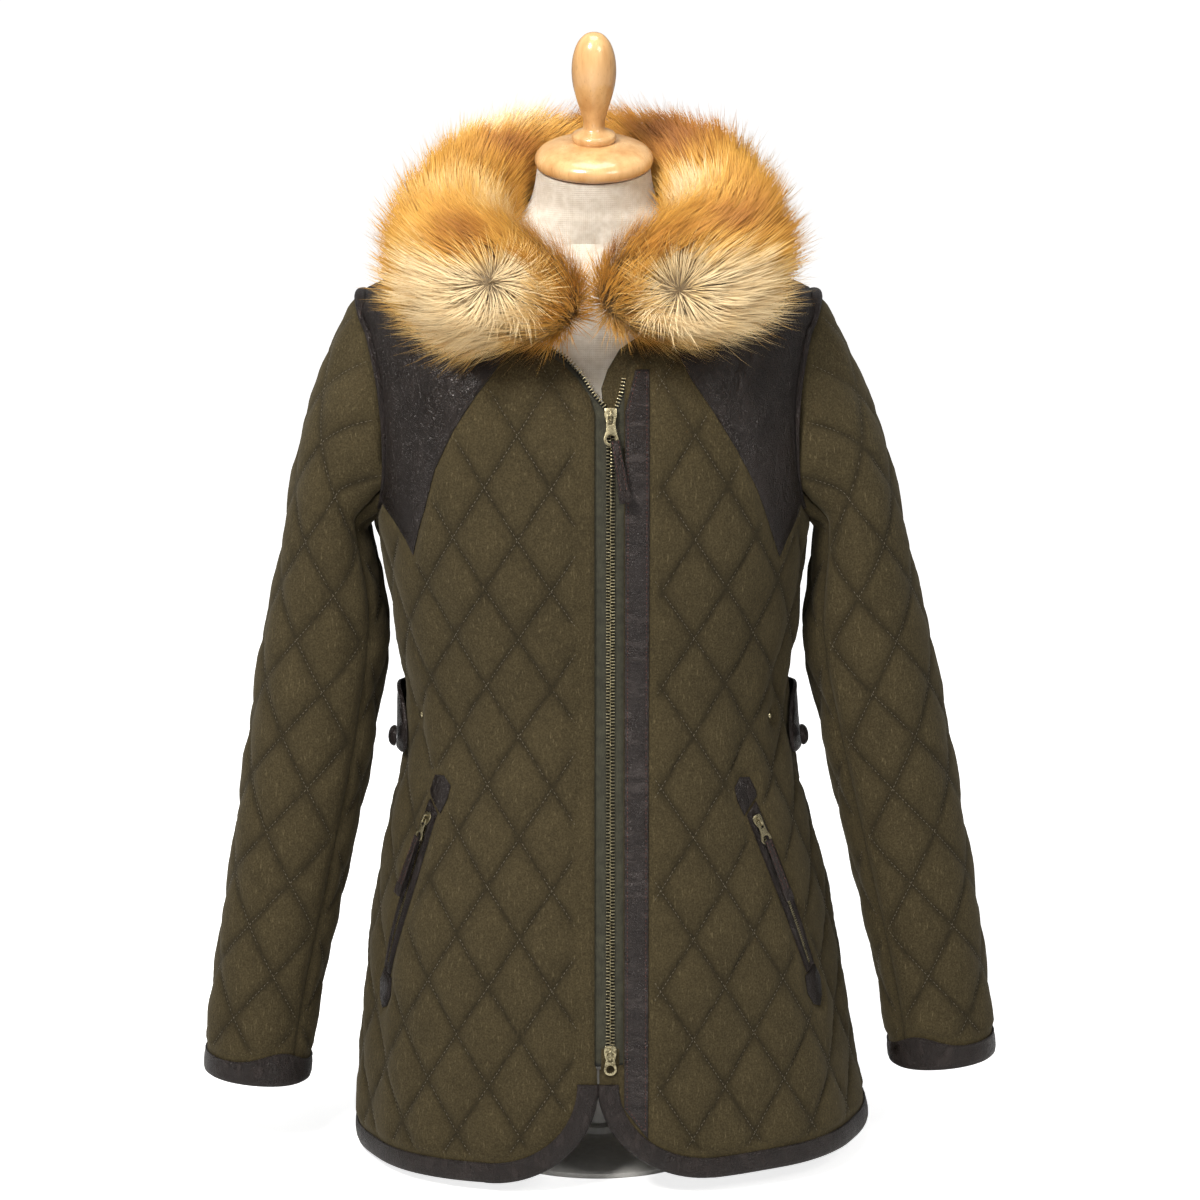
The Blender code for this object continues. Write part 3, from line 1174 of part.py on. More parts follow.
# ---- Waist tabs and studs --------------------------------------------------------------
TAB = (
    # degrees from the front, low level, high level, lift
    (75, 0.3440, 0.3560, 0.0060), (77, 0.3400, 0.3700, 0.0062), (81, 0.3385, 0.3860, 0.0072),
    (86, 0.3380, 0.3925, 0.0085), (91, 0.3385, 0.3935, 0.0085), (97, 0.3400, 0.3920, 0.0072),
    (104, 0.3420, 0.3900, 0.0062), (112, 0.3440, 0.3880, 0.0056), (120, 0.3450, 0.3870, 0.0054),
)
for side in (-1, 1):
    label = SIDE_NAMES[side]
    sections = []
    for degrees, low, high, lift in TAB:
        angle = math.radians(degrees) * side
        levels = np.array([low, (low + high) / 2, high, high, (low + high) / 2, low])
        heights = lift + np.array([0, 0, 0, 0.0026, 0.0034, 0.0026])
        sections.append(body.lift(np.full(6, angle), levels, heights))
    sweep(f"waist_tab_{label}", sections, "leather")
    across, up = body.flat(math.radians(83) * side, 0.3500)
    button = [(0.0080, 0.0), (0.0085, 0.0015), (0.0072, 0.0042), (0.0040, 0.0058), (0.0, 0.0062)]
    turned(f"tab_button_{label}", button, "leather", (0, 0, 0),
           frame_on(body, float(across), float(up), 0.0125), steps=14)
    turned(f"stud_{label}", [(0.0026, 0.0), (0.0026, 0.0006), (0.0016, 0.0016), (0.0, 0.0019)], "brass",
           (0, 0, 0), frame_on(body, *seen(STUDS[side])[0], CLOTH + GAP), steps=10)

# ---- Dress form ------------------------------------------------------------------------
def form_section(level, inset, front_inset, count=24):
    turns = np.linspace(0, 2 * math.pi, count + 1)[:-1]
    mid, half, front, back = (float(curve(BODY_RINGS, c, level)) for c in range(1, 5))
    square = float(curve(BODY_RINGS, 5, level))
    sine, cosine = np.sin(turns), np.cos(turns)
    half = min(half - inset, 0.1680)
    depth = np.where(cosine > 0, front - inset - front_inset, back - inset)
    low = level - 0.0044 * float(smooth((level - 0.685) / 0.024))
    return np.stack([mid + half * sine * (1 + square * cosine**2),
                     -depth * cosine * (1 + square * sine**2), np.full(count, low)], axis=-1)


def neck_section(level, mid_y, half, front, back, count=24):
    turns = np.linspace(0, 2 * math.pi, count + 1)[:-1]
    depth = np.where(np.cos(turns) > 0, front, back)
    x, y = -0.003 + half * np.sin(turns), mid_y - depth * np.cos(turns)
    lean = float(smooth((level - 0.770) / 0.040)) * math.tan(NECK_LEAN)
    return np.stack([x, y, level + (y - mid_y) * lean], axis=-1)


form_rows = []
for level in np.concatenate([np.linspace(FORM_BOTTOM + 0.022, 0.640, 11),
                             [0.664, 0.686, 0.700, 0.7085, 0.716, 0.727, 0.740, 0.752, 0.762]]):
    inset = 0.0050 + 0.0060 * float(smooth((0.700 - level) / 0.080))
    form_rows.append(form_section(level, inset, 0.0060 * float(smooth((level - 0.56) / 0.06))))
for drop, share in ((0.010, 0.030), (0.020, 0.060)):
    ring = form_section(FORM_BOTTOM + 0.022, 0.011, 0.0)
    ring[:, :2] = ring[:, :2] * (1 - share * drop / 0.010)
    ring[:, 2] -= drop
    form_rows.insert(0, ring)
form_rows += [neck_section(*row) for row in FORM_NECK]
sweep("form_torso", form_rows, "form_cloth")

cap_place = Vector((-0.0028, -0.0155, 0.8166))
lean = Matrix.Rotation(NECK_LEAN, 4, "X")
cap_frame = Matrix.Translation(cap_place) @ lean
turned("form_neck_cap", NECK_CAP, "beech", (0, 0, 0), cap_frame, steps=20)
turned("form_finial", FINIAL, "beech", (0, 0, 0), cap_frame @ Matrix.Translation((0, 0, 0.0208 + GAP)),
       steps=16)
turned("form_base", BASE, "stand", (0, 0, 0), steps=24)
pole_low, pole_high = BASE[-1][1] + GAP, FORM_BOTTOM + 0.002 - GAP
turned("form_pole", [(POLE_RADIUS, pole_low), (POLE_RADIUS, pole_high), (0.0, pole_high)], "stand",
       (0, 0, 0), steps=12)

# ---- Fur -------------------------------------------------------------------------------
SEAT = CLOTH + GAP + LEATHER + 0.0016


def fur_seat():
    """What the fur lies on: the shoulders with their leather, and the form's neck."""
    rows = []
    turns = np.linspace(0, 2 * math.pi, 49)[:-1]
    for level in np.concatenate([np.linspace(0.560, 0.690, 10), [0.700, 0.7085, 0.716, 0.727, 0.740,
                                                                 0.752, 0.764]]):
        rows.append(body.lift(turns - math.pi, np.full(turns.shape, level), SEAT))
    for level, mid_y, half, front, back in FORM_NECK:
        rows.append(neck_section(level, mid_y, half + 0.004, front + 0.004, back + 0.004, 48))
        rows[-1] = np.roll(rows[-1], 24, axis=0)
    top = rows[-1].copy()
    top[:, 2] += 0.090
    rows.append(top)
    return rows


seat = sweep("fur_seat", fur_seat(), "wool")
coat.objects.unlink(seat)
cutters.objects.link(seat)
seat.hide_render = True
seat.display_type = "WIRE"


def build_fur(side):
    """Half of the collar: a swollen roll, lumpy as the fur's locks are, cut to its seat."""
    lean_x = -0.006
    rows = []
    path = np.array(spline([row for row in FUR_ROLL], 13))
    if side < 0:
        path[:, 2] -= 0.006 * smooth((0.04 - path[:, 1]) / 0.10)
    points = np.column_stack([lean_x + side * path[:, 0], path[:, 1], path[:, 2]])
    points[-1, 0] = lean_x + side * GAP
    along = unit(np.gradient(points, axis=0))
    along[-1] = (-side, 0, 0)
    count = 14
    for k, (point, direction) in enumerate(zip(points, along)):
        across = unit(np.cross(direction, (0, 0, 1)))
        high = unit(np.cross(across, direction))
        turns = np.linspace(0, 2 * math.pi, count + 1)[:-1]
        lump = 1 + 0.045 * np.sin(3 * turns + 1.9 * k) * (k not in (0, 12))
        a, h = path[k, 3], path[k, 4]
        rows.append(point + across * (a * np.cos(turns) * lump)[:, None]
                    + high * (h * np.sin(turns) * lump)[:, None])
    piece = sweep(f"fur_collar_{SIDE_NAMES[side]}", rows, "fur")
    cut = piece.modifiers.new("seat", "BOOLEAN")
    cut.operation, cut.object = "DIFFERENCE", seat
    return piece


for side in (-1, 1):
    build_fur(side)
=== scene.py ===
import math

import bmesh
import bpy
import numpy as np
from mathutils import Matrix, Vector
from mathutils.bvhtree import BVHTree
from mathutils.geometry import delaunay_2d_cdt


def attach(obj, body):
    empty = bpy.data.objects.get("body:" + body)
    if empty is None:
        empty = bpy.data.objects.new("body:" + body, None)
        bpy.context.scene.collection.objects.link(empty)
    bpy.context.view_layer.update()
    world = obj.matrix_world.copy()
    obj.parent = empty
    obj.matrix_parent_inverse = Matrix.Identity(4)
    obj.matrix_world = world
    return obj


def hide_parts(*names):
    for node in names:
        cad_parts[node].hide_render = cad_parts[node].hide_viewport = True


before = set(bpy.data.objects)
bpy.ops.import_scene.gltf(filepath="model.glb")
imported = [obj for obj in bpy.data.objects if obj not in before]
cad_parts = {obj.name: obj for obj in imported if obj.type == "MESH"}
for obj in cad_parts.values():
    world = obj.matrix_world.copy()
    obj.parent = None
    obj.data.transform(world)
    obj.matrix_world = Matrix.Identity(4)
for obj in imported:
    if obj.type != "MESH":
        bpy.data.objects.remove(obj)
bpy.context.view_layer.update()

# Quilted wool field coat with leather trims and a fur collar, on a limbless dress form.
# Metres, +Z up, the coat faces -Y. Right and left are the wearer's.

coatBody = "coat_on_form"

print("shapes of the coat")


def smooth(value):
    value = np.clip(value, 0.0, 1.0)
    return value * value * (3.0 - 2.0 * value)


# A column of a table at any level, on a smooth curve through its rows
def curve(table, column, level):
    table = np.asarray(table)
    if table[0, 0] > table[-1, 0]:
        table = table[::-1]
    x, y = table[:, 0], table[:, column]
    slope = np.gradient(y, x)
    level = np.clip(level, x[0], x[-1])
    row = np.clip(np.searchsorted(x, level) - 1, 0, len(x) - 2)
    step = x[row + 1] - x[row]
    t = (level - x[row]) / step
    return ((2 * t**3 - 3 * t**2 + 1) * y[row] + (t**3 - 2 * t**2 + t) * step * slope[row]
        + (3 * t**2 - 2 * t**3) * y[row + 1] + (t**3 - t**2) * step * slope[row + 1])


def foldDepth(folds, degrees, level):
    total = np.zeros(np.broadcast(degrees, level).shape)
    for centre, height, halfDegrees, halfHeight, slant, depth in folds:
        turn = degrees - centre - slant * (level - height)
        turn = (turn + 180.0) % 360.0 - 180.0
        total += depth * np.exp(-(turn / halfDegrees) ** 2 - ((level - height) / halfHeight) ** 2)
    return total


def unit(vectors):
    return vectors / np.maximum(np.linalg.norm(vectors, axis=-1, keepdims=True), 1e-12)


# The same open line with points evenly spaced, its own corners kept
def resample(points, step):
    result = [points[0]]
    for start, end in zip(points[:-1], points[1:]):
        start, end = np.asarray(start, float), np.asarray(end, float)
        count = max(1, int(round(np.linalg.norm(end - start) / step)))
        result += [start + (end - start) * k / count for k in range(1, count + 1)]
    return [tuple(float(v) for v in p) for p in result]


# Evenly spaced points on a smooth curve through a few
def spline(points, count):
    points = np.asarray(points, float)
    length = np.concatenate([[0], np.cumsum(np.linalg.norm(np.diff(points, axis=0), axis=1))])
    table = np.column_stack([length, points])
    at = np.linspace(0, length[-1], count)
    return [tuple(float(v) for v in row)
        for row in np.column_stack([curve(table, c + 1, at) for c in range(points.shape[1])])]


# Rings of a tube, with flat coordinates: across from its zero line, and up
class Surface:

    def __init__(self, point, zero, span, levels, climbs, rim=None, lineX=None, settle=None):
        self.point, self.climbs, self.rim = point, climbs, rim
        self.angles = zero + np.linspace(-span, span, 721)
        self.levels = np.asarray(levels)
        grid = point(self.angles[None, :], self.levels[:, None])
        around = np.linalg.norm(np.diff(grid, axis=1), axis=2)
        around = np.concatenate([np.zeros((len(levels), 1)), np.cumsum(around, axis=1)], axis=1)
        self.around = around - around[:, 360:361]
        if lineX is not None:
            near = slice(300, 421)
            start = [np.interp(lineX, row[near, 0], length[near])
                for row, length in zip(grid, self.around)]
            self.around = self.around - np.array(start)[:, None]
        if settle is not None:
            last = int(np.searchsorted(self.levels, settle))
            self.around[last:] = self.around[last]
        if climbs:
            rise = np.linalg.norm(np.diff(grid, axis=0), axis=2)
            self.up = np.concatenate([np.zeros((1, 721)), np.cumsum(rise, axis=0)], axis=0)
        else:
            self.up = np.repeat(self.levels[:, None], 721, axis=1)

    def sample(self, table, angle, level):
        col = (angle - self.angles[0]) / (self.angles[-1] - self.angles[0]) * 720
        row = (level - self.levels[0]) / (self.levels[-1] - self.levels[0]) * (len(self.levels) - 1)
        c = np.clip(np.floor(col).astype(int), 0, 719)
        r = np.clip(np.floor(row).astype(int), 0, len(self.levels) - 2)
        fc, fr = col - c, row - r
        top = table[r, c] * (1 - fc) + table[r, c + 1] * fc
        low = table[r + 1, c] * (1 - fc) + table[r + 1, c + 1] * fc
        return top * (1 - fr) + low * fr

    def flat(self, angle, level):
        angle, level = np.asarray(angle, float), np.asarray(level, float)
        return self.sample(self.around, angle, level), self.sample(self.up, angle, level)

    # The angle and level of flat points: the nearest table entry, then corrections
    def locate(self, across, up):
        across, up = np.asarray(across, float), np.asarray(up, float)
        rows, cols = slice(None, None, 6), slice(None, None, 12)
        angles, levels = np.meshgrid(self.angles[cols], self.levels[rows])
        known = np.column_stack([self.around[rows, cols].ravel(), self.up[rows, cols].ravel()])
        wanted = np.column_stack([across, up])
        nearest = np.array([np.argmin(np.sum((known - point) ** 2, axis=1)) for point in wanted])
        angle, level = angles.ravel()[nearest], levels.ravel()[nearest]
        width, height = math.radians(0.5), self.levels[1] - self.levels[0]
        for _ in range(12):
            a, u = self.flat(angle, level)
            aw, uw = self.flat(angle + width, level)
            ah, uh = self.flat(angle, level + height)
            jaa, jua = (aw - a) / width, (uw - u) / width
            jal, jul = (ah - a) / height, (uh - u) / height
            size = jaa * jul - jal * jua
            size = np.where(np.abs(size) < 1e-3, 1e-3, size)
            da, du = across - a, up - u
            angle = angle + np.clip((da * jul - du * jal) / size, -0.15, 0.15)
            level = level + np.clip((du * jaa - da * jua) / size, -0.02, 0.02)
            angle = np.clip(angle, self.angles[0], self.angles[-1])
            level = np.clip(level, self.levels[0] - height, self.levels[-1] + height)
        return angle, level

    def normal(self, angle, level):
        da, dl = 1e-3, 4e-4
        side = self.point(angle + da, level) - self.point(angle - da, level)
        rise = self.point(angle, level + dl) - self.point(angle, level - dl)
        out = unit(np.cross(side, rise))
        return out if self.rim is None else self.rim(angle, level, out)

    def lift(self, angle, level, height):
        height = np.broadcast_to(np.asarray(height, float), np.shape(angle))
        return self.point(angle, level) + self.normal(angle, level) * height[..., None]

    def place(self, flatPoints, height):
        flatPoints = np.asarray(flatPoints, float)
        angle, level = self.locate(flatPoints[:, 0], flatPoints[:, 1])
        return self.lift(angle, level, height)


bodyShape = {
    "underarm": 0.5450, "shoulder": 0.7085, "neck": 0.7650,
    "rings": (
        # level, mid_x, half_width, front, back, square
        (-0.010, 0.0135, 0.2120, 0.150, 0.149, 0.10),
        (0.022, 0.0121, 0.2112, 0.149, 0.148, 0.10),
        (0.075, 0.0083, 0.2040, 0.147, 0.147, 0.10),
        (0.127, 0.0066, 0.1967, 0.143, 0.144, 0.10),
        (0.180, 0.0045, 0.1898, 0.139, 0.140, 0.10),
        (0.231, 0.0037, 0.1810, 0.134, 0.134, 0.10),
        (0.283, 0.0016, 0.1690, 0.128, 0.125, 0.11),
        (0.334, 0.0012, 0.1566, 0.121, 0.113, 0.12),
        (0.372, 0.0000, 0.1528, 0.116, 0.104, 0.13),
        (0.410, -0.0009, 0.1545, 0.116, 0.101, 0.14),
        (0.4355, -0.0013, 0.1597, 0.119, 0.102, 0.14),
        (0.470, -0.0020, 0.1632, 0.125, 0.106, 0.15),
        (0.500, -0.0030, 0.1670, 0.130, 0.111, 0.15),
        (0.545, -0.0045, 0.1750, 0.133, 0.116, 0.14),
        (0.600, -0.0055, 0.1800, 0.127, 0.118, 0.13),
        (0.650, -0.0065, 0.1840, 0.113, 0.113, 0.12),
        (0.690, -0.0072, 0.1865, 0.094, 0.102, 0.10),
        (0.7085, -0.0073, 0.1860, 0.083, 0.093, 0.08),
        (0.722, -0.0070, 0.1580, 0.074, 0.086, 0.06),
        (0.735, -0.0060, 0.1310, 0.066, 0.079, 0.04),
        (0.750, -0.0045, 0.1030, 0.058, 0.071, 0.02),
        (0.765, -0.0030, 0.0770, 0.051, 0.064, 0.00),
        (0.775, -0.0030, 0.0640, 0.046, 0.058, 0.00),
    ),
    "folds": (
        # degrees, level, half_degrees, half_height, slant, depth
        (-62, 0.330, 7, 0.085, -60, -0.0040),
        (-40, 0.360, 6, 0.120, -25, -0.0035),
        (44, 0.350, 6, 0.120, 25, -0.0035),
        (64, 0.395, 6, 0.070, 40, -0.0035),
        (-20, 0.130, 8, 0.110, -10, -0.0035),
        (34, 0.120, 8, 0.120, 12, -0.0040),
        (-66, 0.110, 9, 0.110, -12, -0.0045),
        (70, 0.130, 9, 0.110, 12, -0.0040),
        (118, 0.150, 8, 0.130, 12, -0.0050),
        (152, 0.170, 9, 0.140, 8, -0.0050),
        (-150, 0.140, 8, 0.120, -10, -0.0050),
        (-112, 0.120, 9, 0.110, -10, -0.0045),
        (180, 0.360, 10, 0.090, 0, -0.0040),
    ),
}


def bodyPoint(angle, level):
    angle, level = np.broadcast_arrays(np.asarray(angle, float), np.asarray(level, float))
    mid, half, front, back, square = (curve(bodyShape["rings"], c, level) for c in range(1, 6))
    fold = foldDepth(bodyShape["folds"], np.degrees(angle), level)
    sine, cosine = np.sin(angle), np.cos(angle)
    depth = np.where(cosine > 0, front, back)
    x = mid + (half + fold * np.abs(sine)) * sine * (1 + square * cosine**2)
    y = -(depth + fold) * cosine * (1 + square * sine**2)
    return np.stack([x, y, level], axis=-1)


armholeShape = {
    "welt": 0.0073,     # width of the leather piping
    "rows": (
        # level, half_distance
        (0.5450, 0.1750), (0.5510, 0.1705), (0.5650, 0.1668), (0.6000, 0.1640),
        (0.6350, 0.1652), (0.6650, 0.1700), (0.6900, 0.1768), (0.7085, 0.1860),
    ),
}


# The angle, from the front's middle, at which the armhole's line crosses a level
def armholeAngle(level):
    level = np.atleast_1d(level)
    reach = curve(armholeShape["rows"], 1, level)
    angles = np.linspace(0, math.pi / 2, 400)
    result = []
    for z, x in zip(level, reach):
        half, square = curve(bodyShape["rings"], 2, z), curve(bodyShape["rings"], 5, z)
        wide = half * np.sin(angles) * (1 + square * np.cos(angles) ** 2)
        result.append(np.interp(min(x, wide[-1]), np.maximum.accumulate(wide), angles))
    return np.array(result)


# Body angle and level on the armhole, where turn 0 is in front and 90 degrees outside
def armholePlace(side, turn):
    outward = np.clip(np.sin(turn) * side, -1, 1)
    middle = (bodyShape["shoulder"] + bodyShape["underarm"]) / 2
    reach = (bodyShape["shoulder"] - bodyShape["underarm"]) / 2
    level = middle + reach * outward
    shape = np.shape(level)
    front = armholeAngle(np.ravel(level)).reshape(shape)
    return np.where(np.cos(turn) >= 0, front, math.pi - front) * side, level


sleeveShape = {
    # under the arm it leans to the side: how far, to what depth below the armhole, and the fade
    "nestle": (0.0165, 0.038, 0.032),
    "blend": 0.070, "frontSeam": math.radians(-46), "backSeam": math.radians(215),
    "rings": (
        # outer_x, outer_z, inner_x, inner_z, mid_y, half_depth, lean
        (0.1860, 0.7085, 0.1750, 0.5450, 0.0000, 0.0550, -0.0073),
        (0.2030, 0.6750, 0.1840, 0.5450, -0.0005, 0.0585, -0.0070),
        (0.2165, 0.6430, 0.1885, 0.5370, -0.0010, 0.0600, -0.0060),
        (0.2305, 0.6020, 0.1855, 0.5180, -0.0015, 0.0605, -0.0045),
        (0.2425, 0.5560, 0.1815, 0.5000, -0.0020, 0.0600, -0.0030),
        (0.2530, 0.5070, 0.1757, 0.4740, -0.0025, 0.0590, -0.0015),
        (0.2635, 0.4600, 0.1722, 0.4400, -0.0030, 0.0570, -0.0010),
        (0.2738, 0.4100, 0.1780, 0.3950, -0.0035, 0.0550, -0.0004),
        (0.2835, 0.3580, 0.1882, 0.3440, -0.0045, 0.0535, 0.0012),
        (0.2922, 0.3050, 0.2000, 0.2920, -0.0060, 0.0520, 0.0020),
        (0.3008, 0.2520, 0.2118, 0.2400, -0.0080, 0.0500, 0.0024),
        (0.3088, 0.2030, 0.2230, 0.1920, -0.0100, 0.0470, 0.0026),
        (0.3162, 0.1540, 0.2340, 0.1440, -0.0120, 0.0440, 0.0026),
        (0.3230, 0.1080, 0.2415, 0.0990, -0.0135, 0.0410, 0.0024),
        (0.3275, 0.0660, 0.2462, 0.0580, -0.0145, 0.0395, 0.0024),
    ),
    "folds": (
        # degrees, level, half_degrees, half_height, slant, depth
        (-70, 0.330, 26, 0.022, 200, -0.0035),
        (-30, 0.385, 22, 0.020, 160, -0.0030),
        (60, 0.300, 26, 0.024, -150, -0.0028),
        (20, 0.180, 24, 0.026, 120, -0.0025),
        (100, 0.430, 24, 0.030, -90, -0.0030),
        (-100, 0.430, 26, 0.022, 60, -0.0030),
        (170, 0.280, 30, 0.026, 80, -0.0035),
        (150, 0.140, 26, 0.026, -90, -0.0030),
    ),
}


def sleeveLevelRows():
    rings = np.asarray(sleeveShape["rings"])
    middle = np.column_stack([rings[:, 0] + rings[:, 2], rings[:, 1] + rings[:, 3]]) / 2
    down = np.concatenate([[0], np.cumsum(np.linalg.norm(np.diff(middle, axis=0), axis=1))])
    return down[-1] - down


sleeveLevels = sleeveLevelRows()
sleeveTable = np.column_stack([sleeveLevels, np.asarray(sleeveShape["rings"])])
sleeveTop = float(sleeveLevels[0])


def sleeveRing(side, turn, level):
    outerX, outerZ, innerX, innerZ, midY, depth, lean = (
        curve(sleeveTable, c, level) for c in range(1, 8))
    outward, forward = np.sin(turn) * side, np.cos(turn)
    square = 0.06
    reach = outward * (1 + square * forward**2)
    x = lean + side * ((outerX + innerX) / 2 + (outerX - innerX) / 2 * reach)
    z = (outerZ + innerZ) / 2 + (outerZ - innerZ) / 2 * reach
    y = midY - depth * forward * (1 + square * outward**2)
    return np.stack([x, y, z], axis=-1)


def makeSleevePoint(side):
    turns = np.radians(np.linspace(-360, 720, 1081))
    angle, level = armholePlace(side, turns)
    top = bodyPoint(angle, level)
    shift = top - sleeveRing(side, turns, np.full(turns.shape, sleeveTop))

    def point(turn, level):
        turn, level = np.broadcast_arrays(np.asarray(turn, float), np.asarray(level, float))
        ring = sleeveRing(side, turn, level)
        away = np.stack([np.interp(turn, turns, shift[:, axis]) for axis in range(3)], axis=-1)
        keep = 1 - smooth((sleeveTop - level) / sleeveShape["blend"])
        degrees = np.degrees(turn) * side
        fold = foldDepth(sleeveShape["folds"], degrees, level) * (1 - keep)
        pull = unit(ring - sleeveRing(side, turn + math.pi, level))
        depth, start, fade = sleeveShape["nestle"]
        below = sleeveTop - level
        inward = np.clip(-np.sin(turn) * side, 0, 1)
        lean = depth * inward * smooth(below / 0.014) * (1 - smooth((below - start) / fade))
        ring = ring - np.stack([side * lean, 0 * lean, 0 * lean], axis=-1)
        return ring + away * keep[..., None] + pull * fold[..., None]

    return point


# Turns a sleeve's thickness, at the armhole, halfway towards the body's
def makeSleeveRim(side):
    def rim(turn, level, out):
        angle, height = armholePlace(side, turn)
        bodyOut = body.normal(angle, height)
        mitre = unit(out + bodyOut)
        near = 1 - smooth((sleeveTop - level) / 0.012)
        return unit(out * (1 - near[..., None]) + mitre * near[..., None])
    return rim


bodyLevels = np.linspace(-0.010, 0.775, 315)

zipSizes = {
    "line": 0.0102, "top": 0.6320, "end": 0.1130, "tape": 0.0010, "tapeLow": -0.0020, "tapeWidth": 0.0165,
    "pitch": 0.00265,
    "teethLine": {
        # where the zip's teeth run above the slider
        -1: ((0.0060, 0.6400), (-0.0035, 0.6510), (-0.0090, 0.6600), (-0.0250, 0.6765),
            (-0.0390, 0.6855), (-0.0560, 0.6920)),
        1: ((0.0145, 0.6400), (0.0180, 0.6500), (0.0200, 0.6600)),
    },
}

body = Surface(bodyPoint, 0.0, math.pi, bodyLevels, climbs=False, lineX=zipSizes["line"])
bodyBack = Surface(bodyPoint, math.pi, math.pi, bodyLevels, climbs=False)
sleeves = {
    side: Surface(makeSleevePoint(side), 0.0, math.radians(320),
        np.linspace(0.0, sleeveTop, 221), climbs=True, rim=makeSleeveRim(side),
        settle=sleeveTop - 0.110)
    for side in (-1, 1)
}


# Flat place, on the front, of a point seen at x in the front view
def acrossAt(x, level):
    angles = np.radians(np.linspace(-90, 90, 361))
    points = bodyPoint(angles, np.full(angles.shape, level))
    return float(body.flat(np.interp(x, points[:, 0], angles), level)[0])


# Front-view places (x, z) as flat points on the front
def seen(*places):
    return [(acrossAt(x, z), z) for x, z in places]


# Distance of flat points from an outline, positive inside it
def depthInside(points, outline):
    points = np.atleast_2d(np.asarray(points, float))
    if len(points) > 3000:
        return np.concatenate([depthInside(points[k:k + 3000], outline)
            for k in range(0, len(points), 3000)])
    points = points[:, None, :]
    start = np.asarray(outline, float)[None, :, :]
    end = np.roll(start, -1, axis=1)
    edge = end - start
    size = np.maximum(np.sum(edge * edge, axis=2), 1e-18)
    t = np.clip(np.sum((points - start) * edge, axis=2) / size, 0, 1)
    nearest = np.linalg.norm(points - start - t[..., None] * edge, axis=2).min(axis=1)
    crosses = (start[..., 1] > points[..., 1]) != (end[..., 1] > points[..., 1])
    tall = np.where(np.abs(edge[..., 1]) < 1e-15, 1e-15, edge[..., 1])
    crossing = start[..., 0] + (points[..., 1] - start[..., 1]) / tall * edge[..., 0]
    inside = np.sum(crosses & (points[..., 0] < crossing), axis=1) % 2 == 1
    return np.where(inside, nearest, -nearest)


# Flat triangles inside an outline, keeping the given edges, and each point's own place
def triangulate(outline, points, edges):
    count = len(outline)
    ring = [(k, (k + 1) % count) for k in range(count)]
    everything = [Vector(p) for p in list(outline) + list(points)]
    verts, _, faces, origins, _, _ = delaunay_2d_cdt(
        everything, ring + [(a + count, b + count) for a, b in edges], [], 1, 1e-7)
    verts = np.array([tuple(v) for v in verts])
    faces = np.array([tuple(f) for f in faces])
    a, b, c = verts[faces[:, 0]], verts[faces[:, 1]], verts[faces[:, 2]]
    turned = (b[:, 0] - a[:, 0]) * (c[:, 1] - a[:, 1]) - (b[:, 1] - a[:, 1]) * (c[:, 0] - a[:, 0]) < 0
    faces[turned] = faces[turned][:, ::-1]
    first = {source: index for index, sources in enumerate(origins) for source in sources}
    return verts, faces, [first[k] for k in range(len(everything))]


# Closed rows of points along the open edges of some triangles
def loops(faces):
    edges = {(int(f[k]), int(f[(k + 1) % 3])) for f in faces for k in range(3)}
    after = {a: b for a, b in edges if (b, a) not in edges}
    result = []
    while after:
        start, row = next(iter(after)), []
        while start in after:
            row.append(start)
            start = after.pop(start)
        result.append(row)
    return result


# A plain staggered grid of points inside an outline
def spread(outline, step):
    low, high = np.min(outline, axis=0), np.max(outline, axis=0)
    grid = [(x + (row % 2) * step / 2, y)
        for row, y in enumerate(np.arange(low[1] + step / 2, high[1], step))
        for x in np.arange(low[0], high[0], step)]
    if not grid:
        return []
    room = depthInside(grid, outline)
    return [p for p, r in zip(grid, room) if r > step * 0.4]


def arc(x, y, radius, start, end, count):
    return [(x + radius * math.cos(a), y + radius * math.sin(a))
        for a in np.radians(np.linspace(start, end, count))]


def circle(x, y, radius, count):
    return arc(x, y, radius, 0, 360, count + 1)[:-1]


# A frame on a surface: across it, up it and out of it, turned about the last
def frameOn(surface, across, up, height, turn=0.0):
    angle, level = surface.locate(np.array([across]), np.array([up]))
    origin = surface.lift(angle, level, height)[0]
    out = surface.normal(angle, level)[0]
    side = unit(np.cross((0.0, 0.0, 1.0), out))
    rise = np.cross(out, side)
    c, s = math.cos(turn), math.sin(turn)
    columns = [side * c + rise * s, rise * c - side * s, out]
    matrix = Matrix([[*(float(col[row]) for col in columns), float(origin[row])] for row in range(3)]
        + [[0, 0, 0, 1]])
    return matrix


armholeTurns = np.radians(np.arange(0, 360, 3.75))


# Rows round the armhole: body angle and level on the line, and a welt's width inside
def armholeLines(side):
    turns = armholeTurns
    angle, level = armholePlace(side, turns)
    line = bodyPoint(angle, level)
    along = unit(np.roll(line, -1, axis=0) - np.roll(line, 1, axis=0))
    away = unit(np.cross(along, body.normal(angle, level)))
    away *= np.sign(np.sum(away * (line - line.mean(axis=0)), axis=1))[:, None]
    da = (bodyPoint(angle + 1e-4, level) - bodyPoint(angle - 1e-4, level)) / 2e-4
    dl = (bodyPoint(angle, level + 1e-4) - bodyPoint(angle, level - 1e-4)) / 2e-4
    moved = []
    for k in range(len(turns)):
        target = away[k] * armholeShape["welt"]
        step, *_ = np.linalg.lstsq(np.column_stack([da[k], dl[k]]), target, rcond=None)
        moved.append((angle[k] + step[0], level[k] + step[1]))
    return turns, angle, level, np.array(moved)


def hemLevel(x):
    return 0.0132 + 0.033 * x


def seamLine(surface, angle, low, high, step=0.012):
    levels = np.linspace(low, high, max(2, int(round((high - low) / step)) + 1))
    across, up = surface.flat(np.full(levels.shape, angle), levels)
    return list(zip(across.tolist(), up.tolist()))


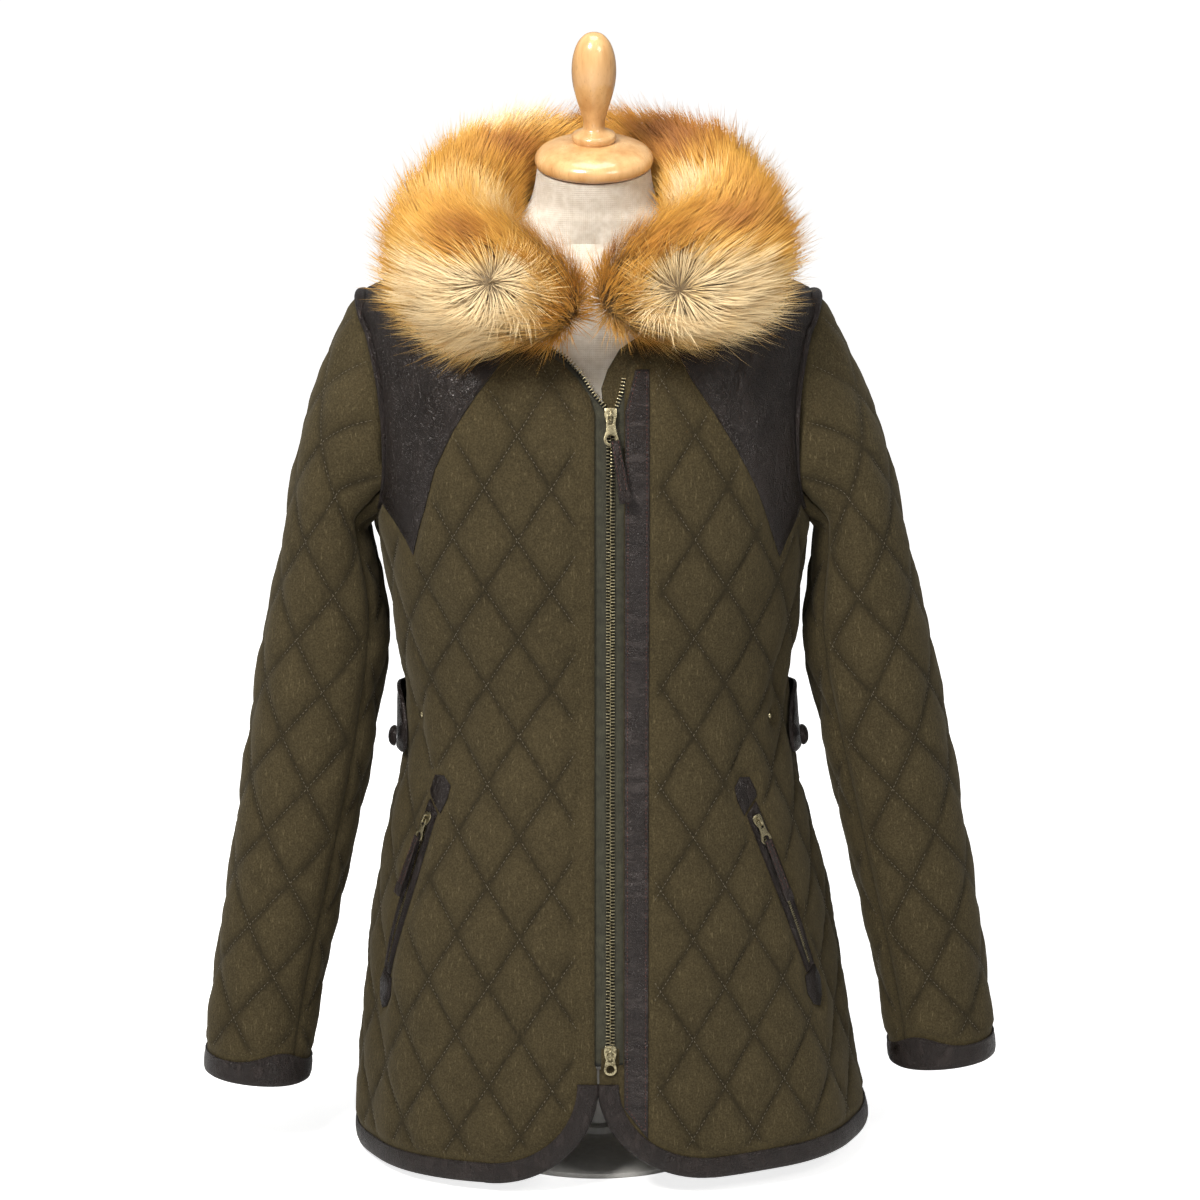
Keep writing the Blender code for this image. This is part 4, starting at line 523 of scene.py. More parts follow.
seamAngle = math.pi / 2


hemShape = {"binding": 0.0155, "cornerEdge": {-1: -0.0105, 1: -0.0088}, "cornerTop": 0.0950,
    "cornerReach": 0.0900, "cornerPoints": 28, "hemPoints": 70}


coat = {"gap": 0.0003, "cloth": 0.0022, "leather": 0.0012}
leatherTop = coat["cloth"] + coat["gap"] + coat["leather"]


# The front's rounded corner and hem, from its top to the side seam
def bottomEdge(side, raiseBy=0.0):
    start, sign = hemShape["cornerEdge"][side] + side * raiseBy, side
    low = hemLevel(side * 0.10) + raiseBy
    centre = (start + sign * (hemShape["cornerReach"] - raiseBy), hemShape["cornerTop"])
    height = hemShape["cornerTop"] - low
    row = [(centre[0] - sign * (hemShape["cornerReach"] - raiseBy) * math.cos(t),
        centre[1] - height * math.sin(t))
        for t in np.linspace(0, math.pi / 2, hemShape["cornerPoints"])]
    seam = float(body.flat(side * seamAngle, hemLevel(side * 0.21) + raiseBy)[0])
    end = seam - side * (0.0010 if raiseBy else coat["gap"] / 2)
    across = np.linspace(row[-1][0], end, hemShape["hemPoints"])[1:]
    angle, _ = body.locate(across, np.full(across.shape, 0.02))
    x = bodyPoint(angle, np.full(angle.shape, 0.02))[:, 0]
    return row + list(zip(across.tolist(), (hemLevel(x) + raiseBy).tolist()))


frontShape = {
    "edge": {-1: -0.0125, 1: 0.0105}, "studs": {-1: (-0.1400, 0.3775), 1: (0.1368, 0.3775)},
    "quiltAcross": {-1: -0.0200, 1: 0.0138},
    "neckline": {
        # the wool's edge above the slider, as x and z in the front view
        -1: ((-0.0023, 0.6340), (-0.0060, 0.6465), (-0.0155, 0.6600), (-0.0275, 0.6710),
            (-0.0400, 0.6785), (-0.0530, 0.6850), (-0.0630, 0.6970), (-0.0680, 0.7120),
            (-0.0705, 0.7300), (-0.0725, 0.7480)),
        1: ((0.0209, 0.6420), (0.0215, 0.6560), (0.0235, 0.6680), (0.0320, 0.6800),
            (0.0450, 0.6880), (0.0550, 0.6975), (0.0615, 0.7120), (0.0645, 0.7300),
            (0.0665, 0.7480)),
    },
}


def frontOutline(side):
    seam = side * seamAngle
    trim = side * coat["gap"] / 2
    _, _, _, moved = armholeLines(side)
    hem = bottomEdge(side)
    rows = list(hem[:-1])
    low = hem[-1][1]
    bottomLevel = moved[np.argmin(moved[:, 1]), 1]
    rows += [(a - trim, u) for a, u in seamLine(body, seam, low, bottomLevel)]
    front = [(a, l) for a, l in moved if abs(a) < seamAngle - 1e-3]
    front.sort(key=lambda row: row[1])
    rows += [tuple(float(v) for v in body.flat(a, l)) for a, l in front]
    topLevel = moved[np.argmax(moved[:, 1]), 1]
    rows += [(a - trim, u) for a, u in seamLine(body, seam, topLevel, bodyShape["neck"] - 0.006, 0.014)]
    neck = seen(*frontShape["neckline"][side])[::-1]
    rows += resample(neck, 0.012)
    edge = frontShape["edge"][side]
    rows += resample([(edge, zipSizes["top"]), (edge, hemShape["cornerTop"] + 0.016)], 0.016 * 1.6)
    rows += [(hemShape["cornerEdge"][side], hemShape["cornerTop"] + 0.012)]
    return rows if side > 0 else rows[::-1]


# The leather shoulder patch's front, from its tip up to the neckline and the armhole
def patchFront(side):
    tip = {-1: (-0.1440, 0.5170), 1: (0.1425, 0.5140)}[side]
    edge = {-1: ((-0.1390, 0.5400), (-0.1343, 0.5560), (-0.1262, 0.5880), (-0.1118, 0.6190),
        (-0.0950, 0.6450), (-0.0801, 0.6640), (-0.0700, 0.6800), (-0.0640, 0.6940)),
        1: ((0.1385, 0.5270), (0.1345, 0.5400), (0.1240, 0.5720), (0.1080, 0.6040),
            (0.0890, 0.6350), (0.0724, 0.6590), (0.0640, 0.6760), (0.0590, 0.6900))}[side]
    low = {-1: ((-0.1500, 0.5290), (-0.1590, 0.5420)), 1: ((0.1490, 0.5290), (0.1560, 0.5420))}[side]
    _, _, _, moved = armholeLines(side)
    inset = 0.0008
    front = sorted(((a, l) for a, l in moved if abs(a) < seamAngle - 1e-3 and l > 0.553),
        key=lambda row: row[1])
    arm = [tuple(float(v) for v in body.flat(a - side * 0.006, l)) for a, l in front]
    topLevel = moved[np.argmax(moved[:, 1]), 1] + inset
    shoulder = [(a - side * 0.0012, u)
        for a, u in seamLine(body, side * seamAngle, topLevel, bodyShape["neck"] - 0.008, 0.014)]
    neck = [(a + side * 0.0012, u) for a, u in
        resample(seen(*[p for p in frontShape["neckline"][side] if p[1] > 0.70])[::-1], 0.012)]
    return seen(tip) + seen(*low) + arm + shoulder + neck + seen(*edge)[::-1]


# The pocket's slanting line, top to bottom, in flat coordinates
def pocketLine(side):
    ends = {-1: ((-0.1285, 0.3130), (-0.1700, 0.1550)), 1: ((0.1205, 0.3130), (0.1730, 0.1620))}[side]
    return [np.array(p) for p in seen(*ends)]


# Flat points given as (distance down the pocket, distance to its side)
def alongPocket(side, places):
    top, bottom = pocketLine(side)
    down = (bottom - top) / np.linalg.norm(bottom - top)
    out = np.array([down[1], -down[0]]) * -side
    return [tuple(top + down * d + out * o) for d, o in places]


pocketLength = {side: float(np.linalg.norm(np.subtract(*pocketLine(side)))) for side in (-1, 1)}


def pocketOutlines(side):
    length = pocketLength[side]
    upper = alongPocket(side, [(0.006, -0.0085), (-0.008, -0.0100), (-0.019, -0.0085), (-0.0235, 0.0),
        (-0.019, 0.0085), (-0.006, 0.0095), (-0.002, 0.0085)])
    welt = alongPocket(side, [(0.0075, -0.0060), (0.0015, 0.0060), (length * 0.35, 0.0066),
        (length * 0.7, 0.0062), (length - 0.010, 0.0050),
        (length - 0.010, -0.0050), (length * 0.7, -0.0062),
        (length * 0.35, -0.0066)])
    lower = alongPocket(side, [(length - 0.0085, -0.0080), (length - 0.0085, 0.0080),
        (length + 0.006, 0.0115), (length + 0.020, 0.0060),
        (length + 0.0255, -0.0010), (length + 0.018, -0.0085),
        (length + 0.006, -0.0115)])
    return {"pocket_top_patch": upper, "pocket_welt": welt, "pocket_end_patch": lower}


# From the top of the front down to the binding, narrower at its top
def placketOutline():
    left, right = 0.0112, 0.0302
    binding = np.array(bottomEdge(1, hemShape["binding"] + 0.0006)[:hemShape["cornerPoints"]])
    lowLeft, lowRight = (float(np.interp(a, binding[:, 0], binding[:, 1])) for a in (left, right))
    rise = np.linspace(0, 1, 20)
    inner = [(left + 0.0085 * float(smooth((z - 0.640) / 0.03)), z)
        for z in lowLeft + (0.666 - lowLeft) * rise]
    outer = [(right, z) for z in lowRight + (0.666 - lowRight) * rise]
    return inner[::-1] + outer


# An angle of the body as the back counts it, from 0 to a full turn
def backAngle(angle):
    return np.asarray(angle) % (2 * math.pi)


# The back's hem from the left side seam to the right one
def backHem(raiseBy=0.0, inset=0.0):
    seams = [float(bodyBack.flat(a, hemLevel(x) + raiseBy)[0])
        for a, x in ((math.pi / 2, 0.223), (3 * math.pi / 2, -0.199))]
    acrosses = np.linspace(seams[0] + inset, seams[1] - inset, 120)
    angles, _ = bodyBack.locate(acrosses, np.full(acrosses.shape, 0.02))
    x = bodyPoint(angles, np.full(angles.shape, 0.02))[:, 0]
    return list(zip(acrosses.tolist(), (hemLevel(x) + raiseBy).tolist()))


backNeck = bodyShape["neck"] - 0.006


# Side seam, armhole and shoulder of the back, from the hem to the neck
def backSide(side):
    seam = math.pi / 2 if side > 0 else 3 * math.pi / 2
    trim = coat["gap"] / 2 if side > 0 else -coat["gap"] / 2
    _, _, _, moved = armholeLines(side)
    low, high = moved[np.argmin(moved[:, 1]), 1], moved[np.argmax(moved[:, 1]), 1]
    hem = backHem()[0 if side > 0 else -1][1]
    rows = [(a + trim, u) for a, u in seamLine(bodyBack, seam, hem, low)]
    arm = sorted(((a, l) for a, l in moved if abs(a) > seamAngle + 1e-3), key=lambda row: row[1])
    rows += [tuple(float(v) for v in bodyBack.flat(backAngle(a), l)) for a, l in arm]
    rows += [(a + trim, u) for a, u in seamLine(bodyBack, seam, high, backNeck, 0.014)]
    return rows


# The back half of a shoulder patch, cut like its front half
def patchBack(side):
    places = ((0.1330, 0.5600), (0.1440, 0.5560), (0.1500, 0.5640), (0.1560, 0.5740))
    edge = ((0.1250, 0.5900), (0.1120, 0.6230), (0.0940, 0.6560), (0.0740, 0.6860), (0.0560, 0.7120))
    angles = np.radians(np.linspace(90, 180, 181))

    def behind(x, level):
        points = bodyPoint(angles, np.full(angles.shape, level))
        mid = curve(bodyShape["rings"], 1, level)
        angle = np.interp(-x, -(points[:, 0] - mid), angles)
        return tuple(float(v) for v in bodyBack.flat(backAngle(angle * side), level))

    _, _, _, moved = armholeLines(side)
    arm = sorted(((a, l) for a, l in moved if abs(a) > seamAngle + 1e-3 and l > 0.585),
        key=lambda row: row[1])
    arm = [tuple(float(v) for v in bodyBack.flat(backAngle(a + side * 0.006), l)) for a, l in arm]
    topLevel = moved[np.argmax(moved[:, 1]), 1] + 0.0008
    seam = math.pi / 2 if side > 0 else 3 * math.pi / 2
    trim = 0.0012 if side > 0 else -0.0012
    shoulder = [(a + trim, u)
        for a, u in seamLine(bodyBack, seam, topLevel, backNeck - 0.0010, 0.014)]
    inner = [behind(x, z) for x, z in edge]
    neck = resample([shoulder[-1], (inner[-1][0], backNeck - 0.0010)], 0.012)[1:]
    return [behind(x, z) for x, z in places] + arm + shoulder + neck + inner[::-1]


def cuffTurns(start, end):
    return np.linspace(start, end, max(4, int(round((end - start) * 12.0)) + 1))


cuffShape = {"cut": {-1: 0.0020, 1: 0.0165}, "band": 0.0165, "peak": 0.0110}


# Height of the cuff's leather, which rises to a soft peak at the front seam
def cuffBand(side, turn):
    turn = np.asarray(turn) * side - sleeveShape["frontSeam"] - math.radians(18)
    turn = (turn + math.pi) % (2 * math.pi) - math.pi
    return cuffShape["band"] + cuffShape["peak"] * np.exp(-(turn / math.radians(30)) ** 2)


# A seam's points. It slants near the armhole, so the gap is cut wider there
def sleeveSeam(sleeve, turn, cut, inward):
    row = (seamLine(sleeve, turn, cut, sleeveTop - 0.030)
        + seamLine(sleeve, turn, sleeveTop - 0.020, sleeveTop, 0.010))
    end = row[-1][1]
    return [(a + inward * coat["gap"] / 2 * (1 + 7 * float(smooth((u - end + 0.07) / 0.04))), u)
        for a, u in row]


def sleeveOutline(side, start, end):
    sleeve, cut = sleeves[side], cuffShape["cut"][side]
    turns = cuffTurns(start, end)
    trim = coat["gap"] / 2
    low = [tuple(float(v) for v in sleeve.flat(t, cut)) for t in turns]
    low[0], low[-1] = (low[0][0] + trim, low[0][1]), (low[-1][0] - trim, low[-1][1])
    right = sleeveSeam(sleeve, end, cut, -1)[1:]
    tops = [t for base in (-2 * math.pi, 0, 2 * math.pi) for t in armholeTurns + base
        if start + 0.05 < t < end - 0.05]
    high = [tuple(float(v) for v in sleeve.flat(t, sleeveTop)) for t in sorted(tops, reverse=True)]
    left = sleeveSeam(sleeve, start, cut, 1)[::-1]
    return low + right + high + left[:-1]


# The part of a sleeve piece that the cuff's leather lies on
def sleeveBand(side, start, end):
    sleeve, cut, inset = sleeves[side], cuffShape["cut"][side], 0.02
    turns = cuffTurns(start, end)
    turns[0], turns[-1] = turns[0] + inset, turns[-1] - inset
    low = [tuple(float(v) for v in sleeve.flat(t, cut + 0.0012)) for t in turns]
    high = [tuple(float(v) for v in sleeve.flat(t, cut + cuffBand(side, t) + 0.0015)) for t in turns]
    return low + high[::-1]


def formSection(level, inset, frontInset, count=72):
    turns = np.linspace(0, 2 * math.pi, count + 1)[:-1]
    mid, half, front, back = (float(curve(bodyShape["rings"], c, level)) for c in range(1, 5))
    square = float(curve(bodyShape["rings"], 5, level))
    sine, cosine = np.sin(turns), np.cos(turns)
    half = min(half - inset, 0.1680)
    depth = np.where(cosine > 0, front - inset - frontInset, back - inset)
    low = level - 0.0044 * float(smooth((level - 0.685) / 0.024))
    return np.stack([mid + half * sine * (1 + square * cosine**2),
        -depth * cosine * (1 + square * sine**2), np.full(count, low)], axis=-1)


formShape = {
    "lean": math.radians(13), "bottom": 0.1750, "pole": 0.0120,
    "neck": (
        # level, mid_y, half_width, front, back
        (0.7760, 0.000, 0.0600, 0.0500, 0.0530),
        (0.7880, -0.004, 0.0510, 0.0470, 0.0480),
        (0.8020, -0.009, 0.0470, 0.0450, 0.0450),
        (0.8160, -0.014, 0.0450, 0.0435, 0.0435),
    ),
    "cap": (
        # radius, height
        (0.0435, 0.0000), (0.0462, 0.0018), (0.0472, 0.0050), (0.0468, 0.0085), (0.0440, 0.0125),
        (0.0370, 0.0165), (0.0270, 0.0195), (0.0190, 0.0208), (0.0000, 0.0208),
    ),
    "finial": (
        # radius, height
        (0.0165, 0.0000), (0.0176, 0.0020), (0.0174, 0.0055), (0.0135, 0.0078), (0.0092, 0.0105),
        (0.0085, 0.0150), (0.0102, 0.0230), (0.0142, 0.0360), (0.0172, 0.0500), (0.0176, 0.0600),
        (0.0160, 0.0720), (0.0118, 0.0820), (0.0060, 0.0875), (0.0000, 0.0888),
    ),
    "base": (
        # radius, height
        (0.1050, 0.0000), (0.1060, 0.0012), (0.1060, 0.0042), (0.1035, 0.0058), (0.0300, 0.0064),
        (0.0240, 0.0090), (0.0225, 0.0140), (0.0000, 0.0140),
    ),
}


def neckSection(level, midY, half, front, back, count=72):
    turns = np.linspace(0, 2 * math.pi, count + 1)[:-1]
    depth = np.where(np.cos(turns) > 0, front, back)
    x, y = -0.003 + half * np.sin(turns), midY - depth * np.cos(turns)
    lean = float(smooth((level - 0.770) / 0.040)) * math.tan(formShape["lean"])
    return np.stack([x, y, level + (y - midY) * lean], axis=-1)


furShape = {
    "seat": leatherTop + 0.0016,
    "roll": (
        # x, y, z, half_across, half_high
        (0.0200, -0.118, 0.7220, 0.0100, 0.0100),
        (0.0260, -0.122, 0.7260, 0.0420, 0.0430),
        (0.0450, -0.123, 0.7330, 0.0600, 0.0610),
        (0.0750, -0.114, 0.7390, 0.0700, 0.0700),
        (0.0980, -0.088, 0.7460, 0.0720, 0.0700),
        (0.1060, -0.052, 0.7600, 0.0660, 0.0640),
        (0.1010, -0.015, 0.7780, 0.0600, 0.0600),
        (0.0860, 0.025, 0.7930, 0.0560, 0.0580),
        (0.0600, 0.062, 0.8010, 0.0560, 0.0580),
        (0.0300, 0.082, 0.8030, 0.0560, 0.0570),
        (0.0000, 0.089, 0.8020, 0.0560, 0.0560),
    ),
}


# What the fur lies on: the shoulders with their leather, and the form's neck
def furSeat():
    rows = []
    turns = np.linspace(0, 2 * math.pi, 97)[:-1]
    for level in np.concatenate([np.linspace(0.560, 0.690, 10), [0.700, 0.7085, 0.716, 0.727, 0.740,
            0.752, 0.764]]):
        rows.append(body.lift(turns - math.pi, np.full(turns.shape, level), furShape["seat"]))
    for level, midY, half, front, back in formShape["neck"]:
        rows.append(neckSection(level, midY, half + 0.004, front + 0.004, back + 0.004, 96))
        rows[-1] = np.roll(rows[-1], 48, axis=0)
    top = rows[-1].copy()
    top[:, 2] += 0.090
    rows.append(top)
    return rows


# A closed outline with points at most a step apart, its corners kept
def dense(outline, step):
    rows = resample(list(outline) + [outline[0]], step)
    return rows[:-1]


# Points a set distance inside an outline, in order, with None where the row breaks
def insetRow(outline, distance, step=0.003):
    points = np.array(dense(outline, step))
    along = unit(np.roll(points, -1, axis=0) - np.roll(points, 1, axis=0))
    across = np.column_stack([-along[:, 1], along[:, 0]])
    following = np.roll(points, -1, axis=0)
    turn = np.sign(np.sum(points[:, 0] * following[:, 1] - points[:, 1] * following[:, 0]))
    moved = points + across * turn * distance
    room = depthInside(moved, outline)
    return [tuple(p) if r > distance * 0.88 else None for p, r in zip(moved, room)]


# Slow waves with a fixed pattern, for cloth and leather that never lie quite smooth
def waves(points, length, seed):
    draw = np.random.default_rng(seed)
    total = np.zeros(len(points))
    for _ in range(9):
        way = unit(draw.normal(size=points.shape[1]))
        scale = 2 * math.pi / (length * draw.uniform(0.65, 1.7))
        total += np.sin(points @ way * scale + draw.uniform(0, 6.28))
    return total / 4.5


# Helpers for the shader and geometry nodes
def addNode(tree, kind, inputs=None, **settings):
    node = tree.nodes.new(kind)
    for name, value in settings.items():
        setattr(node, name, value)
    for key, value in (inputs or {}).items():
        if isinstance(value, bpy.types.NodeSocket):
            tree.links.new(value, node.inputs[key])
        else:
            node.inputs[key].default_value = value
    return node


# An empty node group: its tree, what comes in and what goes out
def startGroup(name, kind, inputs, outputs):
    tree = bpy.data.node_groups.new(name, kind)
    for where, rows in (("INPUT", inputs), ("OUTPUT", outputs)):
        for label, socket, *value in rows:
            made = tree.interface.new_socket(label, in_out=where, socket_type="NodeSocket" + socket)
            if value:
                made.default_value = value[0]
    return tree, addNode(tree, "NodeGroupInput").outputs, addNode(tree, "NodeGroupOutput").inputs


def maths(tree, operation, a, b=0.0):
    return addNode(tree, "ShaderNodeMath", {0: a, 1: b}, operation=operation).outputs[0]


def vectorMaths(tree, operation, a, b):
    return addNode(tree, "ShaderNodeVectorMath", {0: a, 1: b}, operation=operation).outputs[0]


def mapped(tree, vector, scale, turn=(0.0, 0.0, 0.0)):
    return addNode(tree, "ShaderNodeMapping",
        {"Vector": vector, "Rotation": turn, "Scale": scale}).outputs[0]


def attribute(tree, name):
    return addNode(tree, "ShaderNodeAttribute", attribute_name=name).outputs["Fac"]


# A random vector that reaches as far on each axis
def randomVector(tree, reach, seed):
    most = addNode(tree, "ShaderNodeCombineXYZ", {k: reach for k in "XYZ"}).outputs[0]
    least = vectorMaths(tree, "MULTIPLY", most, (-1.0, -1.0, -1.0))
    return addNode(tree, "FunctionNodeRandomValue", {0: least, 1: most, "Seed": seed},
        data_type="FLOAT_VECTOR").outputs[0]


def ranged(tree, value, low, high, to0=0.0, to1=1.0):
    return addNode(tree, "ShaderNodeMapRange", {"Value": value, "From Min": low, "From Max": high,
        "To Min": to0, "To Max": to1}).outputs["Result"]


def mixed(tree, share, a, b):
    node = addNode(tree, "ShaderNodeMix", {0: share}, data_type="RGBA")
    for key, value in ((6, a), (7, b)):
        if isinstance(value, bpy.types.NodeSocket):
            tree.links.new(value, node.inputs[key])
        else:
            node.inputs[key].default_value = (*value, 1.0)
    return node.outputs[2]


def noise(tree, vector, scale, detail=2.0, rough=0.5):
    return addNode(tree, "ShaderNodeTexNoise", {"Vector": vector, "Scale": scale, "Detail": detail,
        "Roughness": rough}).outputs["Fac"]


# Wool nap: fibres that lie three ways, lighter single fibres, and a slow change of tone
def makeWoolFibres():
    tree, given, made = startGroup("woolFibres", "ShaderNodeTree",
        [("Vector", "Vector"), ("Fibre Scale", "Float", 560.0), ("Patch Scale", "Float", 38.0)],
        [("Tone", "Float"), ("Light Fibres", "Float"), ("Height", "Float")])
    layers = []
    for turn in ((0.3, 0.0, 0.2), (1.2, 0.7, 0.0), (0.2, 1.4, 0.9)):
        lay = mapped(tree, given["Vector"], (1.0, 1.0, 0.20), turn)
        layers.append(noise(tree, lay, given["Fibre Scale"], 2.0, 0.6))
    top = maths(tree, "MAXIMUM", maths(tree, "MAXIMUM", layers[0], layers[1]), layers[2])
    slow = noise(tree, given["Vector"], given["Patch Scale"], 3.0, 0.6)
    speck = noise(tree, given["Vector"], maths(tree, "MULTIPLY", given["Fibre Scale"], 1.25), 2.0, 0.65)
    tone = maths(tree, "ADD", maths(tree, "MULTIPLY", slow, 0.20), maths(tree, "MULTIPLY", speck, 0.80))
    tree.links.new(ranged(tree, tone, 0.36, 0.64), made["Tone"])
    tree.links.new(ranged(tree, top, 0.63, 0.80), made["Light Fibres"])
    tree.links.new(top, made["Height"])
    return tree


# Leather: pebbled grain cells, fine creases between them, and rubbed high places
def makeLeatherGrain():
    tree, given, made = startGroup("leatherGrain", "ShaderNodeTree",
        [("Vector", "Vector"), ("Grain Scale", "Float", 620.0),
            ("Crease Scale", "Float", 70.0), ("Stretch", "Vector", (1.0, 1.0, 0.45))],
        [("Height", "Float"), ("Tone", "Float"), ("Rub", "Float")])
    drift = addNode(tree, "ShaderNodeTexNoise", {"Vector": given["Vector"], "Scale": 90.0, "Detail": 2.0})
    pull = vectorMaths(tree, "MULTIPLY", drift.outputs["Color"], (0.004, 0.004, 0.004))
    place = vectorMaths(tree, "ADD", given["Vector"], pull)
    cells = addNode(tree, "ShaderNodeTexVoronoi",
        {"Vector": place, "Scale": given["Grain Scale"]}, feature="DISTANCE_TO_EDGE")
    pebble = ranged(tree, cells.outputs["Distance"], 0.0, 0.16)
    lay = mapped(tree, place, given["Stretch"], (0.1, 0.3, 0.1))
    crease = noise(tree, lay, given["Crease Scale"], 5.0, 0.66)
    fold = maths(tree, "ABSOLUTE", maths(tree, "SUBTRACT", crease, 0.5))
    sharp = ranged(tree, fold, 0.0, 0.045)
    height = maths(tree, "ADD", maths(tree, "MULTIPLY", pebble, 0.16),
        maths(tree, "ADD", maths(tree, "MULTIPLY", sharp, 0.30), maths(tree, "MULTIPLY", crease, 1.6)))
    rub = noise(tree, given["Vector"], 26.0, 3.0, 0.55)
    tree.links.new(height, made["Height"])
    # Tone follows the crease height, so raised creases come out lighter: partly the leather's own
    # mottling, partly painted highlight on the ridges and painted shade in the hollows
    tree.links.new(ranged(tree, crease, 0.35, 0.65), made["Tone"])
    tree.links.new(ranged(tree, rub, 0.42, 0.66), made["Rub"])
    return tree


# Two crossing ribs, for tape and plain cloth
def makeWeave():
    tree, given, made = startGroup("plainWeave", "ShaderNodeTree",
        [("Vector", "Vector"), ("Thread Scale", "Float", 300.0)],
        [("Height", "Float"), ("Tone", "Float")])
    ribs = []
    for way in ("X", "Z"):
        wave = addNode(tree, "ShaderNodeTexWave",
            {"Vector": given["Vector"], "Scale": given["Thread Scale"],
                "Distortion": 0.6, "Detail": 1.0}, bands_direction=way)
        ribs.append(wave.outputs["Fac"])
    tone = noise(tree, given["Vector"], 160.0, 3.0, 0.6)
    tree.links.new(maths(tree, "MULTIPLY", maths(tree, "ADD", ribs[0], ribs[1]), 0.5), made["Height"])
    tree.links.new(ranged(tree, tone, 0.35, 0.65), made["Tone"])
    return tree


# Straight beech grain with short dark flecks
def makeWoodGrain():
    tree, given, made = startGroup("beechGrain", "ShaderNodeTree",
        [("Vector", "Vector"), ("Ring Scale", "Float", 60.0)],
        [("Rings", "Float"), ("Flecks", "Float"), ("Height", "Float")])
    rings = noise(tree, mapped(tree, given["Vector"], (1.0, 1.0, 0.16)), given["Ring Scale"], 4.0, 0.65)
    flecks = noise(tree, mapped(tree, given["Vector"], (1.0, 1.0, 0.10)), 850.0, 1.0)
    tree.links.new(ranged(tree, rings, 0.35, 0.65), made["Rings"])
    tree.links.new(ranged(tree, flecks, 0.66, 0.74), made["Flecks"])
    tree.links.new(rings, made["Height"])
    return tree


# Worn metal: dark in the hollows, brighter where fingers rub it
def makeMetalAge():
    tree, given, made = startGroup("metalAge", "ShaderNodeTree",
        [("Vector", "Vector"), ("Spot Scale", "Float", 420.0)],
        [("Tarnish", "Float"), ("Height", "Float")])
    spots = noise(tree, given["Vector"], given["Spot Scale"], 4.0, 0.7)
    tree.links.new(ranged(tree, spots, 0.42, 0.66), made["Tarnish"])
    tree.links.new(spots, made["Height"])
    return tree


woolFibres, leatherGrain, plainWeave = makeWoolFibres(), makeLeatherGrain(), makeWeave()
beechGrain, metalAge = makeWoodGrain(), makeMetalAge()


def startMaterial(name, values):
    material = bpy.data.materials.new(name)
    material.use_nodes = True
    tree = material.node_tree
    shader = tree.nodes["Principled BSDF"]
    for key, value in values.items():
        shader.inputs[key].default_value = value
    place = addNode(tree, "ShaderNodeTexCoord").outputs["Object"]
    return material, tree, shader, place


def useGroup(tree, group, place, **values):
    node = addNode(tree, "ShaderNodeGroup", node_tree=group)
    tree.links.new(place, node.inputs["Vector"])
    for key, value in values.items():
        node.inputs[key.replace("_", " ")].default_value = value
    return node


def bump(tree, shader, height, distance, strength=1.0):
    node = addNode(tree, "ShaderNodeBump", {"Height": height, "Distance": distance, "Strength": strength})
    tree.links.new(node.outputs[0], shader.inputs["Normal"])
    return node


def makeWool(name, dark, base, light):
    material, tree, shader, place = startMaterial(
        name, {"Roughness": 0.92, "Sheen Weight": 0.10, "Sheen Roughness": 0.45,
            "Specular IOR Level": 0.18, "Sheen Tint": (0.75, 0.66, 0.48, 1.0)})
    nap = useGroup(tree, woolFibres, place)
    colour = mixed(tree, nap.outputs["Tone"], dark, base)
    colour = mixed(tree, maths(tree, "MULTIPLY", nap.outputs["Light Fibres"], 0.62), colour, light)
    # Painted shade: the colour darkens towards a dim copy of the dark tone where the seam attribute marks
    # grooves and edges
    paintedGrooveShade = attribute(tree, "seam")
    colour = mixed(tree, maths(tree, "MULTIPLY", paintedGrooveShade, 0.72), colour, tuple(c * 0.45 for c in dark))
    tree.links.new(colour, shader.inputs["Base Color"])
    bump(tree, shader, nap.outputs["Height"], 0.0007, 0.8)
    return material


def makeLeather(name, dark, base, roughness, grain=620.0, crease=70.0, stretch=(1.0, 1.0, 0.45)):
    material, tree, shader, place = startMaterial(name,
        {"Specular IOR Level": 0.34, "Specular Tint": (1.0, 0.93, 0.90, 1.0)})
    skin = useGroup(tree, leatherGrain, place, Grain_Scale=grain, Crease_Scale=crease, Stretch=stretch)
    # Base colour between dark and base by the crease tone: painted highlight and shade of the creases,
    # along with the leather's own mottling
    tree.links.new(mixed(tree, skin.outputs["Tone"], dark, base), shader.inputs["Base Color"])
    tree.links.new(ranged(tree, skin.outputs["Rub"], 0.0, 1.0, roughness + 0.07, roughness - 0.05),
        shader.inputs["Roughness"])
    bump(tree, shader, skin.outputs["Height"], 0.0014, 1.0)
    return material


def makeThread(name, dark, light):
    material, tree, shader, place = startMaterial(name, {"Roughness": 0.75, "Sheen Weight": 0.2})
    twist = noise(tree, place, 900.0, 2.0)
    tree.links.new(mixed(tree, ranged(tree, twist, 0.35, 0.65), dark, light), shader.inputs["Base Color"])
    return material


def makeTape(name, dark, light):
    material, tree, shader, place = startMaterial(name, {"Roughness": 0.85, "Sheen Weight": 0.1})
    weave = useGroup(tree, plainWeave, place, Thread_Scale=260.0)
    # Painted shadow: the seam attribute darkens the tape near its edges, beside the teeth and where it
    # runs under the cloth
    paintedTeethShadow = attribute(tree, "seam")
    colour = mixed(tree, paintedTeethShadow, mixed(tree, weave.outputs["Tone"], dark, light),
        tuple(c * 0.22 for c in dark))
    tree.links.new(colour, shader.inputs["Base Color"])
    bump(tree, shader, weave.outputs["Height"], 0.0003, 0.8)
    return material


def makeBrass(name, dark, bright, roughness):
    material, tree, shader, place = startMaterial(name, {"Metallic": 1.0})
    age = useGroup(tree, metalAge, place)
    tree.links.new(mixed(tree, age.outputs["Tarnish"], bright, dark), shader.inputs["Base Color"])
    tree.links.new(ranged(tree, age.outputs["Tarnish"], 0.0, 1.0, roughness, roughness + 0.25),
        shader.inputs["Roughness"])
    bump(tree, shader, age.outputs["Height"], 0.0002, 0.3)
    return material


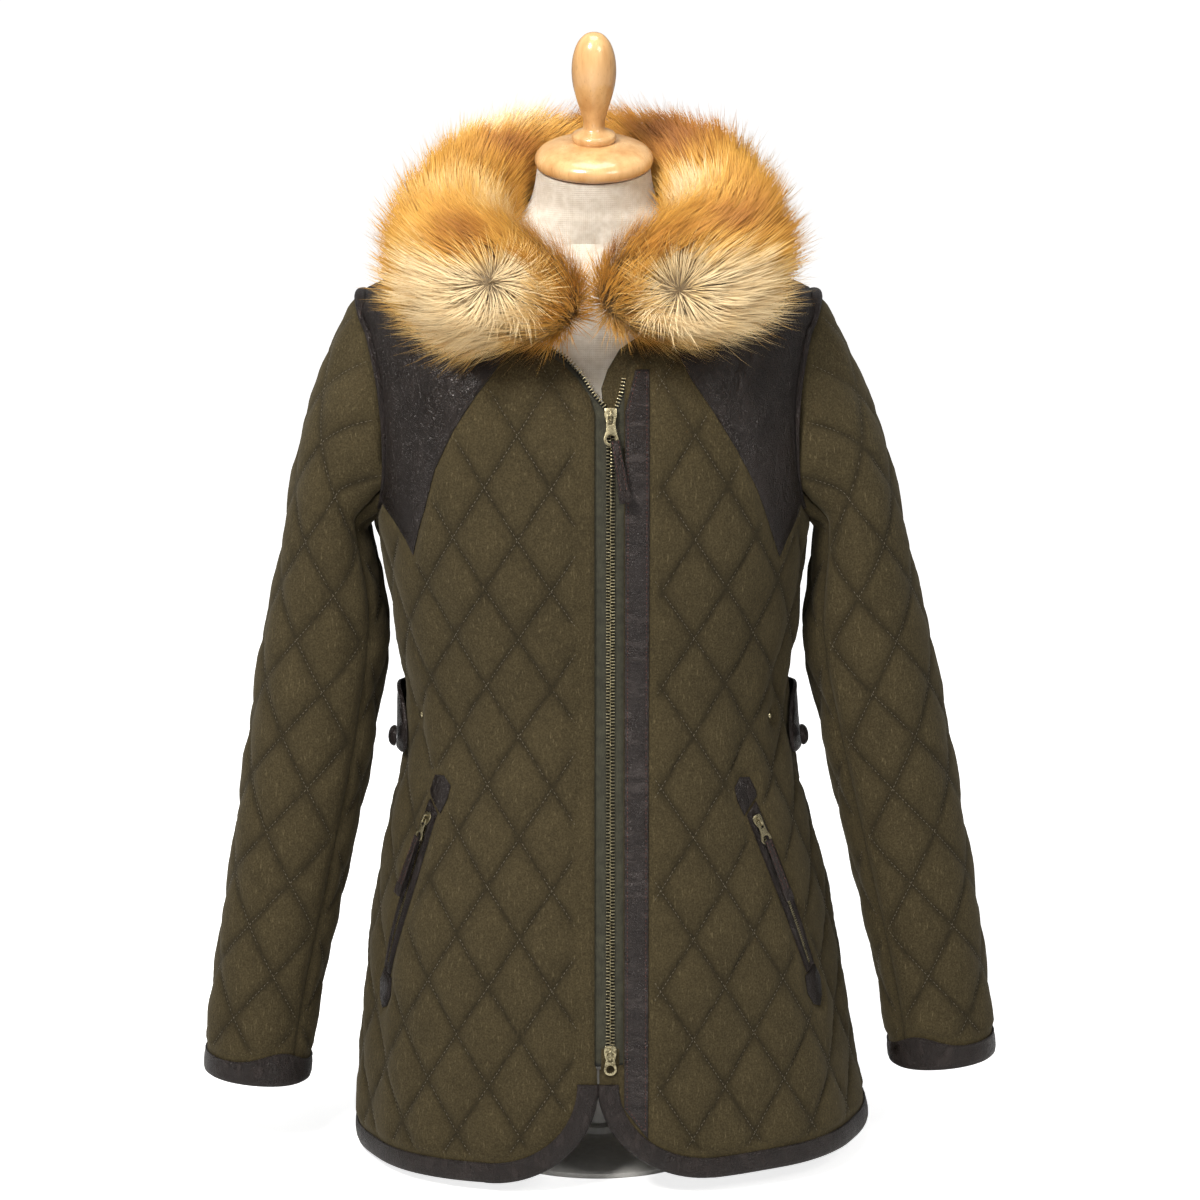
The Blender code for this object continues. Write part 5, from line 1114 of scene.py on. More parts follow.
def makeBeech():
    material, tree, shader, place = startMaterial("beechLacquer",
        {"Coat Weight": 0.7, "Coat Roughness": 0.08})
    grain = useGroup(tree, beechGrain, place)
    colour = mixed(tree, grain.outputs["Rings"], (0.58, 0.30, 0.105), (0.80, 0.50, 0.225))
    colour = mixed(tree, maths(tree, "MULTIPLY", grain.outputs["Flecks"], 0.45), colour,
        (0.36, 0.16, 0.05))
    tree.links.new(colour, shader.inputs["Base Color"])
    tree.links.new(ranged(tree, grain.outputs["Rings"], 0.0, 1.0, 0.34, 0.26), shader.inputs["Roughness"])
    bump(tree, shader, grain.outputs["Height"], 0.0002, 0.25)
    return material


def makeFormCloth():
    material, tree, shader, place = startMaterial("formCloth", {"Roughness": 0.9, "Sheen Weight": 0.15})
    weave = useGroup(tree, plainWeave, place, Thread_Scale=190.0)
    tree.links.new(mixed(tree, weave.outputs["Tone"], (0.66, 0.60, 0.50), (0.78, 0.73, 0.64)),
        shader.inputs["Base Color"])
    bump(tree, shader, weave.outputs["Height"], 0.0004, 0.6)
    return material


def makeStand():
    material, tree, shader, place = startMaterial("standPaint", {"Specular IOR Level": 0.5})
    speck = noise(tree, place, 240.0, 3.0)
    tree.links.new(mixed(tree, ranged(tree, speck, 0.3, 0.7), (0.74, 0.72, 0.68), (0.84, 0.82, 0.78)),
        shader.inputs["Base Color"])
    tree.links.new(ranged(tree, speck, 0.3, 0.7, 0.38, 0.5), shader.inputs["Roughness"])
    bump(tree, shader, speck, 0.0001, 0.3)
    return material


# Guard hairs: tone goes from cream through gold to rust, with a pale root and a dark tip
# shadow scales every colour down, giving a darker copy of the hair's material as painted shade
def makeFur(name, shadow=1.0):
    material, tree, shader, place = startMaterial(name, {"Roughness": 0.55, "Specular IOR Level": 0.22})
    tone = attribute(tree, "tone")
    along = attribute(tree, "along")
    shade = attribute(tree, "shade")
    patch = noise(tree, place, 30.0, 3.0, 0.6)
    mark = maths(tree, "ADD", tone, maths(tree, "MULTIPLY", maths(tree, "SUBTRACT", patch, 0.5), 0.55))
    ramp = addNode(tree, "ShaderNodeValToRGB", {"Fac": mark})
    stops = ((0.0, (0.88, 0.69, 0.40)), (0.20, (0.80, 0.54, 0.20)), (0.42, (0.68, 0.36, 0.066)),
        (0.72, (0.48, 0.205, 0.034)), (1.0, (0.30, 0.11, 0.026)))
    for k, (spot, colour) in enumerate(stops):
        element = ramp.color_ramp.elements[k] if k < 2 else ramp.color_ramp.elements.new(spot)
        element.position, element.color = spot, (*(c * shadow for c in colour), 1.0)
    root = mixed(tree, ranged(tree, along, 0.0, 0.50, 0.85, 0.0), ramp.outputs["Color"],
        (0.26 * shadow, 0.18 * shadow, 0.10 * shadow))
    tip = mixed(tree, ranged(tree, maths(tree, "MULTIPLY", along, shade), 0.62, 1.0, 0.0, 0.55), root,
        (0.34, 0.13, 0.04))
    tree.links.new(tip, shader.inputs["Base Color"])
    return material


wool = makeWool("woolLoden", (0.030, 0.0225, 0.0098), (0.066, 0.050, 0.0225), (0.150, 0.117, 0.058))
leather = makeLeather("leatherDark", (0.0085, 0.0064, 0.0056), (0.0175, 0.0132, 0.0116), 0.30,
    crease=52.0)
# The placket's much lighter base makes bright streaks on its stretched creases: painted highlight on its
# wrinkles
leatherCreased = makeLeather("leatherCreased", (0.0080, 0.0058, 0.0054), (0.0360, 0.0290, 0.0270), 0.30,
    620.0, 150.0, (0.30, 1.0, 1.0))
leatherTrim = makeLeather("leatherTrim", (0.0075, 0.0055, 0.0049), (0.0210, 0.0150, 0.0134), 0.30, 760.0,
    110.0)
woolThread = makeThread("threadOlive", (0.085, 0.068, 0.038), (0.150, 0.122, 0.075))
darkThread = makeThread("threadDark", (0.012, 0.008, 0.007), (0.034, 0.022, 0.018))
redThread = makeThread("threadRusset", (0.060, 0.016, 0.010), (0.150, 0.038, 0.024))
tape = makeTape("zipTape", (0.026, 0.024, 0.012), (0.046, 0.043, 0.024))
brass = makeBrass("brassAged", (0.10, 0.080, 0.044), (0.54, 0.475, 0.295), 0.26)
beech, formCloth, standPaint = makeBeech(), makeFormCloth(), makeStand()
# The pelt under the hair uses the hair's colours at 0.55: painted shade beneath the hair
fur, furSkin = makeFur("foxHair"), makeFur("foxUnderlayer", 0.55)
print("materials")


def addObject(name, data):
    piece = bpy.data.objects.new(name, data)
    bpy.context.scene.collection.objects.link(piece)
    return piece


def setValues(mesh, name, values):
    mesh.attributes.new(name, "FLOAT", "POINT").data.foreach_set("value", np.asarray(values, np.float32))


def addMesh(name, verts, faces, material, smoothAngle=50.0, uv=None):
    mesh = bpy.data.meshes.new(name)
    mesh.from_pydata([tuple(map(float, v)) for v in verts], [], [tuple(map(int, f)) for f in faces])
    mesh.materials.append(material)
    mesh.validate()
    mesh.polygons.foreach_set("use_smooth", [True] * len(mesh.polygons))
    mesh.set_sharp_from_angle(angle=math.radians(smoothAngle))
    if uv is not None:
        layer = mesh.uv_layers.new(name="flat")
        corner = np.zeros(len(mesh.loops), int)
        mesh.loops.foreach_get("vertex_index", corner)
        layer.data.foreach_set("uv", np.asarray(uv, np.float32)[corner].ravel())
    return addObject(name, mesh)


def place(piece, slot, replaced=(), rides=coatBody):
    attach(piece, rides)
    if replaced:
        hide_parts(*replaced)
    return piece


def recalculate(piece, mergeWithin=0.0):
    form = bmesh.new()
    form.from_mesh(piece.data)
    if mergeWithin:
        bmesh.ops.remove_doubles(form, verts=form.verts, dist=mergeWithin)
    bmesh.ops.recalc_face_normals(form, faces=form.faces)
    form.to_mesh(piece.data)
    form.free()
    return piece


def closeWall(name, outer, outerFaces, inner, innerFaces, rims, material, uv=None):
    offset = len(outer)
    faces = [tuple(f) for f in np.asarray(outerFaces).tolist()]
    faces += [(f[2] + offset, f[1] + offset, f[0] + offset) for f in np.asarray(innerFaces).tolist()]
    for high, low in rims:
        for k in range(len(high)):
            a, b = high[k], high[(k + 1) % len(high)]
            c, d = low[(k + 1) % len(low)] + offset, low[k] + offset
            faces += [(b, a, d), (b, d, c)]
    return addMesh(name, np.vstack([outer, inner]), faces, material, uv=uv)


def sweep(name, sections, material, closed=False, smoothAngle=50.0):
    sections = np.asarray(sections, float)
    rows, size = sections.shape[:2]
    faces = []
    for r in range(rows if closed else rows - 1):
        s = (r + 1) % rows
        for k in range(size):
            m = (k + 1) % size
            faces.append((r * size + k, r * size + m, s * size + m, s * size + k))
    if not closed:
        faces.append(tuple(range(size))[::-1])
        faces.append(tuple((rows - 1) * size + k for k in range(size)))
    piece = addMesh(name, sections.reshape(-1, 3), faces, material, smoothAngle)
    recalculate(piece)
    piece.data.set_sharp_from_angle(angle=math.radians(smoothAngle))
    return piece


# A turned solid from rows of (radius, height), bottom to top
def turned(name, profile, material, place, steps=64):
    rows = [(max(r, 0.0), h) for r, h in profile]
    turns = np.linspace(0, 2 * math.pi, steps + 1)[:-1]
    verts, faces = [], []
    for r, h in rows:
        verts += [(r * math.cos(t), r * math.sin(t), h) for t in turns]
    for k in range(len(rows) - 1):
        for j in range(steps):
            m = (j + 1) % steps
            faces.append((k * steps + j, k * steps + m, (k + 1) * steps + m, (k + 1) * steps + j))
    faces.append(tuple(range(steps))[::-1])
    faces.append(tuple((len(rows) - 1) * steps + j for j in range(steps)))
    verts = [tuple(place @ Vector(v)) for v in verts]
    piece = addMesh(name, verts, faces, material, 38.0)
    recalculate(piece, 0.000004)
    piece.data.set_sharp_from_angle(angle=math.radians(38.0))
    return piece


# A flat plate with bevelled edges and holes, in the frame's first two axes
def plate(name, outline, holes, thick, bevelSize, material, frameMatrix):
    shape = bpy.data.curves.new(name, "CURVE")
    shape.dimensions, shape.fill_mode = "2D", "BOTH"
    shape.extrude, shape.bevel_depth, shape.bevel_resolution = thick / 2 - bevelSize, bevelSize, 2
    shape.offset = -bevelSize
    for row in [outline, *holes]:
        line = shape.splines.new("POLY")
        line.points.add(len(row) - 1)
        for point, (x, y) in zip(line.points, row):
            point.co = (x, y, 0.0, 1.0)
        line.use_cyclic_u = True
    flatShape = addObject(name + "_flat", shape)
    bpy.context.view_layer.update()
    mesh = bpy.data.meshes.new_from_object(flatShape.evaluated_get(bpy.context.evaluated_depsgraph_get()))
    bpy.data.objects.remove(flatShape, do_unlink=True)
    mesh.name = name
    mesh.materials.clear()
    mesh.materials.append(material)
    mesh.transform(frameMatrix)
    piece = addObject(name, mesh)
    recalculate(piece, 0.000002)
    piece.data.polygons.foreach_set("use_smooth", [True] * len(piece.data.polygons))
    piece.data.set_sharp_from_angle(angle=math.radians(50))
    return piece


def joined(name, parts):
    verts, faces, base = [], [], 0
    for part in parts:
        verts += [tuple(v.co) for v in part.data.vertices]
        faces += [tuple(v + base for v in f.vertices) for f in part.data.polygons]
        base = len(verts)
    material = parts[0].data.materials[0]
    for part in parts:
        bpy.data.objects.remove(part, do_unlink=True)
    return addMesh(name, verts, faces, material)


# Ends a tree by turning its copies into one mesh with the given finish
def paintCopies(tree, given, made, copies):
    solid = addNode(tree, "GeometryNodeRealizeInstances", {0: copies.outputs[0]})
    painted = addNode(tree, "GeometryNodeSetMaterial",
        {"Geometry": solid.outputs[0], "Material": given["Finish"]})
    tree.links.new(painted.outputs[0], made[0])
    return tree


# What repeats is a small unit set along paths, whose points each know their way out
def makeRowTree():
    tree, given, made = startGroup("repeatAlongPath", "GeometryNodeTree",
        [("Geometry", "Geometry"), ("Unit", "Object"), ("Spacing", "Float", 0.003),
            ("Wobble", "Float", 0.0), ("Seed", "Int", 1), ("Finish", "Material")],
        [("Geometry", "Geometry")])
    tree.is_modifier = True
    line = addNode(tree, "GeometryNodeMeshToCurve", {"Mesh": given["Geometry"]})
    spots = addNode(tree, "GeometryNodeResampleCurve",
        {"Curve": line.outputs[0], "Length": given["Spacing"]}, mode="LENGTH")
    out = addNode(tree, "GeometryNodeInputNamedAttribute", {"Name": "out"}, data_type="FLOAT_VECTOR")
    shake = randomVector(tree, given["Wobble"], given["Seed"])
    tangent = addNode(tree, "GeometryNodeInputTangent").outputs[0]
    way = vectorMaths(tree, "ADD", tangent, shake)
    turn = addNode(tree, "FunctionNodeAxesToRotation", {0: way, 1: out.outputs["Attribute"]},
        primary_axis="X", secondary_axis="Z")
    unitShape = addNode(tree, "GeometryNodeObjectInfo", {"Object": given["Unit"]})
    copies = addNode(tree, "GeometryNodeInstanceOnPoints",
        {"Points": spots.outputs[0], "Instance": unitShape.outputs["Geometry"],
            "Rotation": turn.outputs[0]})
    return paintCopies(tree, given, made, copies)


def applyTree(piece, tree, values):
    live = piece.modifiers.new("repeat", "NODES")
    live.node_group = tree
    known = {item.name: item.identifier for item in tree.interface.items_tree if item.in_out == "INPUT"}
    for key, value in values.items():
        live[known[key]] = value
    bpy.context.view_layer.update()
    mesh = bpy.data.meshes.new_from_object(piece.evaluated_get(bpy.context.evaluated_depsgraph_get()))
    name = piece.name
    piece.modifiers.remove(live)
    bpy.data.objects.remove(piece, do_unlink=True)
    mesh.name = name
    return addObject(name, mesh)


rowTree = makeRowTree()


# paths is a list of (points, ways out), each an array of rows
def alongPaths(name, paths, unitPiece, spacing, material, wobble=0.0, seed=1):
    verts, edges, outs = [], [], []
    for points, ways in paths:
        base = len(verts)
        verts += [tuple(map(float, p)) for p in points]
        outs += [tuple(map(float, w)) for w in ways]
        edges += [(base + k, base + k + 1) for k in range(len(points) - 1)]
    mesh = bpy.data.meshes.new(name)
    mesh.from_pydata(verts, edges, [])
    mesh.attributes.new("out", "FLOAT_VECTOR", "POINT").data.foreach_set("vector",
        np.array(outs, np.float32).ravel())
    carrier = addObject(name, mesh)
    return applyTree(carrier, rowTree, {"Unit": unitPiece, "Spacing": spacing, "Wobble": wobble,
        "Seed": seed, "Finish": material})


# A row of flat points, which may be broken by None, as paths on a surface
def pathsOn(surface, row, height):
    parts, part = [], []
    for point in list(row) + [None]:
        if point is None:
            if len(part) > 1:
                parts.append(part)
            part = []
        else:
            part.append(point)
    result = []
    for part in parts:
        part = np.array(part)
        angle, level = surface.locate(part[:, 0], part[:, 1])
        result.append((surface.lift(angle, level, height), surface.normal(angle, level)))
    return result


def makeStitchUnit(name, length, width, material):
    half, side, high = length / 2, width / 2, width * 0.42
    verts = [(-half, 0, 0), (half, 0, 0), (0, side, 0), (0, -side, 0), (0, 0, high), (0, 0, -high)]
    faces = [(0, 3, 4), (3, 1, 4), (1, 2, 4), (2, 0, 4), (3, 0, 5), (1, 3, 5), (2, 1, 5), (0, 2, 5)]
    return addMesh(name, verts, faces, material, 80.0)


def makeToothUnit():
    outline = [(-0.0018, 0.00050), (-0.0018, -0.00050), (0.0004, -0.00050), (0.0010, -0.00038),
        (0.0015, -0.00050), (0.0019, -0.00032), (0.0020, 0.0), (0.0019, 0.00032), (0.0015, 0.00050),
        (0.0010, 0.00038), (0.0004, 0.00050)]
    rows = [(-0.00085, 1.0), (0.00065, 1.0), (0.00100, 0.72)]
    verts = [(y * s, x * s + 0.0001 * (1 - s), z) for z, s in rows for x, y in outline]
    count, faces = len(outline), []
    for r in range(2):
        for k in range(count):
            m = (k + 1) % count
            faces.append((r * count + k, r * count + m, (r + 1) * count + m, (r + 1) * count + k))
    faces += [tuple(range(count))[::-1], tuple(2 * count + k for k in range(count))]
    unitPiece = addMesh("toothUnit", verts, faces, brass, 40.0)
    return recalculate(unitPiece)


woolStitch = makeStitchUnit("woolStitchUnit", 0.0026, 0.00062, woolThread)
fineStitch = makeStitchUnit("fineStitchUnit", 0.0024, 0.00050, darkThread)
tooth = makeToothUnit()
stitchPaths = {"wool": [], "dark": [], "russet": [], "tag": {}}


# The quilted cloth
quilting = {
    "width": 0.0526, "height": 0.0812, "row": 0.5357, "puff": 0.0034, "splitBody": 14, "splitSleeve": 12,
}


class Quilt:

    def __init__(self, across, up):
        self.across, self.up = across, up
        self.width, self.height = quilting["width"], quilting["height"]

    # Where a point lies between seams, one number for each way the seams run
    def cell(self, points):
        points = np.asarray(points)
        i = (points[:, 0] - self.across) / (self.width / 2)
        j = (points[:, 1] - self.up) / (self.height / 2)
        return (i + j) / 2, (i - j) / 2

    def dome(self, points):
        u, w = self.cell(points)
        a, b = u % 1.0 * 2 - 1, w % 1.0 * 2 - 1
        return (np.clip(1 - a * a, 0, 1) * np.clip(1 - b * b, 0, 1)) ** 0.55

    # Mask for painted shade in the quilting: one in the bottom of a seam's groove, none on the swell
    # beside it
    def paintedGrooveShade(self, points):
        side = math.hypot(self.width, self.height) / 2 * math.sin(2 * math.atan2(self.width, self.height))
        near = [np.abs(a - np.round(a)) * side for a in self.cell(points)]
        return np.clip(sum(0.66 * np.exp(-(n / 0.0016) ** 2) + 0.34 * np.exp(-(n / 0.0060) ** 2)
            for n in near), 0, 1)

    # Small gathers that the thread draws up across each seam
    def gathers(self, points, seed):
        u, w = self.cell(points)
        side = math.hypot(self.width, self.height) / 2
        total = np.zeros(len(points))
        for a, b in ((u, w), (w, u)):
            near = np.abs(a - np.round(a)) * side
            phase = np.sin(np.round(a) * 12.9898 + seed) * 40.0
            total += np.exp(-(near / 0.0060) ** 2) * np.sin(b * side * 2 * math.pi / 0.0105 + phase
                + 1.3 * np.sin(b * 17 + phase))
        return total

    def grid(self, outline, split):
        low, high = np.min(outline, axis=0), np.max(outline, axis=0)
        stepX, stepY = self.width / 2 / split, self.height / 2 / split
        sums = np.arange(int((low[0] - self.across) / stepX) - 1,
            int((high[0] - self.across) / stepX) + 2)
        gaps = np.arange(int((low[1] - self.up) / stepY) - 1, int((high[1] - self.up) / stepY) + 2)
        s, d = np.meshgrid(sums, gaps)
        s, d = s[(s + d) % 2 == 0], d[(s + d) % 2 == 0]
        return np.column_stack([self.across + s * stepX, self.up + d * stepY])

    # The seams themselves, as flat rows broken where the cloth isn't quilted
    def seams(self, outline, room):
        low, high = np.min(outline, axis=0), np.max(outline, axis=0)
        corners = np.array([(x, y) for x in (low[0], high[0]) for y in (low[1], high[1])])
        u, w = self.cell(corners)
        rows = []
        for ends, flip in ((u, 1), (w, -1)):
            for k in range(int(ends.min()) - 1, int(ends.max()) + 2):
                up = np.arange(low[1], high[1], 0.0018)
                across = self.across + self.width / 2 * (2 * k
                    - flip * (up - self.up) / (self.height / 2))
                row = np.column_stack([across, up])
                row = row[(across > low[0]) & (across < high[0])]
                if len(row) < 5:
                    continue
                free = room(row) > 0.0052
                rows += [tuple(p) if f else None for p, f in zip(row, free)] + [None]
        return rows


# The quilting fades out towards the yoke, where the wadding lies flat
def softBand(points):
    return 1 - 0.45 * smooth((points[:, 2] - 0.600) / 0.070)


def clothPiece(name, surface, outline, quilt, flats, split, seed, replaced):
    rim = dense(outline, 0.0032)

    def room(points):
        result = depthInside(points, outline)
        for flat in flats:
            result = np.minimum(result, -depthInside(points, flat))
        return result

    points = quilt.grid(outline, split)
    points = points[depthInside(points, outline) > 0.0021]
    verts, faces, _ = triangulate(rim, points, [])
    depth = depthInside(verts, outline)
    free = smooth(depth / 0.011)
    for flat in flats:
        free = free * smooth(-depthInside(verts, flat) / 0.008)
    angle, level = surface.locate(verts[:, 0], verts[:, 1])
    ground = surface.point(angle, level)
    soft = 0.00034 * waves(ground, 0.026, seed) + 0.00022 * waves(ground, 0.011, seed + 1)
    quilted = smooth((room(verts) - 0.004) / 0.006) * softBand(ground)
    height = (coat["cloth"] * (0.55 + 0.45 * smooth(depth / 0.0030)) + free * (
        quilting["puff"] * (0.35 + 0.65 * softBand(ground)) * quilt.dome(verts)
        * (1 + 0.12 * waves(ground, 0.09, seed + 2))
        + soft + 0.00034 * quilt.gathers(verts, seed) * softBand(ground)))
    outer = ground + surface.normal(angle, level) * height[:, None]
    backPoints = spread(outline, 0.022)
    backVerts, backFaces, _ = triangulate(rim, backPoints, [])
    inner = surface.place(backVerts, 0.0)
    rimHigh = max(loops(faces), key=len)
    rimLow = max(loops(backFaces), key=len)
    start = min(range(len(rimLow)), key=lambda k: np.sum((backVerts[rimLow[k]] - verts[rimHigh[0]]) ** 2))
    rimLow = rimLow[start:] + rimLow[:start]
    if len(rimHigh) != len(rimLow):
        raise RuntimeError(f"{name}: the rims differ, {len(rimHigh)} and {len(rimLow)}")
    uv = np.vstack([verts, backVerts])
    piece = closeWall(name, outer, faces, inner, backFaces, [(rimHigh, rimLow)], wool, uv)
    # Painted shade: the seam attribute darkens the grooves and a thin band along the piece's edge
    paintedGrooveShade = np.zeros(len(uv))
    paintedGrooveShade[:len(verts)] = quilt.paintedGrooveShade(verts) * quilted + 0.55 * np.exp(-(depth / 0.0016) ** 2)
    setValues(piece.data, "seam", np.clip(paintedGrooveShade, 0, 1))
    place(piece, "wool", replaced)
    for points, ways in pathsOn(surface, quilt.seams(outline, room), coat["cloth"] + 0.0001):
        stitchPaths["wool"].append((points, ways))
    print(name, len(piece.data.polygons))
    return piece


# Thin leather that lies on the cloth
def leatherPiece(name, surface, outline, replaced, material=None, low=None, thick=None, step=0.0060,
        dent=0.00030, swell=0.0, seed=3, slot="leather", crumple=0.00045, shape=None, extra=(),
        ripple=0.0, rimShade=0.0):
    low = coat["cloth"] + coat["gap"] if low is None else low
    thick = coat["leather"] if thick is None else thick
    rim = dense(outline, 0.0030)
    rows = [p for d in (0.0008, 0.0022, 0.0036) for p in insetRow(outline, d) if p is not None]
    inside = [p for p in spread(outline, step) if depthInside([p], outline)[0] > 0.0055]
    verts, faces, _ = triangulate(rim, rows + inside + list(extra), [])
    depth = depthInside(verts, outline)
    angle, level = surface.locate(verts[:, 0], verts[:, 1])
    ground = surface.point(angle, level)
    crown = (thick * (0.50 + 0.50 * smooth(depth / 0.0009))
        - dent * np.exp(-((depth - 0.0022) / 0.0008) ** 2))
    crown += (swell * smooth(depth / 0.006)
        + crumple * smooth(depth / 0.008) * (1 + waves(ground, 0.045, seed)))
    if ripple:
        ripples = waves(np.asarray(verts) * (0.30, 1.0), 0.013, seed + 2)
        crown += ripple * smooth(depth / 0.005) * (0.7 + ripples)
    if shape is not None:
        crown = shape(verts, depth, crown)
    out = surface.normal(angle, level)
    rimRow = [(row, row) for row in loops(faces)]
    piece = closeWall(name, ground + out * (low + crown)[:, None], faces, ground + out * low, faces,
        rimRow, material or leather, np.vstack([verts, verts]))
    # rimShade paints shade: a darker band within that distance of the outline, stored in the seam
    # attribute
    if rimShade:
        setValues(piece.data, "seam", np.tile(np.clip(1.3 * np.exp(-(depth / rimShade) ** 4), 0, 1), 2))
    place(piece, slot, replaced)
    return piece


sideNames = {-1: "right", 1: "left"}
print("cloth")

for side in (-1, 1):
    label = sideNames[side]
    outline = frontOutline(side)
    pockets = pocketOutlines(side)
    patch = patchFront(side)
    binding = bottomEdge(side, 0.0016) + bottomEdge(side, hemShape["binding"])[::-1]
    stud = circle(*seen(frontShape["studs"][side])[0], 0.0045, 12)
    flats = [patch, binding, stud, *pockets.values()]
    if side > 0:
        placket = placketOutline()
        flats.append(placket)
    else:
        rise = np.linspace(0.1130, 0.6280, 20)
        flats.append([(-0.0136, z) for z in rise[::-1]] + [(-0.0225, z) for z in rise])
    clothPiece(f"front_{label}_cloth", body, outline,
        Quilt(frontShape["quiltAcross"][side], quilting["row"]),
        flats, quilting["splitBody"], 11 + side, [f"front_{label}"])
    leatherPiece(f"shoulder_patch_{label}_leather", body, patch, [f"shoulder_patch_{label}"],
        seed=21 + side, step=0.0045)
    stitchPaths["dark"] += pathsOn(body, insetRow(patch, 0.0022), leatherTop)
    for kind in ("pocket_top_patch", "pocket_end_patch"):
        leatherPiece(f"{kind}_{label}_leather", body, pockets[kind], [f"{kind}_{label}"], step=0.004,
            swell=0.0007, seed=5)
        stitchPaths["dark"] += pathsOn(body, insetRow(pockets[kind], 0.0018, 0.0015), leatherTop + 0.0002)
    if side > 0:
        leatherPiece("placket_strip_leather", body, placket, ["placket_strip"], material=leatherCreased,
            seed=9, crumple=0.00030, ripple=0.00042, step=0.0026)
        stitchPaths["russet"] += pathsOn(body, insetRow(placket, 0.0022), leatherTop)

backHemRow = backHem()
neckEnds = backSide(-1)[-1][0], backSide(1)[-1][0]
backOutline = (backHemRow[1:-1] + backSide(-1)
    + [(a, backNeck) for a in np.linspace(*neckEnds, 40)[1:-1]] + backSide(1)[::-1])
backBinding = backHem(0.0016, 0.0012) + backHem(hemShape["binding"], 0.0012)[::-1]
backPatches = {side: patchBack(side) for side in (-1, 1)}
clothPiece("back_cloth", bodyBack, backOutline, Quilt(0.0, quilting["row"]),
    [backBinding, *backPatches.values()], quilting["splitBody"], 17, ["back"])
for side, patch in backPatches.items():
    label = sideNames[side]
    leatherPiece(f"shoulder_patch_back_{label}_leather", bodyBack, patch,
        [f"shoulder_patch_back_{label}"], seed=31 + side)
    stitchPaths["dark"] += pathsOn(bodyBack, insetRow(patch, 0.0022), leatherTop)


for side in (-1, 1):
    label, sleeve = sideNames[side], sleeves[side]
    for kind, start, end in (("top_sleeve", sleeveShape["frontSeam"], sleeveShape["backSeam"]),
            ("under_sleeve", sleeveShape["backSeam"] - 2 * math.pi, sleeveShape["frontSeam"])):
        if side < 0:
            start, end = -end, -start
        middle = float(sleeve.flat((start + end) / 2, 0.3)[0])
        clothPiece(f"{kind}_{label}_cloth", sleeve, sleeveOutline(side, start, end), Quilt(middle, 0.300),
            [sleeveBand(side, start, end)], quilting["splitSleeve"], 41 + side, [f"{kind}_{label}"])

print("leather trims")


# Leather folded round the hem: outside, under the edge and a little way up inside
def hemBinding(name, surface, edgeAt, replaced):
    profile = ((0.0155, 0.0025), (0.0156, 0.0033), (0.0150, 0.0038), (0.0138, 0.0036), (0.0110, 0.0042),
        (0.0060, 0.0044), (0.0020, 0.0040), (-0.0006, 0.0030), (-0.0016, 0.0012), (-0.0010, -0.0006),
        (0.0010, -0.0015), (0.0060, -0.0017), (0.0110, -0.0015), (0.0118, -0.0009), (0.0110, -0.0003),
        (-0.0003, -0.0003), (-0.0004, 0.0025))
    rows = [np.array(edgeAt(lift)) for lift, _ in profile]
    count = min(len(row) for row in rows)
    sections = []
    for row, (_, height) in zip(rows, profile):
        angle, level = surface.locate(row[:count, 0], row[:count, 1])
        wave = 0.00022 * waves(surface.point(angle, level), 0.03, 8) if height > 0.0026 else 0.0
        sections.append(surface.lift(angle, level, height + wave))
    piece = sweep(name, np.stack(sections, axis=1), leatherTrim)
    place(piece, "leather", replaced)
    return piece


for side in (-1, 1):
    label = sideNames[side]
    hemBinding(f"hem_binding_{label}_leather", body,
        lambda lift: bottomEdge(side, lift if lift else 1e-6), [f"hem_binding_{label}"])
    stitchPaths["dark"] += pathsOn(body, [tuple(p) for p in resample(bottomEdge(side, 0.0138), 0.003)],
        0.0038)
hemBinding("hem_binding_back_leather", bodyBack, lambda lift: backHem(lift, 0.0012), ["hem_binding_back"])
stitchPaths["dark"] += pathsOn(bodyBack, [tuple(p) for p in resample(backHem(0.0138, 0.002), 0.003)],
    0.0038)

cuffTurnsFine = np.linspace(0, 2 * math.pi, 109)[:-1]
for side in (-1, 1):
    label, sleeve = sideNames[side], sleeves[side]
    cut, band = cuffShape["cut"][side], cuffBand(side, cuffTurnsFine)
    under = coat["cloth"] + 2 * coat["gap"]
    zero = np.zeros(cuffTurnsFine.shape)
    profile = ((band, under), (band + 0.0001, under + 0.0008), (band - 0.0006, under + 0.0012),
        (band - 0.0020, under + 0.0009), (band * 0.6, under + 0.0015), (zero + 0.0030, under + 0.0015),
        (zero - 0.0004, under + 0.0008), (zero - 0.0016, under - 0.0008), (zero - 0.0014, 0.0004),
        (zero - 0.0004, 0.0), (zero - 0.0004, under))
    sections = []
    for k, (lift, height) in enumerate(profile):
        level = np.full(cuffTurnsFine.shape, cut) + lift
        wave = 0.00025 * waves(sleeve.point(cuffTurnsFine, level), 0.028, 14) if 2 < k < 7 else 0.0
        sections.append(sleeve.lift(cuffTurnsFine, level, height + wave))
    piece = sweep(f"cuff_binding_{label}_leather", np.stack(sections, axis=1), leatherTrim, closed=True)
    place(piece, "leather", [f"cuff_binding_{label}"])
    turns = np.append(cuffTurnsFine, 2 * math.pi)
    level = cut + cuffBand(side, turns) - 0.0020
    stitchPaths["dark"].append((sleeve.lift(turns, level, under + 0.0010), sleeve.normal(turns, level)))


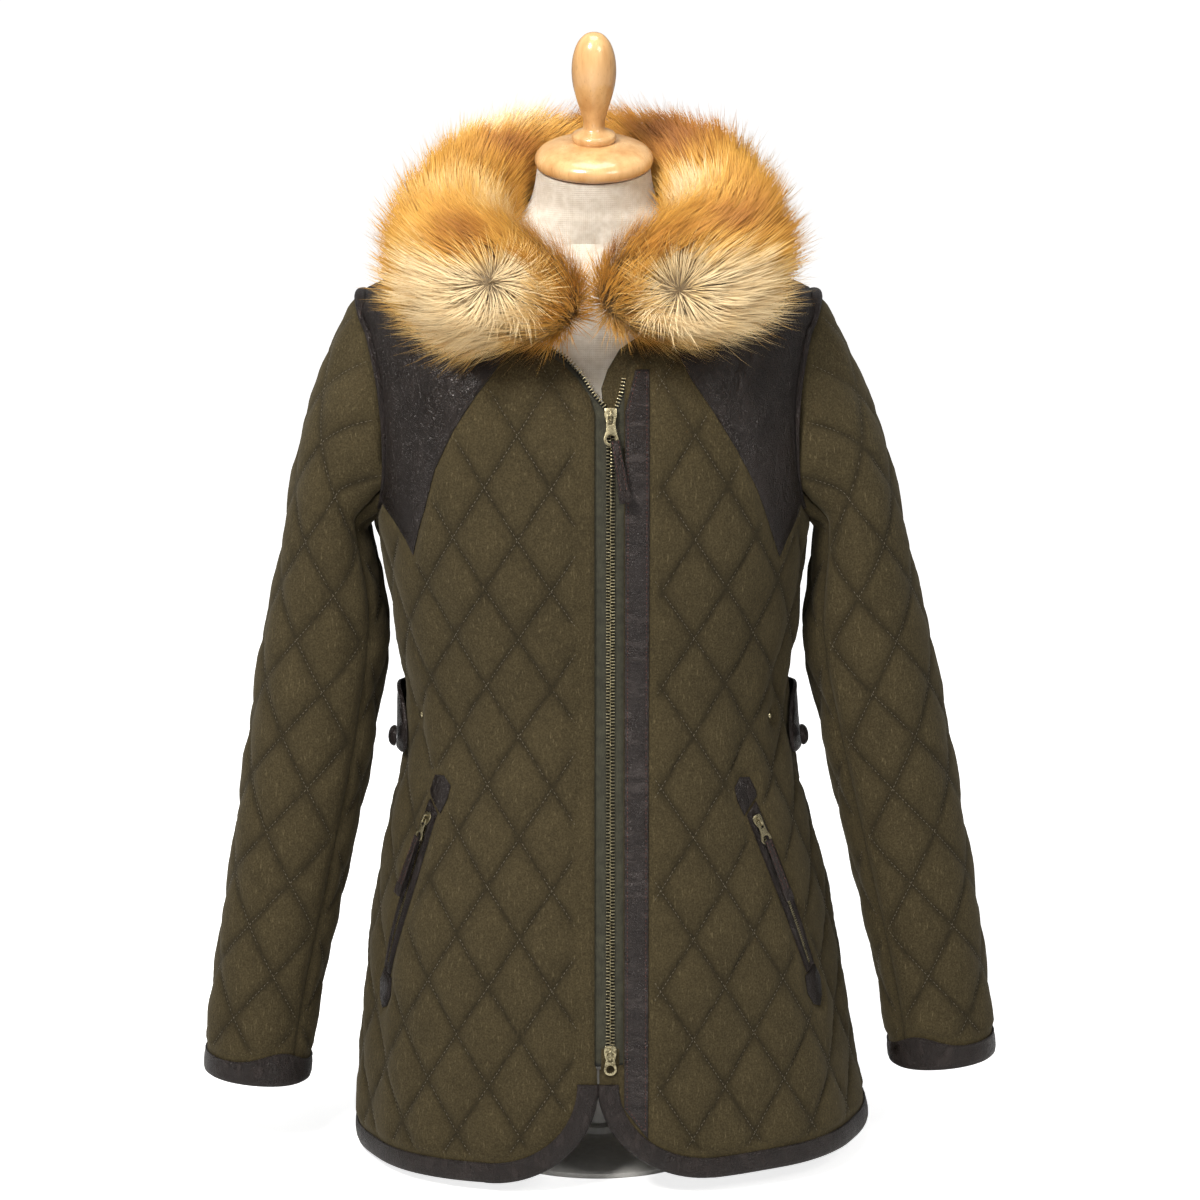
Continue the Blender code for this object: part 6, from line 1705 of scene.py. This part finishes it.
# Round leather piping in the armhole seam
def weltPiece(side, name, replaced):
    turns, angle, level, moved = armholeLines(side)
    sleeve = sleeves[side]
    endOut = sleeve.normal(turns, np.full(turns.shape, sleeveTop))
    startOut = body.normal(moved[:, 0], moved[:, 1])
    line, inner = bodyPoint(angle, level), bodyPoint(moved[:, 0], moved[:, 1])
    trim = unit(inner - line) * coat["gap"]
    low = np.clip(-np.sin(turns) * side, 0, 1)[:, None]
    first, last = inner - trim, line + trim
    middleOut = unit(endOut + startOut)
    rows = [first, first + startOut * (0.0024 - 0.0008 * low)]
    for share in np.linspace(0.12, 0.88, 7):
        rise = math.sin(math.pi * share) ** 0.7
        across = first * (1 - share) + last * share
        out = unit(startOut * (1 - share) + endOut * share + middleOut * rise)
        rows.append(across + out * ((0.0026 - 0.0008 * low) + (0.0040 - 0.0022 * low) * rise))
    rows += [last + endOut * (0.0024 - 0.0008 * low), last]
    piece = sweep(name, np.stack(rows, axis=1), leatherTrim, closed=True)
    place(piece, "leather", replaced)
    return piece


for side in (-1, 1):
    weltPiece(side, f"armhole_welt_{sideNames[side]}_piping", [f"armhole_welt_{sideNames[side]}"])


# Pocket mouth: two rolled lips with the zip's teeth between them
for side in (-1, 1):
    label = sideNames[side]
    top, bottom = pocketLine(side)
    down = unit(bottom - top)
    length = pocketLength[side]
    outline = pocketOutlines(side)["pocket_welt"]

    def lips(verts, depth, crown):
        off = np.abs((verts - top) @ np.array([down[1], -down[0]]))
        at = (verts - top) @ down
        lip = 0.0016 * np.sqrt(np.clip(1 - ((off - 0.0036) / 0.0028) ** 2, 0, 1))
        mouth = smooth((at - 0.020) / 0.01) * smooth((length - 0.010 - at) / 0.01)
        gap = -0.0010 * (1 - smooth((off - 0.0006) / 0.0009)) * mouth
        return 0.0012 * smooth(depth / 0.0008) * 0.6 + 0.0005 + lip * smooth(depth / 0.0009) + gap

    extra = alongPocket(side, [(d, o) for d in np.arange(0.006, length - 0.011, 0.003)
        for o in (-0.0046, -0.0036, -0.0026, -0.0017, -0.0009, 0.0, 0.0009, 0.0017, 0.0026, 0.0036,
            0.0046)])
    extra = [p for p, r in zip(extra, depthInside(extra, outline)) if r > 0.0011]
    leatherPiece(f"pocket_welt_{label}_leather", body, outline, [f"pocket_welt_{label}"],
        material=leatherTrim, step=0.02, dent=0.0, shape=lips, extra=extra)
    row = alongPocket(side, [(d, 0.0) for d in np.arange(0.022, length - 0.016, 0.004)])
    for points, ways in pathsOn(body, [tuple(p) for p in row], coat["cloth"] + 0.0013):
        teeth = alongPaths(f"pocket_zip_{label}_teeth", [(points, ways)], tooth, 0.0019, brass)
        place(teeth, "brass")

print("zips")
tapeTop = zipSizes["tapeLow"] + zipSizes["tape"]
for side in (-1, 1):
    label = sideNames[side]
    centre, away = side * 0.0004, side * zipSizes["tapeWidth"]
    levels = np.linspace(zipSizes["end"] - 0.004, zipSizes["top"] + 0.002, 60)
    edge = [(centre, z) for z in levels] + seen(*zipSizes["teethLine"][side])
    under = (seen((-0.0580, 0.6790), (-0.0400, 0.6735), (-0.0290, 0.6650), (-0.0175, 0.6540),
        (-0.0095, 0.6420))
        if side < 0 else seen((0.0260, 0.6600), (0.0258, 0.6500)))
    # The tape gets painted shade within 3 mm of its edges, beside the teeth and where it runs under the
    # cloth
    leatherPiece(f"zip_tape_{label}_woven", body, edge + under + [(away, z) for z in levels[::-1]],
        [f"zip_tape_{label}"],
        material=tape, low=zipSizes["tapeLow"], thick=zipSizes["tape"], dent=0.0, crumple=0.0,
        slot="zip_tape", step=0.012, rimShade=0.0030)
    teethRow = [(side * 0.0016, z) for z in np.arange(0.1275, zipSizes["top"] - 0.004, 0.003)]
    points, ways = pathsOn(body, teethRow, tapeTop + 0.0008)[0]
    upper = seen(*zipSizes["teethLine"][side])
    upper = [tuple(p) for p in spline(upper, 24)]
    above, aboveWays = pathsOn(body, [(a + side * 0.0006, u) for a, u in upper], tapeTop + 0.0008)[0]
    rows = [(points, ways), (above, aboveWays)]
    if side < 0:
        shift = zipSizes["pitch"] / 2 * np.array([0, 0, 1.0])
        rows = [((points + shift)[::-1], ways[::-1]), (above[::-1], aboveWays[::-1])]
    teeth = alongPaths(f"zip_teeth_{label}", rows, tooth, zipSizes["pitch"], brass)
    place(teeth, "brass")
leatherPiece("front_edge_facing", body,
    [(-0.0075, 0.0800), (0.0075, 0.0800), (0.0075, 0.1240), (-0.0075, 0.1240)], (), material=wool,
    low=-0.0018, thick=0.0012, dent=0.0, crumple=0.0, slot="wool", step=0.006)

guardShape = ((0.0045, 0.6000), (0.0045, 0.6380), (0.0030, 0.6540), (0.0080, 0.6680), (0.0175, 0.6830),
    (0.0330, 0.6930), (0.0460, 0.6990), (0.0560, 0.6960), (0.0460, 0.6840), (0.0330, 0.6740),
    (0.0290, 0.6600), (0.0285, 0.6380), (0.0285, 0.6000))
leatherPiece("zip_guard_cloth", body, seen(*guardShape), ["zip_guard"], material=wool,
    low=zipSizes["tapeLow"] - 0.0004 - coat["cloth"],
    thick=coat["cloth"], dent=0.0002, slot="wool", step=0.008)


def zipHead(name, at, size=1.0, ring=False, turn=0.0, tag=0.0, thick=0.0044, bodies=(coatBody, coatBody),
        swing=0.0):
    def flatAt(height, spin=0.0):
        return at @ Matrix.Translation((0, 0, height)) @ Matrix.Rotation(spin, 4, "Z")

    half = 0.0050 * size
    shield = [(-half * 0.70, 0.0064 * size), (-half * 0.92, 0.0056 * size), (-half, 0.0042 * size),
        (-half, 0.0006 * size), (-half * 0.86, -0.0026 * size), (-half * 0.70, -0.0050 * size),
        (-half * 0.52, -0.0062 * size)]
    outline = shield + [(-x, y) for x, y in shield[::-1]]
    core = [(x * 0.66, y * 0.82) for x, y in outline]
    lower = plate(name + "_a", outline, [], thick * 0.34, 0.00025 * size, brass, flatAt(thick * 0.17))
    middle = plate(name + "_b", core, [], thick * 0.40, 0.0001, brass, flatAt(thick * 0.50))
    upper = plate(name + "_c", outline, [], thick * 0.34, 0.00045 * size, brass, flatAt(thick * 0.83))
    place(joined(f"{name}_slider_body", [lower, middle, upper]), "brass", [f"{name}_slider"])
    axisHeight = thick + coat["gap"] + 0.0015 * size
    bail = [(0.0046, 0.0), (0.0046, 0.0028), (0.0034, 0.0040), (-0.0034, 0.0040), (-0.0046, 0.0028),
        (-0.0046, 0.0), (-0.0034, 0.0), (-0.0034, 0.0020), (-0.0026, 0.0028), (0.0026, 0.0028),
        (0.0034, 0.0020), (0.0034, 0.0)]
    standing = Matrix(((0, 0, 1, 0), (1, 0, 0, 0), (0, 1, 0, 0), (0, 0, 0, 1)))
    upright = at @ Matrix.Translation((0, 0, thick + coat["gap"])) @ standing
    place(plate(f"{name}_bail_wire", [(x * size, y * size) for x, y in bail], [], 0.0014 * size,
        0.0003 * size, brass, upright),
        "brass", [f"{name}_bail"])
    pullThick = 0.0011 * size
    if ring:
        outer = ([(-0.0030, 0.0007), (-0.0038, -0.0050)] + arc(0, -0.0115, 0.0052, 160, 380, 25)
            + [(0.0038, -0.0050), (0.0030, 0.0007)])
        holes = [[(-0.0018, -0.0007), (-0.0018, -0.0052), (0.0018, -0.0052), (0.0018, -0.0007)],
            circle(0, -0.0115, 0.0033, 28)]
    else:
        outer = ([(-0.0034, 0.0007), (-0.0036, -0.0085), (-0.0040, -0.0120)]
            + arc(0, -0.0185, 0.0058, 150, 390, 29)
            + [(0.0040, -0.0120), (0.0036, -0.0085), (0.0034, 0.0007)])
        holes = [[(-0.0018, -0.0007), (-0.0018, -0.0072), (0.0018, -0.0072), (0.0018, -0.0007)],
            circle(0, -0.0185, 0.0034, 28)]
    scaled = [[(x * size, y * size) for x, y in row] for row in [outer, *holes]]
    place(plate(f"{name}_pull_metal", scaled[0], scaled[1:], pullThick, 0.00028 * size, brass,
        flatAt(axisHeight, turn)),
        "brass", [f"{name}_pull"], bodies[0])
    if tag:
        wide, start = 0.0038 * size, -0.0200 * size
        strip = flatAt(axisHeight + pullThick / 2 + coat["gap"] + 0.0009, turn + swing)
        shape = [(-wide, start), (-wide * 0.86, start - 0.012 * size), (-wide, start - 0.022),
            (-wide * 1.12, start - tag + 0.004), (-wide * 1.15, start - tag), (wide * 1.15, start - tag),
            (wide * 1.12, start - tag + 0.004), (wide, start - 0.022),
            (wide * 0.86, start - 0.012 * size), (wide, start)]
        strap = plate(name + "_d", shape, [], 0.0018, 0.0006, leatherTrim, strip)
        fold = [(x * wide * 1.28, start - tag - 0.0008 + y * 0.0095)
            for x, y in ((-1, 0), (1, 0), (1, 1), (-1, 1))]
        turnedEnd = plate(name + "_e", fold, [], 0.0027, 0.0006, leatherTrim, strip)
        place(joined(f"{name}_tag_leather", [strap, turnedEnd]), "leather", [f"{name}_tag"], bodies[0])
        rows = []
        for across in (-wide * 0.62, wide * 0.62):
            ends = [strip @ Vector((across, start - 0.002 - (tag - 0.005) * k / 8, 0.00095))
                for k in range(9)]
            rows.append((ends, [strip.to_3x3() @ Vector((0, 0, 1))] * 9))
        stitchPaths["tag"][name] = (rows, bodies[0])


sliderSeat = tapeTop + coat["gap"] * 2
zipHead("top_zip", frameOn(body, 0.0, zipSizes["top"], sliderSeat), tag=0.049,
    bodies=("top_zip_pull_set",), swing=math.radians(9.0))
zipHead("bottom_zip", frameOn(body, 0.0, zipSizes["end"] + 0.007, sliderSeat),
    ring=True, bodies=("bottom_zip_pull_set",))
pocketSeat = {-1: 0.0035, 1: 0.0039}
for side in (-1, 1):
    top, bottom = pocketLine(side)
    spot = top + (bottom - top) / np.linalg.norm(bottom - top) * 0.0160
    slant = math.atan2(bottom[0] - top[0], top[1] - bottom[1])
    zipHead(f"pocket_zip_{sideNames[side]}", frameOn(body, *spot, pocketSeat[side], slant), size=0.82,
        tag=0.052, turn=-slant * 0.25, thick=0.0026, bodies=(f"pocket_pull_{sideNames[side]}",))

print("tabs and studs")
tabShape = (
    # degrees from the front, low level, high level, lift
    (75, 0.3440, 0.3560, 0.0060), (77, 0.3400, 0.3700, 0.0062), (81, 0.3385, 0.3860, 0.0072),
    (86, 0.3380, 0.3925, 0.0085), (91, 0.3385, 0.3935, 0.0085), (97, 0.3400, 0.3920, 0.0072),
    (104, 0.3420, 0.3900, 0.0062), (112, 0.3440, 0.3880, 0.0056), (120, 0.3450, 0.3870, 0.0054),
)
for side in (-1, 1):
    label = sideNames[side]
    sections = []
    for degrees, low, high, lift in spline(tabShape, 44):
        angle = math.radians(degrees) * side
        mid, half = (low + high) / 2, (high - low) / 2
        ring = [(-1.0, 0.0), (0.0, 0.0), (1.0, 0.0), (1.0, 0.0018), (0.96, 0.0026), (0.86, 0.0029),
            (0.74, 0.0026), (0.5, 0.0032), (0.0, 0.0034), (-0.5, 0.0032), (-0.74, 0.0026),
            (-0.86, 0.0029), (-0.96, 0.0026), (-1.0, 0.0018)]
        levels = np.array([mid + half * a for a, _ in ring])
        sections.append(body.lift(np.full(len(ring), angle), levels,
            lift + np.array([h for _, h in ring])))
    place(sweep(f"waist_tab_{label}_leather", sections, leatherTrim), "leather", [f"waist_tab_{label}"])
    across, up = body.flat(math.radians(83) * side, 0.3500)
    button = [(0.0078, 0.0), (0.0085, 0.0006), (0.0086, 0.0018), (0.0080, 0.0032), (0.0066, 0.0046),
        (0.0046, 0.0056), (0.0022, 0.0061), (0.0, 0.0062)]
    place(turned(f"tab_button_{label}_leather", button, leatherTrim,
        frameOn(body, float(across), float(up), 0.0125), 40),
        "leather", [f"tab_button_{label}"])
    dome = [(0.0026, 0.0), (0.00275, 0.0004), (0.0025, 0.0009), (0.0018, 0.0015), (0.0009, 0.0018),
        (0.0, 0.0019)]
    place(turned(f"stud_{label}_brass", dome, brass,
        frameOn(body, *seen(frontShape["studs"][side])[0], coat["cloth"] + coat["gap"]), 28),
        "brass", [f"stud_{label}"])

print("dress form")
formRows = []
for level in np.concatenate([np.linspace(formShape["bottom"] + 0.022, 0.640, 40),
        [0.652, 0.664, 0.675, 0.686, 0.693, 0.700, 0.7045, 0.7085, 0.712, 0.716, 0.722, 0.727, 0.733,
            0.740, 0.746, 0.752, 0.757, 0.762]]):
    inset = 0.0050 + 0.0060 * float(smooth((0.700 - level) / 0.080))
    formRows.append(formSection(level, inset, 0.0060 * float(smooth((level - 0.56) / 0.06))))
for drop, share in ((0.010, 0.030), (0.020, 0.060)):
    ring = formSection(formShape["bottom"] + 0.022, 0.011, 0.0)
    ring[:, :2] = ring[:, :2] * (1 - share * drop / 0.010)
    ring[:, 2] -= drop
    formRows.insert(0, ring)
formRows += [neckSection(*row) for row in spline(formShape["neck"], 10)]
place(sweep("form_torso_cloth", formRows, formCloth), "form_cloth", ["form_torso"])

capFrame = Matrix.Translation((-0.0028, -0.0155, 0.8166)) @ Matrix.Rotation(formShape["lean"], 4, "X")
place(turned("form_neck_cap_beech", [(0.0, 0.0)] + spline(formShape["cap"], 40), beech, capFrame, 80),
    "beech", ["form_neck_cap"])
place(turned("form_finial_beech", [(0.0, 0.0)] + spline(formShape["finial"], 60), beech,
    capFrame @ Matrix.Translation((0, 0, 0.0208 + coat["gap"])), 64), "beech", ["form_finial"])
place(turned("form_base_painted", formShape["base"], standPaint, Matrix.Identity(4), 96), "stand",
    ["form_base"])
poleLow, poleHigh = formShape["base"][-1][1] + coat["gap"], formShape["bottom"] + 0.002 - coat["gap"]
place(turned("form_pole_painted", [(0.0, poleLow), (formShape["pole"], poleLow),
    (formShape["pole"], poleHigh), (0.0, poleHigh)],
    standPaint, Matrix.Identity(4), 48), "stand", ["form_pole"])

print("stitches")
for kind, unitPiece, spacing, material, wobble in (("wool", woolStitch, 0.0036, woolThread, 0.10),
        ("dark", fineStitch, 0.0032, darkThread, 0.05), ("russet", fineStitch, 0.0032, redThread, 0.05)):
    threads = alongPaths(f"stitches_{kind}", stitchPaths[kind], unitPiece, spacing, material, wobble, 5)
    place(threads, "wool" if kind == "wool" else "leather")
    print(threads.name, len(threads.data.polygons))
for name, (rows, rides) in stitchPaths["tag"].items():
    place(alongPaths(f"{name}_tag_stitches", rows, fineStitch, 0.0034, redThread, 0.03, 7), "leather", (),
        rides)

print("fur")


def makeHairTree():
    tree, given, made = startGroup("combedHair", "GeometryNodeTree",
        [("Geometry", "Geometry"), ("Strand", "Object"),
            ("Density", "Float", 1000.0), ("Seed", "Int", 1),
            ("Shortest", "Float", 0.7), ("Longest", "Float", 1.1), ("Lock Scale", "Float", 120.0),
            ("Lock Pull", "Float", 0.6), ("Fray", "Float", 0.2), ("Finish", "Material")],
        [("Geometry", "Geometry")])
    tree.is_modifier = True

    def named(label, kind="FLOAT_VECTOR"):
        return addNode(tree, "GeometryNodeInputNamedAttribute", {"Name": label},
            data_type=kind).outputs["Attribute"]

    amount = maths(tree, "MULTIPLY", given["Density"], named("cover", "FLOAT"))
    spots = addNode(tree, "GeometryNodeDistributePointsOnFaces",
        {"Mesh": given["Geometry"], "Density": amount,
            "Seed": given["Seed"]})
    lockNoise = addNode(tree, "ShaderNodeTexNoise", {"Scale": given["Lock Scale"], "Detail": 1.0})
    lockWay = vectorMaths(tree, "SUBTRACT", lockNoise.outputs["Color"], (0.5, 0.5, 0.5))
    pull = addNode(tree, "ShaderNodeCombineXYZ", {k: given["Lock Pull"] for k in "XYZ"}).outputs[0]
    way = vectorMaths(tree, "ADD", named("lie"), vectorMaths(tree, "MULTIPLY", lockWay, pull))
    way = vectorMaths(tree, "ADD", way, randomVector(tree, given["Fray"], given["Seed"]))
    turn = addNode(tree, "FunctionNodeAxesToRotation", {0: way, 1: named("comb")},
        primary_axis="Z", secondary_axis="X")
    draw = addNode(tree, "FunctionNodeRandomValue",
        {2: given["Shortest"], 3: given["Longest"],
            "Seed": maths(tree, "ADD", given["Seed"], 7.0)}, data_type="FLOAT")
    long = maths(tree, "MULTIPLY", draw.outputs[1], named("long", "FLOAT"))
    size = addNode(tree, "ShaderNodeCombineXYZ", {"X": long, "Y": 1.0, "Z": long})
    strand = addNode(tree, "GeometryNodeObjectInfo", {"Object": given["Strand"]})
    copies = addNode(tree, "GeometryNodeInstanceOnPoints",
        {"Points": spots.outputs["Points"], "Instance": strand.outputs["Geometry"],
            "Rotation": turn.outputs[0], "Scale": size.outputs[0]})
    shade = addNode(tree, "FunctionNodeRandomValue",
        {2: 0.0, 3: 1.0, "Seed": maths(tree, "ADD", given["Seed"], 31.0)}, data_type="FLOAT")
    kept = addNode(tree, "GeometryNodeStoreNamedAttribute",
        {"Geometry": copies.outputs[0], "Name": "shade", "Value": shade.outputs[1]},
        data_type="FLOAT", domain="INSTANCE")
    return paintCopies(tree, given, made, kept)


# A flat tapering ribbon, one unit long, that bends towards +X
def makeStrand(name, width, bend):
    rows = ((0.0, 0.8), (0.38, 1.0), (0.72, 0.65))
    verts, along = [], []
    for t, wide in rows:
        for sign in (-1, 1):
            verts.append((bend * t * t, sign * width / 2 * wide, t * (1 - 0.25 * bend * t)))
            along.append(t)
    verts.append((bend, 0.0, 1 - 0.25 * bend))
    along.append(1.0)
    piece = addMesh(name, verts, [(0, 1, 3, 2), (2, 3, 5, 4), (4, 5, 6)], fur, 180.0)
    setValues(piece.data, "along", along)
    return piece


hairTree = makeHairTree()
downStrand = makeStrand("downStrandUnit", 0.00058, 0.38)
guardStrand = makeStrand("guardStrandUnit", 0.00040, 0.22)
seatRows = np.array(furSeat())
seatPiece = sweep("seatUnit", seatRows, fur)
seatTree = BVHTree.FromPolygons([tuple(v.co) for v in seatPiece.data.vertices],
    [tuple(f.vertices) for f in seatPiece.data.polygons])
bpy.data.objects.remove(seatPiece, do_unlink=True)


# Keeps a point at least a little outside what the fur lies on
def outsideSeat(point, room):
    near, normal, _, _ = seatTree.find_nearest(Vector(point))
    if (Vector(point) - near).dot(normal) < room:
        return np.array(near + normal * room)
    return np.array(point)


furLook = {
    "core": 0.56, "rings": 56, "sides": 40, "density": 480000.0, "longDensity": 60000.0, "seed": 12,
    # the middle of each ball, where the hair parts
    "partings": {-1: (-0.083, -0.215, 0.752), 1: (0.069, -0.215, 0.741)},
    # x, y, z, radius and tone change: cream below, rust above
    "zones": (
        (-0.093, -0.180, 0.728, 0.036, -0.75), (-0.097, -0.165, 0.703, 0.040, -0.55),
        (-0.128, -0.150, 0.721, 0.028, -0.30), (-0.085, -0.160, 0.776, 0.020, 0.55),
        (-0.110, -0.150, 0.768, 0.018, 0.25), (-0.064, -0.080, 0.797, 0.020, -0.55),
        (-0.131, -0.070, 0.796, 0.030, -0.10), (-0.074, 0.000, 0.828, 0.026, 0.60),
        (-0.087, 0.045, 0.852, 0.034, -0.65), (-0.023, 0.080, 0.857, 0.020, 0.80),
        (-0.040, -0.150, 0.752, 0.020, 0.35), (-0.150, -0.090, 0.735, 0.022, 0.25),
        (0.082, -0.180, 0.732, 0.032, -0.70), (0.090, -0.160, 0.706, 0.042, -0.60),
        (0.121, -0.140, 0.720, 0.028, -0.35), (0.094, -0.150, 0.785, 0.024, 0.45),
        (0.060, -0.160, 0.772, 0.018, 0.30), (0.137, -0.110, 0.769, 0.026, 0.25),
        (0.065, -0.070, 0.803, 0.022, -0.60), (0.074, 0.000, 0.832, 0.026, 0.65),
        (0.050, 0.040, 0.842, 0.022, 0.45), (0.110, 0.000, 0.800, 0.022, 0.25),
        (0.030, -0.150, 0.760, 0.020, 0.30), (0.000, 0.130, 0.800, 0.040, -0.35),
        (-0.080, 0.120, 0.790, 0.030, 0.45), (0.080, 0.125, 0.790, 0.030, 0.50),
        (-0.140, 0.060, 0.770, 0.030, -0.35), (0.140, 0.060, 0.770, 0.030, -0.30),
        (0.020, 0.120, 0.750, 0.040, 0.30),
    ),
}


def furPieces(side):
    label, count, rings = sideNames[side], furLook["sides"], furLook["rings"]
    path = np.array(spline(furShape["roll"], rings))
    if side < 0:
        path[:, 2] -= 0.006 * smooth((0.04 - path[:, 1]) / 0.10)
    points = np.column_stack([-0.006 + side * path[:, 0], path[:, 1], path[:, 2]])
    points[-1, 0] = -0.006 + side * coat["gap"]
    along = unit(np.gradient(points, axis=0))
    along[-1] = (-side, 0, 0)
    turns = np.linspace(0, 2 * math.pi, count + 1)[:-1]
    rows = []
    for point, way, (_, _, _, across, high) in zip(points, along, path):
        sideways = unit(np.cross(way, (0, 0, 1)))
        upward = unit(np.cross(sideways, way))
        ring = (sideways * across * np.cos(turns)[:, None] + upward * high * np.sin(turns)[:, None])
        rows.append(point + ring * furLook["core"])
    rows = np.array(rows)
    lumps = waves(rows.reshape(-1, 3), 0.05, 60 + side).reshape(rows.shape[:2])
    rows += (rows - points[:, None, :]) * (0.10 * lumps)[..., None]
    flatRows = np.array([outsideSeat(p, 0.0012) for p in rows.reshape(-1, 3)])
    core = sweep(f"fur_collar_{label}_pelt", flatRows.reshape(rows.shape), furSkin, smoothAngle=180.0)
    mesh = core.data
    normals = np.zeros(len(mesh.vertices) * 3)
    mesh.vertices.foreach_get("normal", normals)
    normals = normals.reshape(-1, 3)
    spots = np.array([tuple(v.co) for v in mesh.vertices])
    ringOf = np.repeat(np.arange(rings), count)
    forward = np.repeat(along, count, axis=0)
    comb = unit(forward - normals * np.sum(forward * normals, axis=1)[:, None])
    comb[:, 2] += 0.15
    lean = np.interp(ringOf, [0, rings * 0.2, rings], [1.05, 0.75, 0.40])
    apart = spots - np.array(furLook["partings"][side])
    apart -= normals * np.sum(apart * normals, axis=1)[:, None]
    away = np.linalg.norm(apart, axis=1)
    rounded = (np.exp(-(away / 0.050) ** 4) * smooth((-0.10 - normals[:, 1]) / 0.30)
        * smooth((-0.09 - spots[:, 1]) / 0.03))
    comb = unit(comb * (1 - rounded)[:, None] + unit(apart + 1e-7) * rounded[:, None])
    lean = lean * (1 - rounded) + rounded * np.clip(away / 0.030, 0.05, 1.2)
    lie = unit(normals * 0.85 + comb * lean[:, None])
    half = np.repeat((path[:, 3] + path[:, 4]) / 2, count)
    long = (1 - furLook["core"]) * np.maximum(half, 0.045) * 1.28 + 0.004
    long *= 1 - 0.30 * rounded
    cover = np.ones(len(spots))
    for k, spot in enumerate(spots):
        tip = spot + lie[k] * long[k]
        held = outsideSeat(tip, 0.0030)
        if np.linalg.norm(held - tip) > 1e-6:
            lie[k] = unit(held - spot)
            long[k] = min(long[k], max(0.014, np.linalg.norm(held - spot) * 1.15))
            near, _, _, _ = seatTree.find_nearest(Vector(spot))
            if (Vector(spot) - near).length < 0.004:
                cover[k] = 0.25
    tone = np.full(len(spots), 0.46) + 0.10 * waves(spots, 0.045, 77 + side)
    for x, y, z, radius, change in furLook["zones"]:
        reach = np.linalg.norm(spots + normals * 0.02 - np.array((x, y, z)), axis=1)
        tone += change * np.exp(-(reach / (radius * 1.25)) ** 2)
    for name, ways in (("lie", lie), ("comb", comb)):
        mesh.attributes.new(name, "FLOAT_VECTOR", "POINT").data.foreach_set("vector",
            np.asarray(ways, np.float32).ravel())
    for name, values in (("long", long), ("cover", cover), ("tone", np.clip(tone, 0, 1))):
        setValues(mesh, name, values)
    for part, strand, density, seed, short, longest, lock, pull, fray in (
            ("down", downStrand, furLook["density"] * 0.5, 1, 0.55, 0.95, 95.0, 1.5, 0.20),
            ("locks", downStrand, furLook["density"] * 0.5, 2, 0.70, 1.10, 60.0, 1.9, 0.16),
            ("guard", guardStrand, furLook["longDensity"], 3, 0.95, 1.30, 45.0, 1.2, 0.26)):
        carrier = addObject(f"fur_collar_{label}_{part}", mesh.copy())
        hair = applyTree(carrier, hairTree,
            {"Strand": strand, "Density": density, "Seed": furLook["seed"] + seed * 10 + side,
                "Shortest": short, "Longest": longest, "Lock Scale": lock, "Lock Pull": pull,
                "Fray": fray, "Finish": fur})
        for spent in ("lie", "comb", "long", "cover"):
            if spent in hair.data.attributes:
                hair.data.attributes.remove(hair.data.attributes[spent])
        place(hair, "fur")
        print(hair.name, sum(len(f.vertices) - 2 for f in hair.data.polygons))
    place(core, "fur", [f"fur_collar_{label}"])


for side in (-1, 1):
    furPieces(side)
for unitPiece in (downStrand, guardStrand):
    bpy.data.objects.remove(unitPiece, do_unlink=True)
for unitPiece in (woolStitch, fineStitch, tooth):
    bpy.data.objects.remove(unitPiece, do_unlink=True)

# Floor, light and camera
floorMaterial, tree, shader, spot = startMaterial("floorPale",
    {"Roughness": 0.9, "Emission Color": (1.0, 1.0, 1.0, 1.0)})
tree.links.new(mixed(tree, noise(tree, spot, 3.0), (0.86, 0.86, 0.855), (0.88, 0.88, 0.875)),
    shader.inputs["Base Color"])
direct = addNode(tree, "ShaderNodeLightPath").outputs["Is Camera Ray"]
tree.links.new(ranged(tree, direct, 0.0, 1.0, 0.0, 0.80), shader.inputs["Emission Strength"])
sweepRow = [(-40.0, 0.0), (9.0, 0.0)] + [(9.0 + 4 * math.sin(t), 4 - 4 * math.cos(t))
    for t in np.linspace(0.15, math.pi / 2, 9)] + [(13.0, 40.0)]
floor = addMesh("floor", [(x, y, z) for y, z in sweepRow for x in (-40, 40)],
    [(2 * k, 2 * k + 1, 2 * k + 3, 2 * k + 2) for k in range(len(sweepRow) - 1)], floorMaterial)

world = bpy.context.scene.world or bpy.data.worlds.new("studio")
bpy.context.scene.world = world
world.use_nodes = True
backdrop = world.node_tree.nodes["Background"]
backdrop.inputs["Color"].default_value = (1.0, 1.0, 1.0, 1.0)
backdrop.inputs["Strength"].default_value = 0.26

lights = (
    # name, place, aim, size, watts, colour
    ("keyLight", (-0.95, -1.75, 2.30), (0.0, 0.0, 0.74), 0.8, 72.0, (1.0, 0.98, 0.95)),
    ("fillLight", (1.3, -1.9, 1.9), (0.05, 0.0, 0.7), 0.9, 15.0, (1.0, 0.985, 0.96)),
    ("topLight", (0.0, -0.3, 2.6), (0.0, 0.0, 0.7), 1.4, 24.0, (1.0, 1.0, 1.0)),
)
for name, at, aim, size, watts, colour in lights:
    lamp = bpy.data.lights.new(name, "AREA")
    lamp.shape, lamp.size, lamp.energy, lamp.color = "DISK", size, watts, colour
    lampPiece = addObject(name, lamp)
    lampPiece.location = at
    lampPiece.rotation_euler = (Vector(aim) - Vector(at)).to_track_quat("-Z", "Y").to_euler()

camera = {"distance": 3.2, "elevation": 12.0, "aim": (0.002, 0.0, 0.4606), "focal": 3912.0 / 1200.0}
lens = bpy.data.cameras.new("photoCamera")
lens.sensor_width, lens.lens = 36.0, 36.0 * camera["focal"]
lens.clip_end = 200.0
eye = addObject("photoCamera", lens)
tilt = math.radians(camera["elevation"])
aim = Vector(camera["aim"])
eye.location = aim + Vector((0.0, -math.cos(tilt), math.sin(tilt))) * camera["distance"]
eye.rotation_euler = (math.pi / 2 - tilt, 0.0, 0.0)
bpy.context.scene.camera = eye
bpy.context.scene.view_settings.view_transform = "Standard"
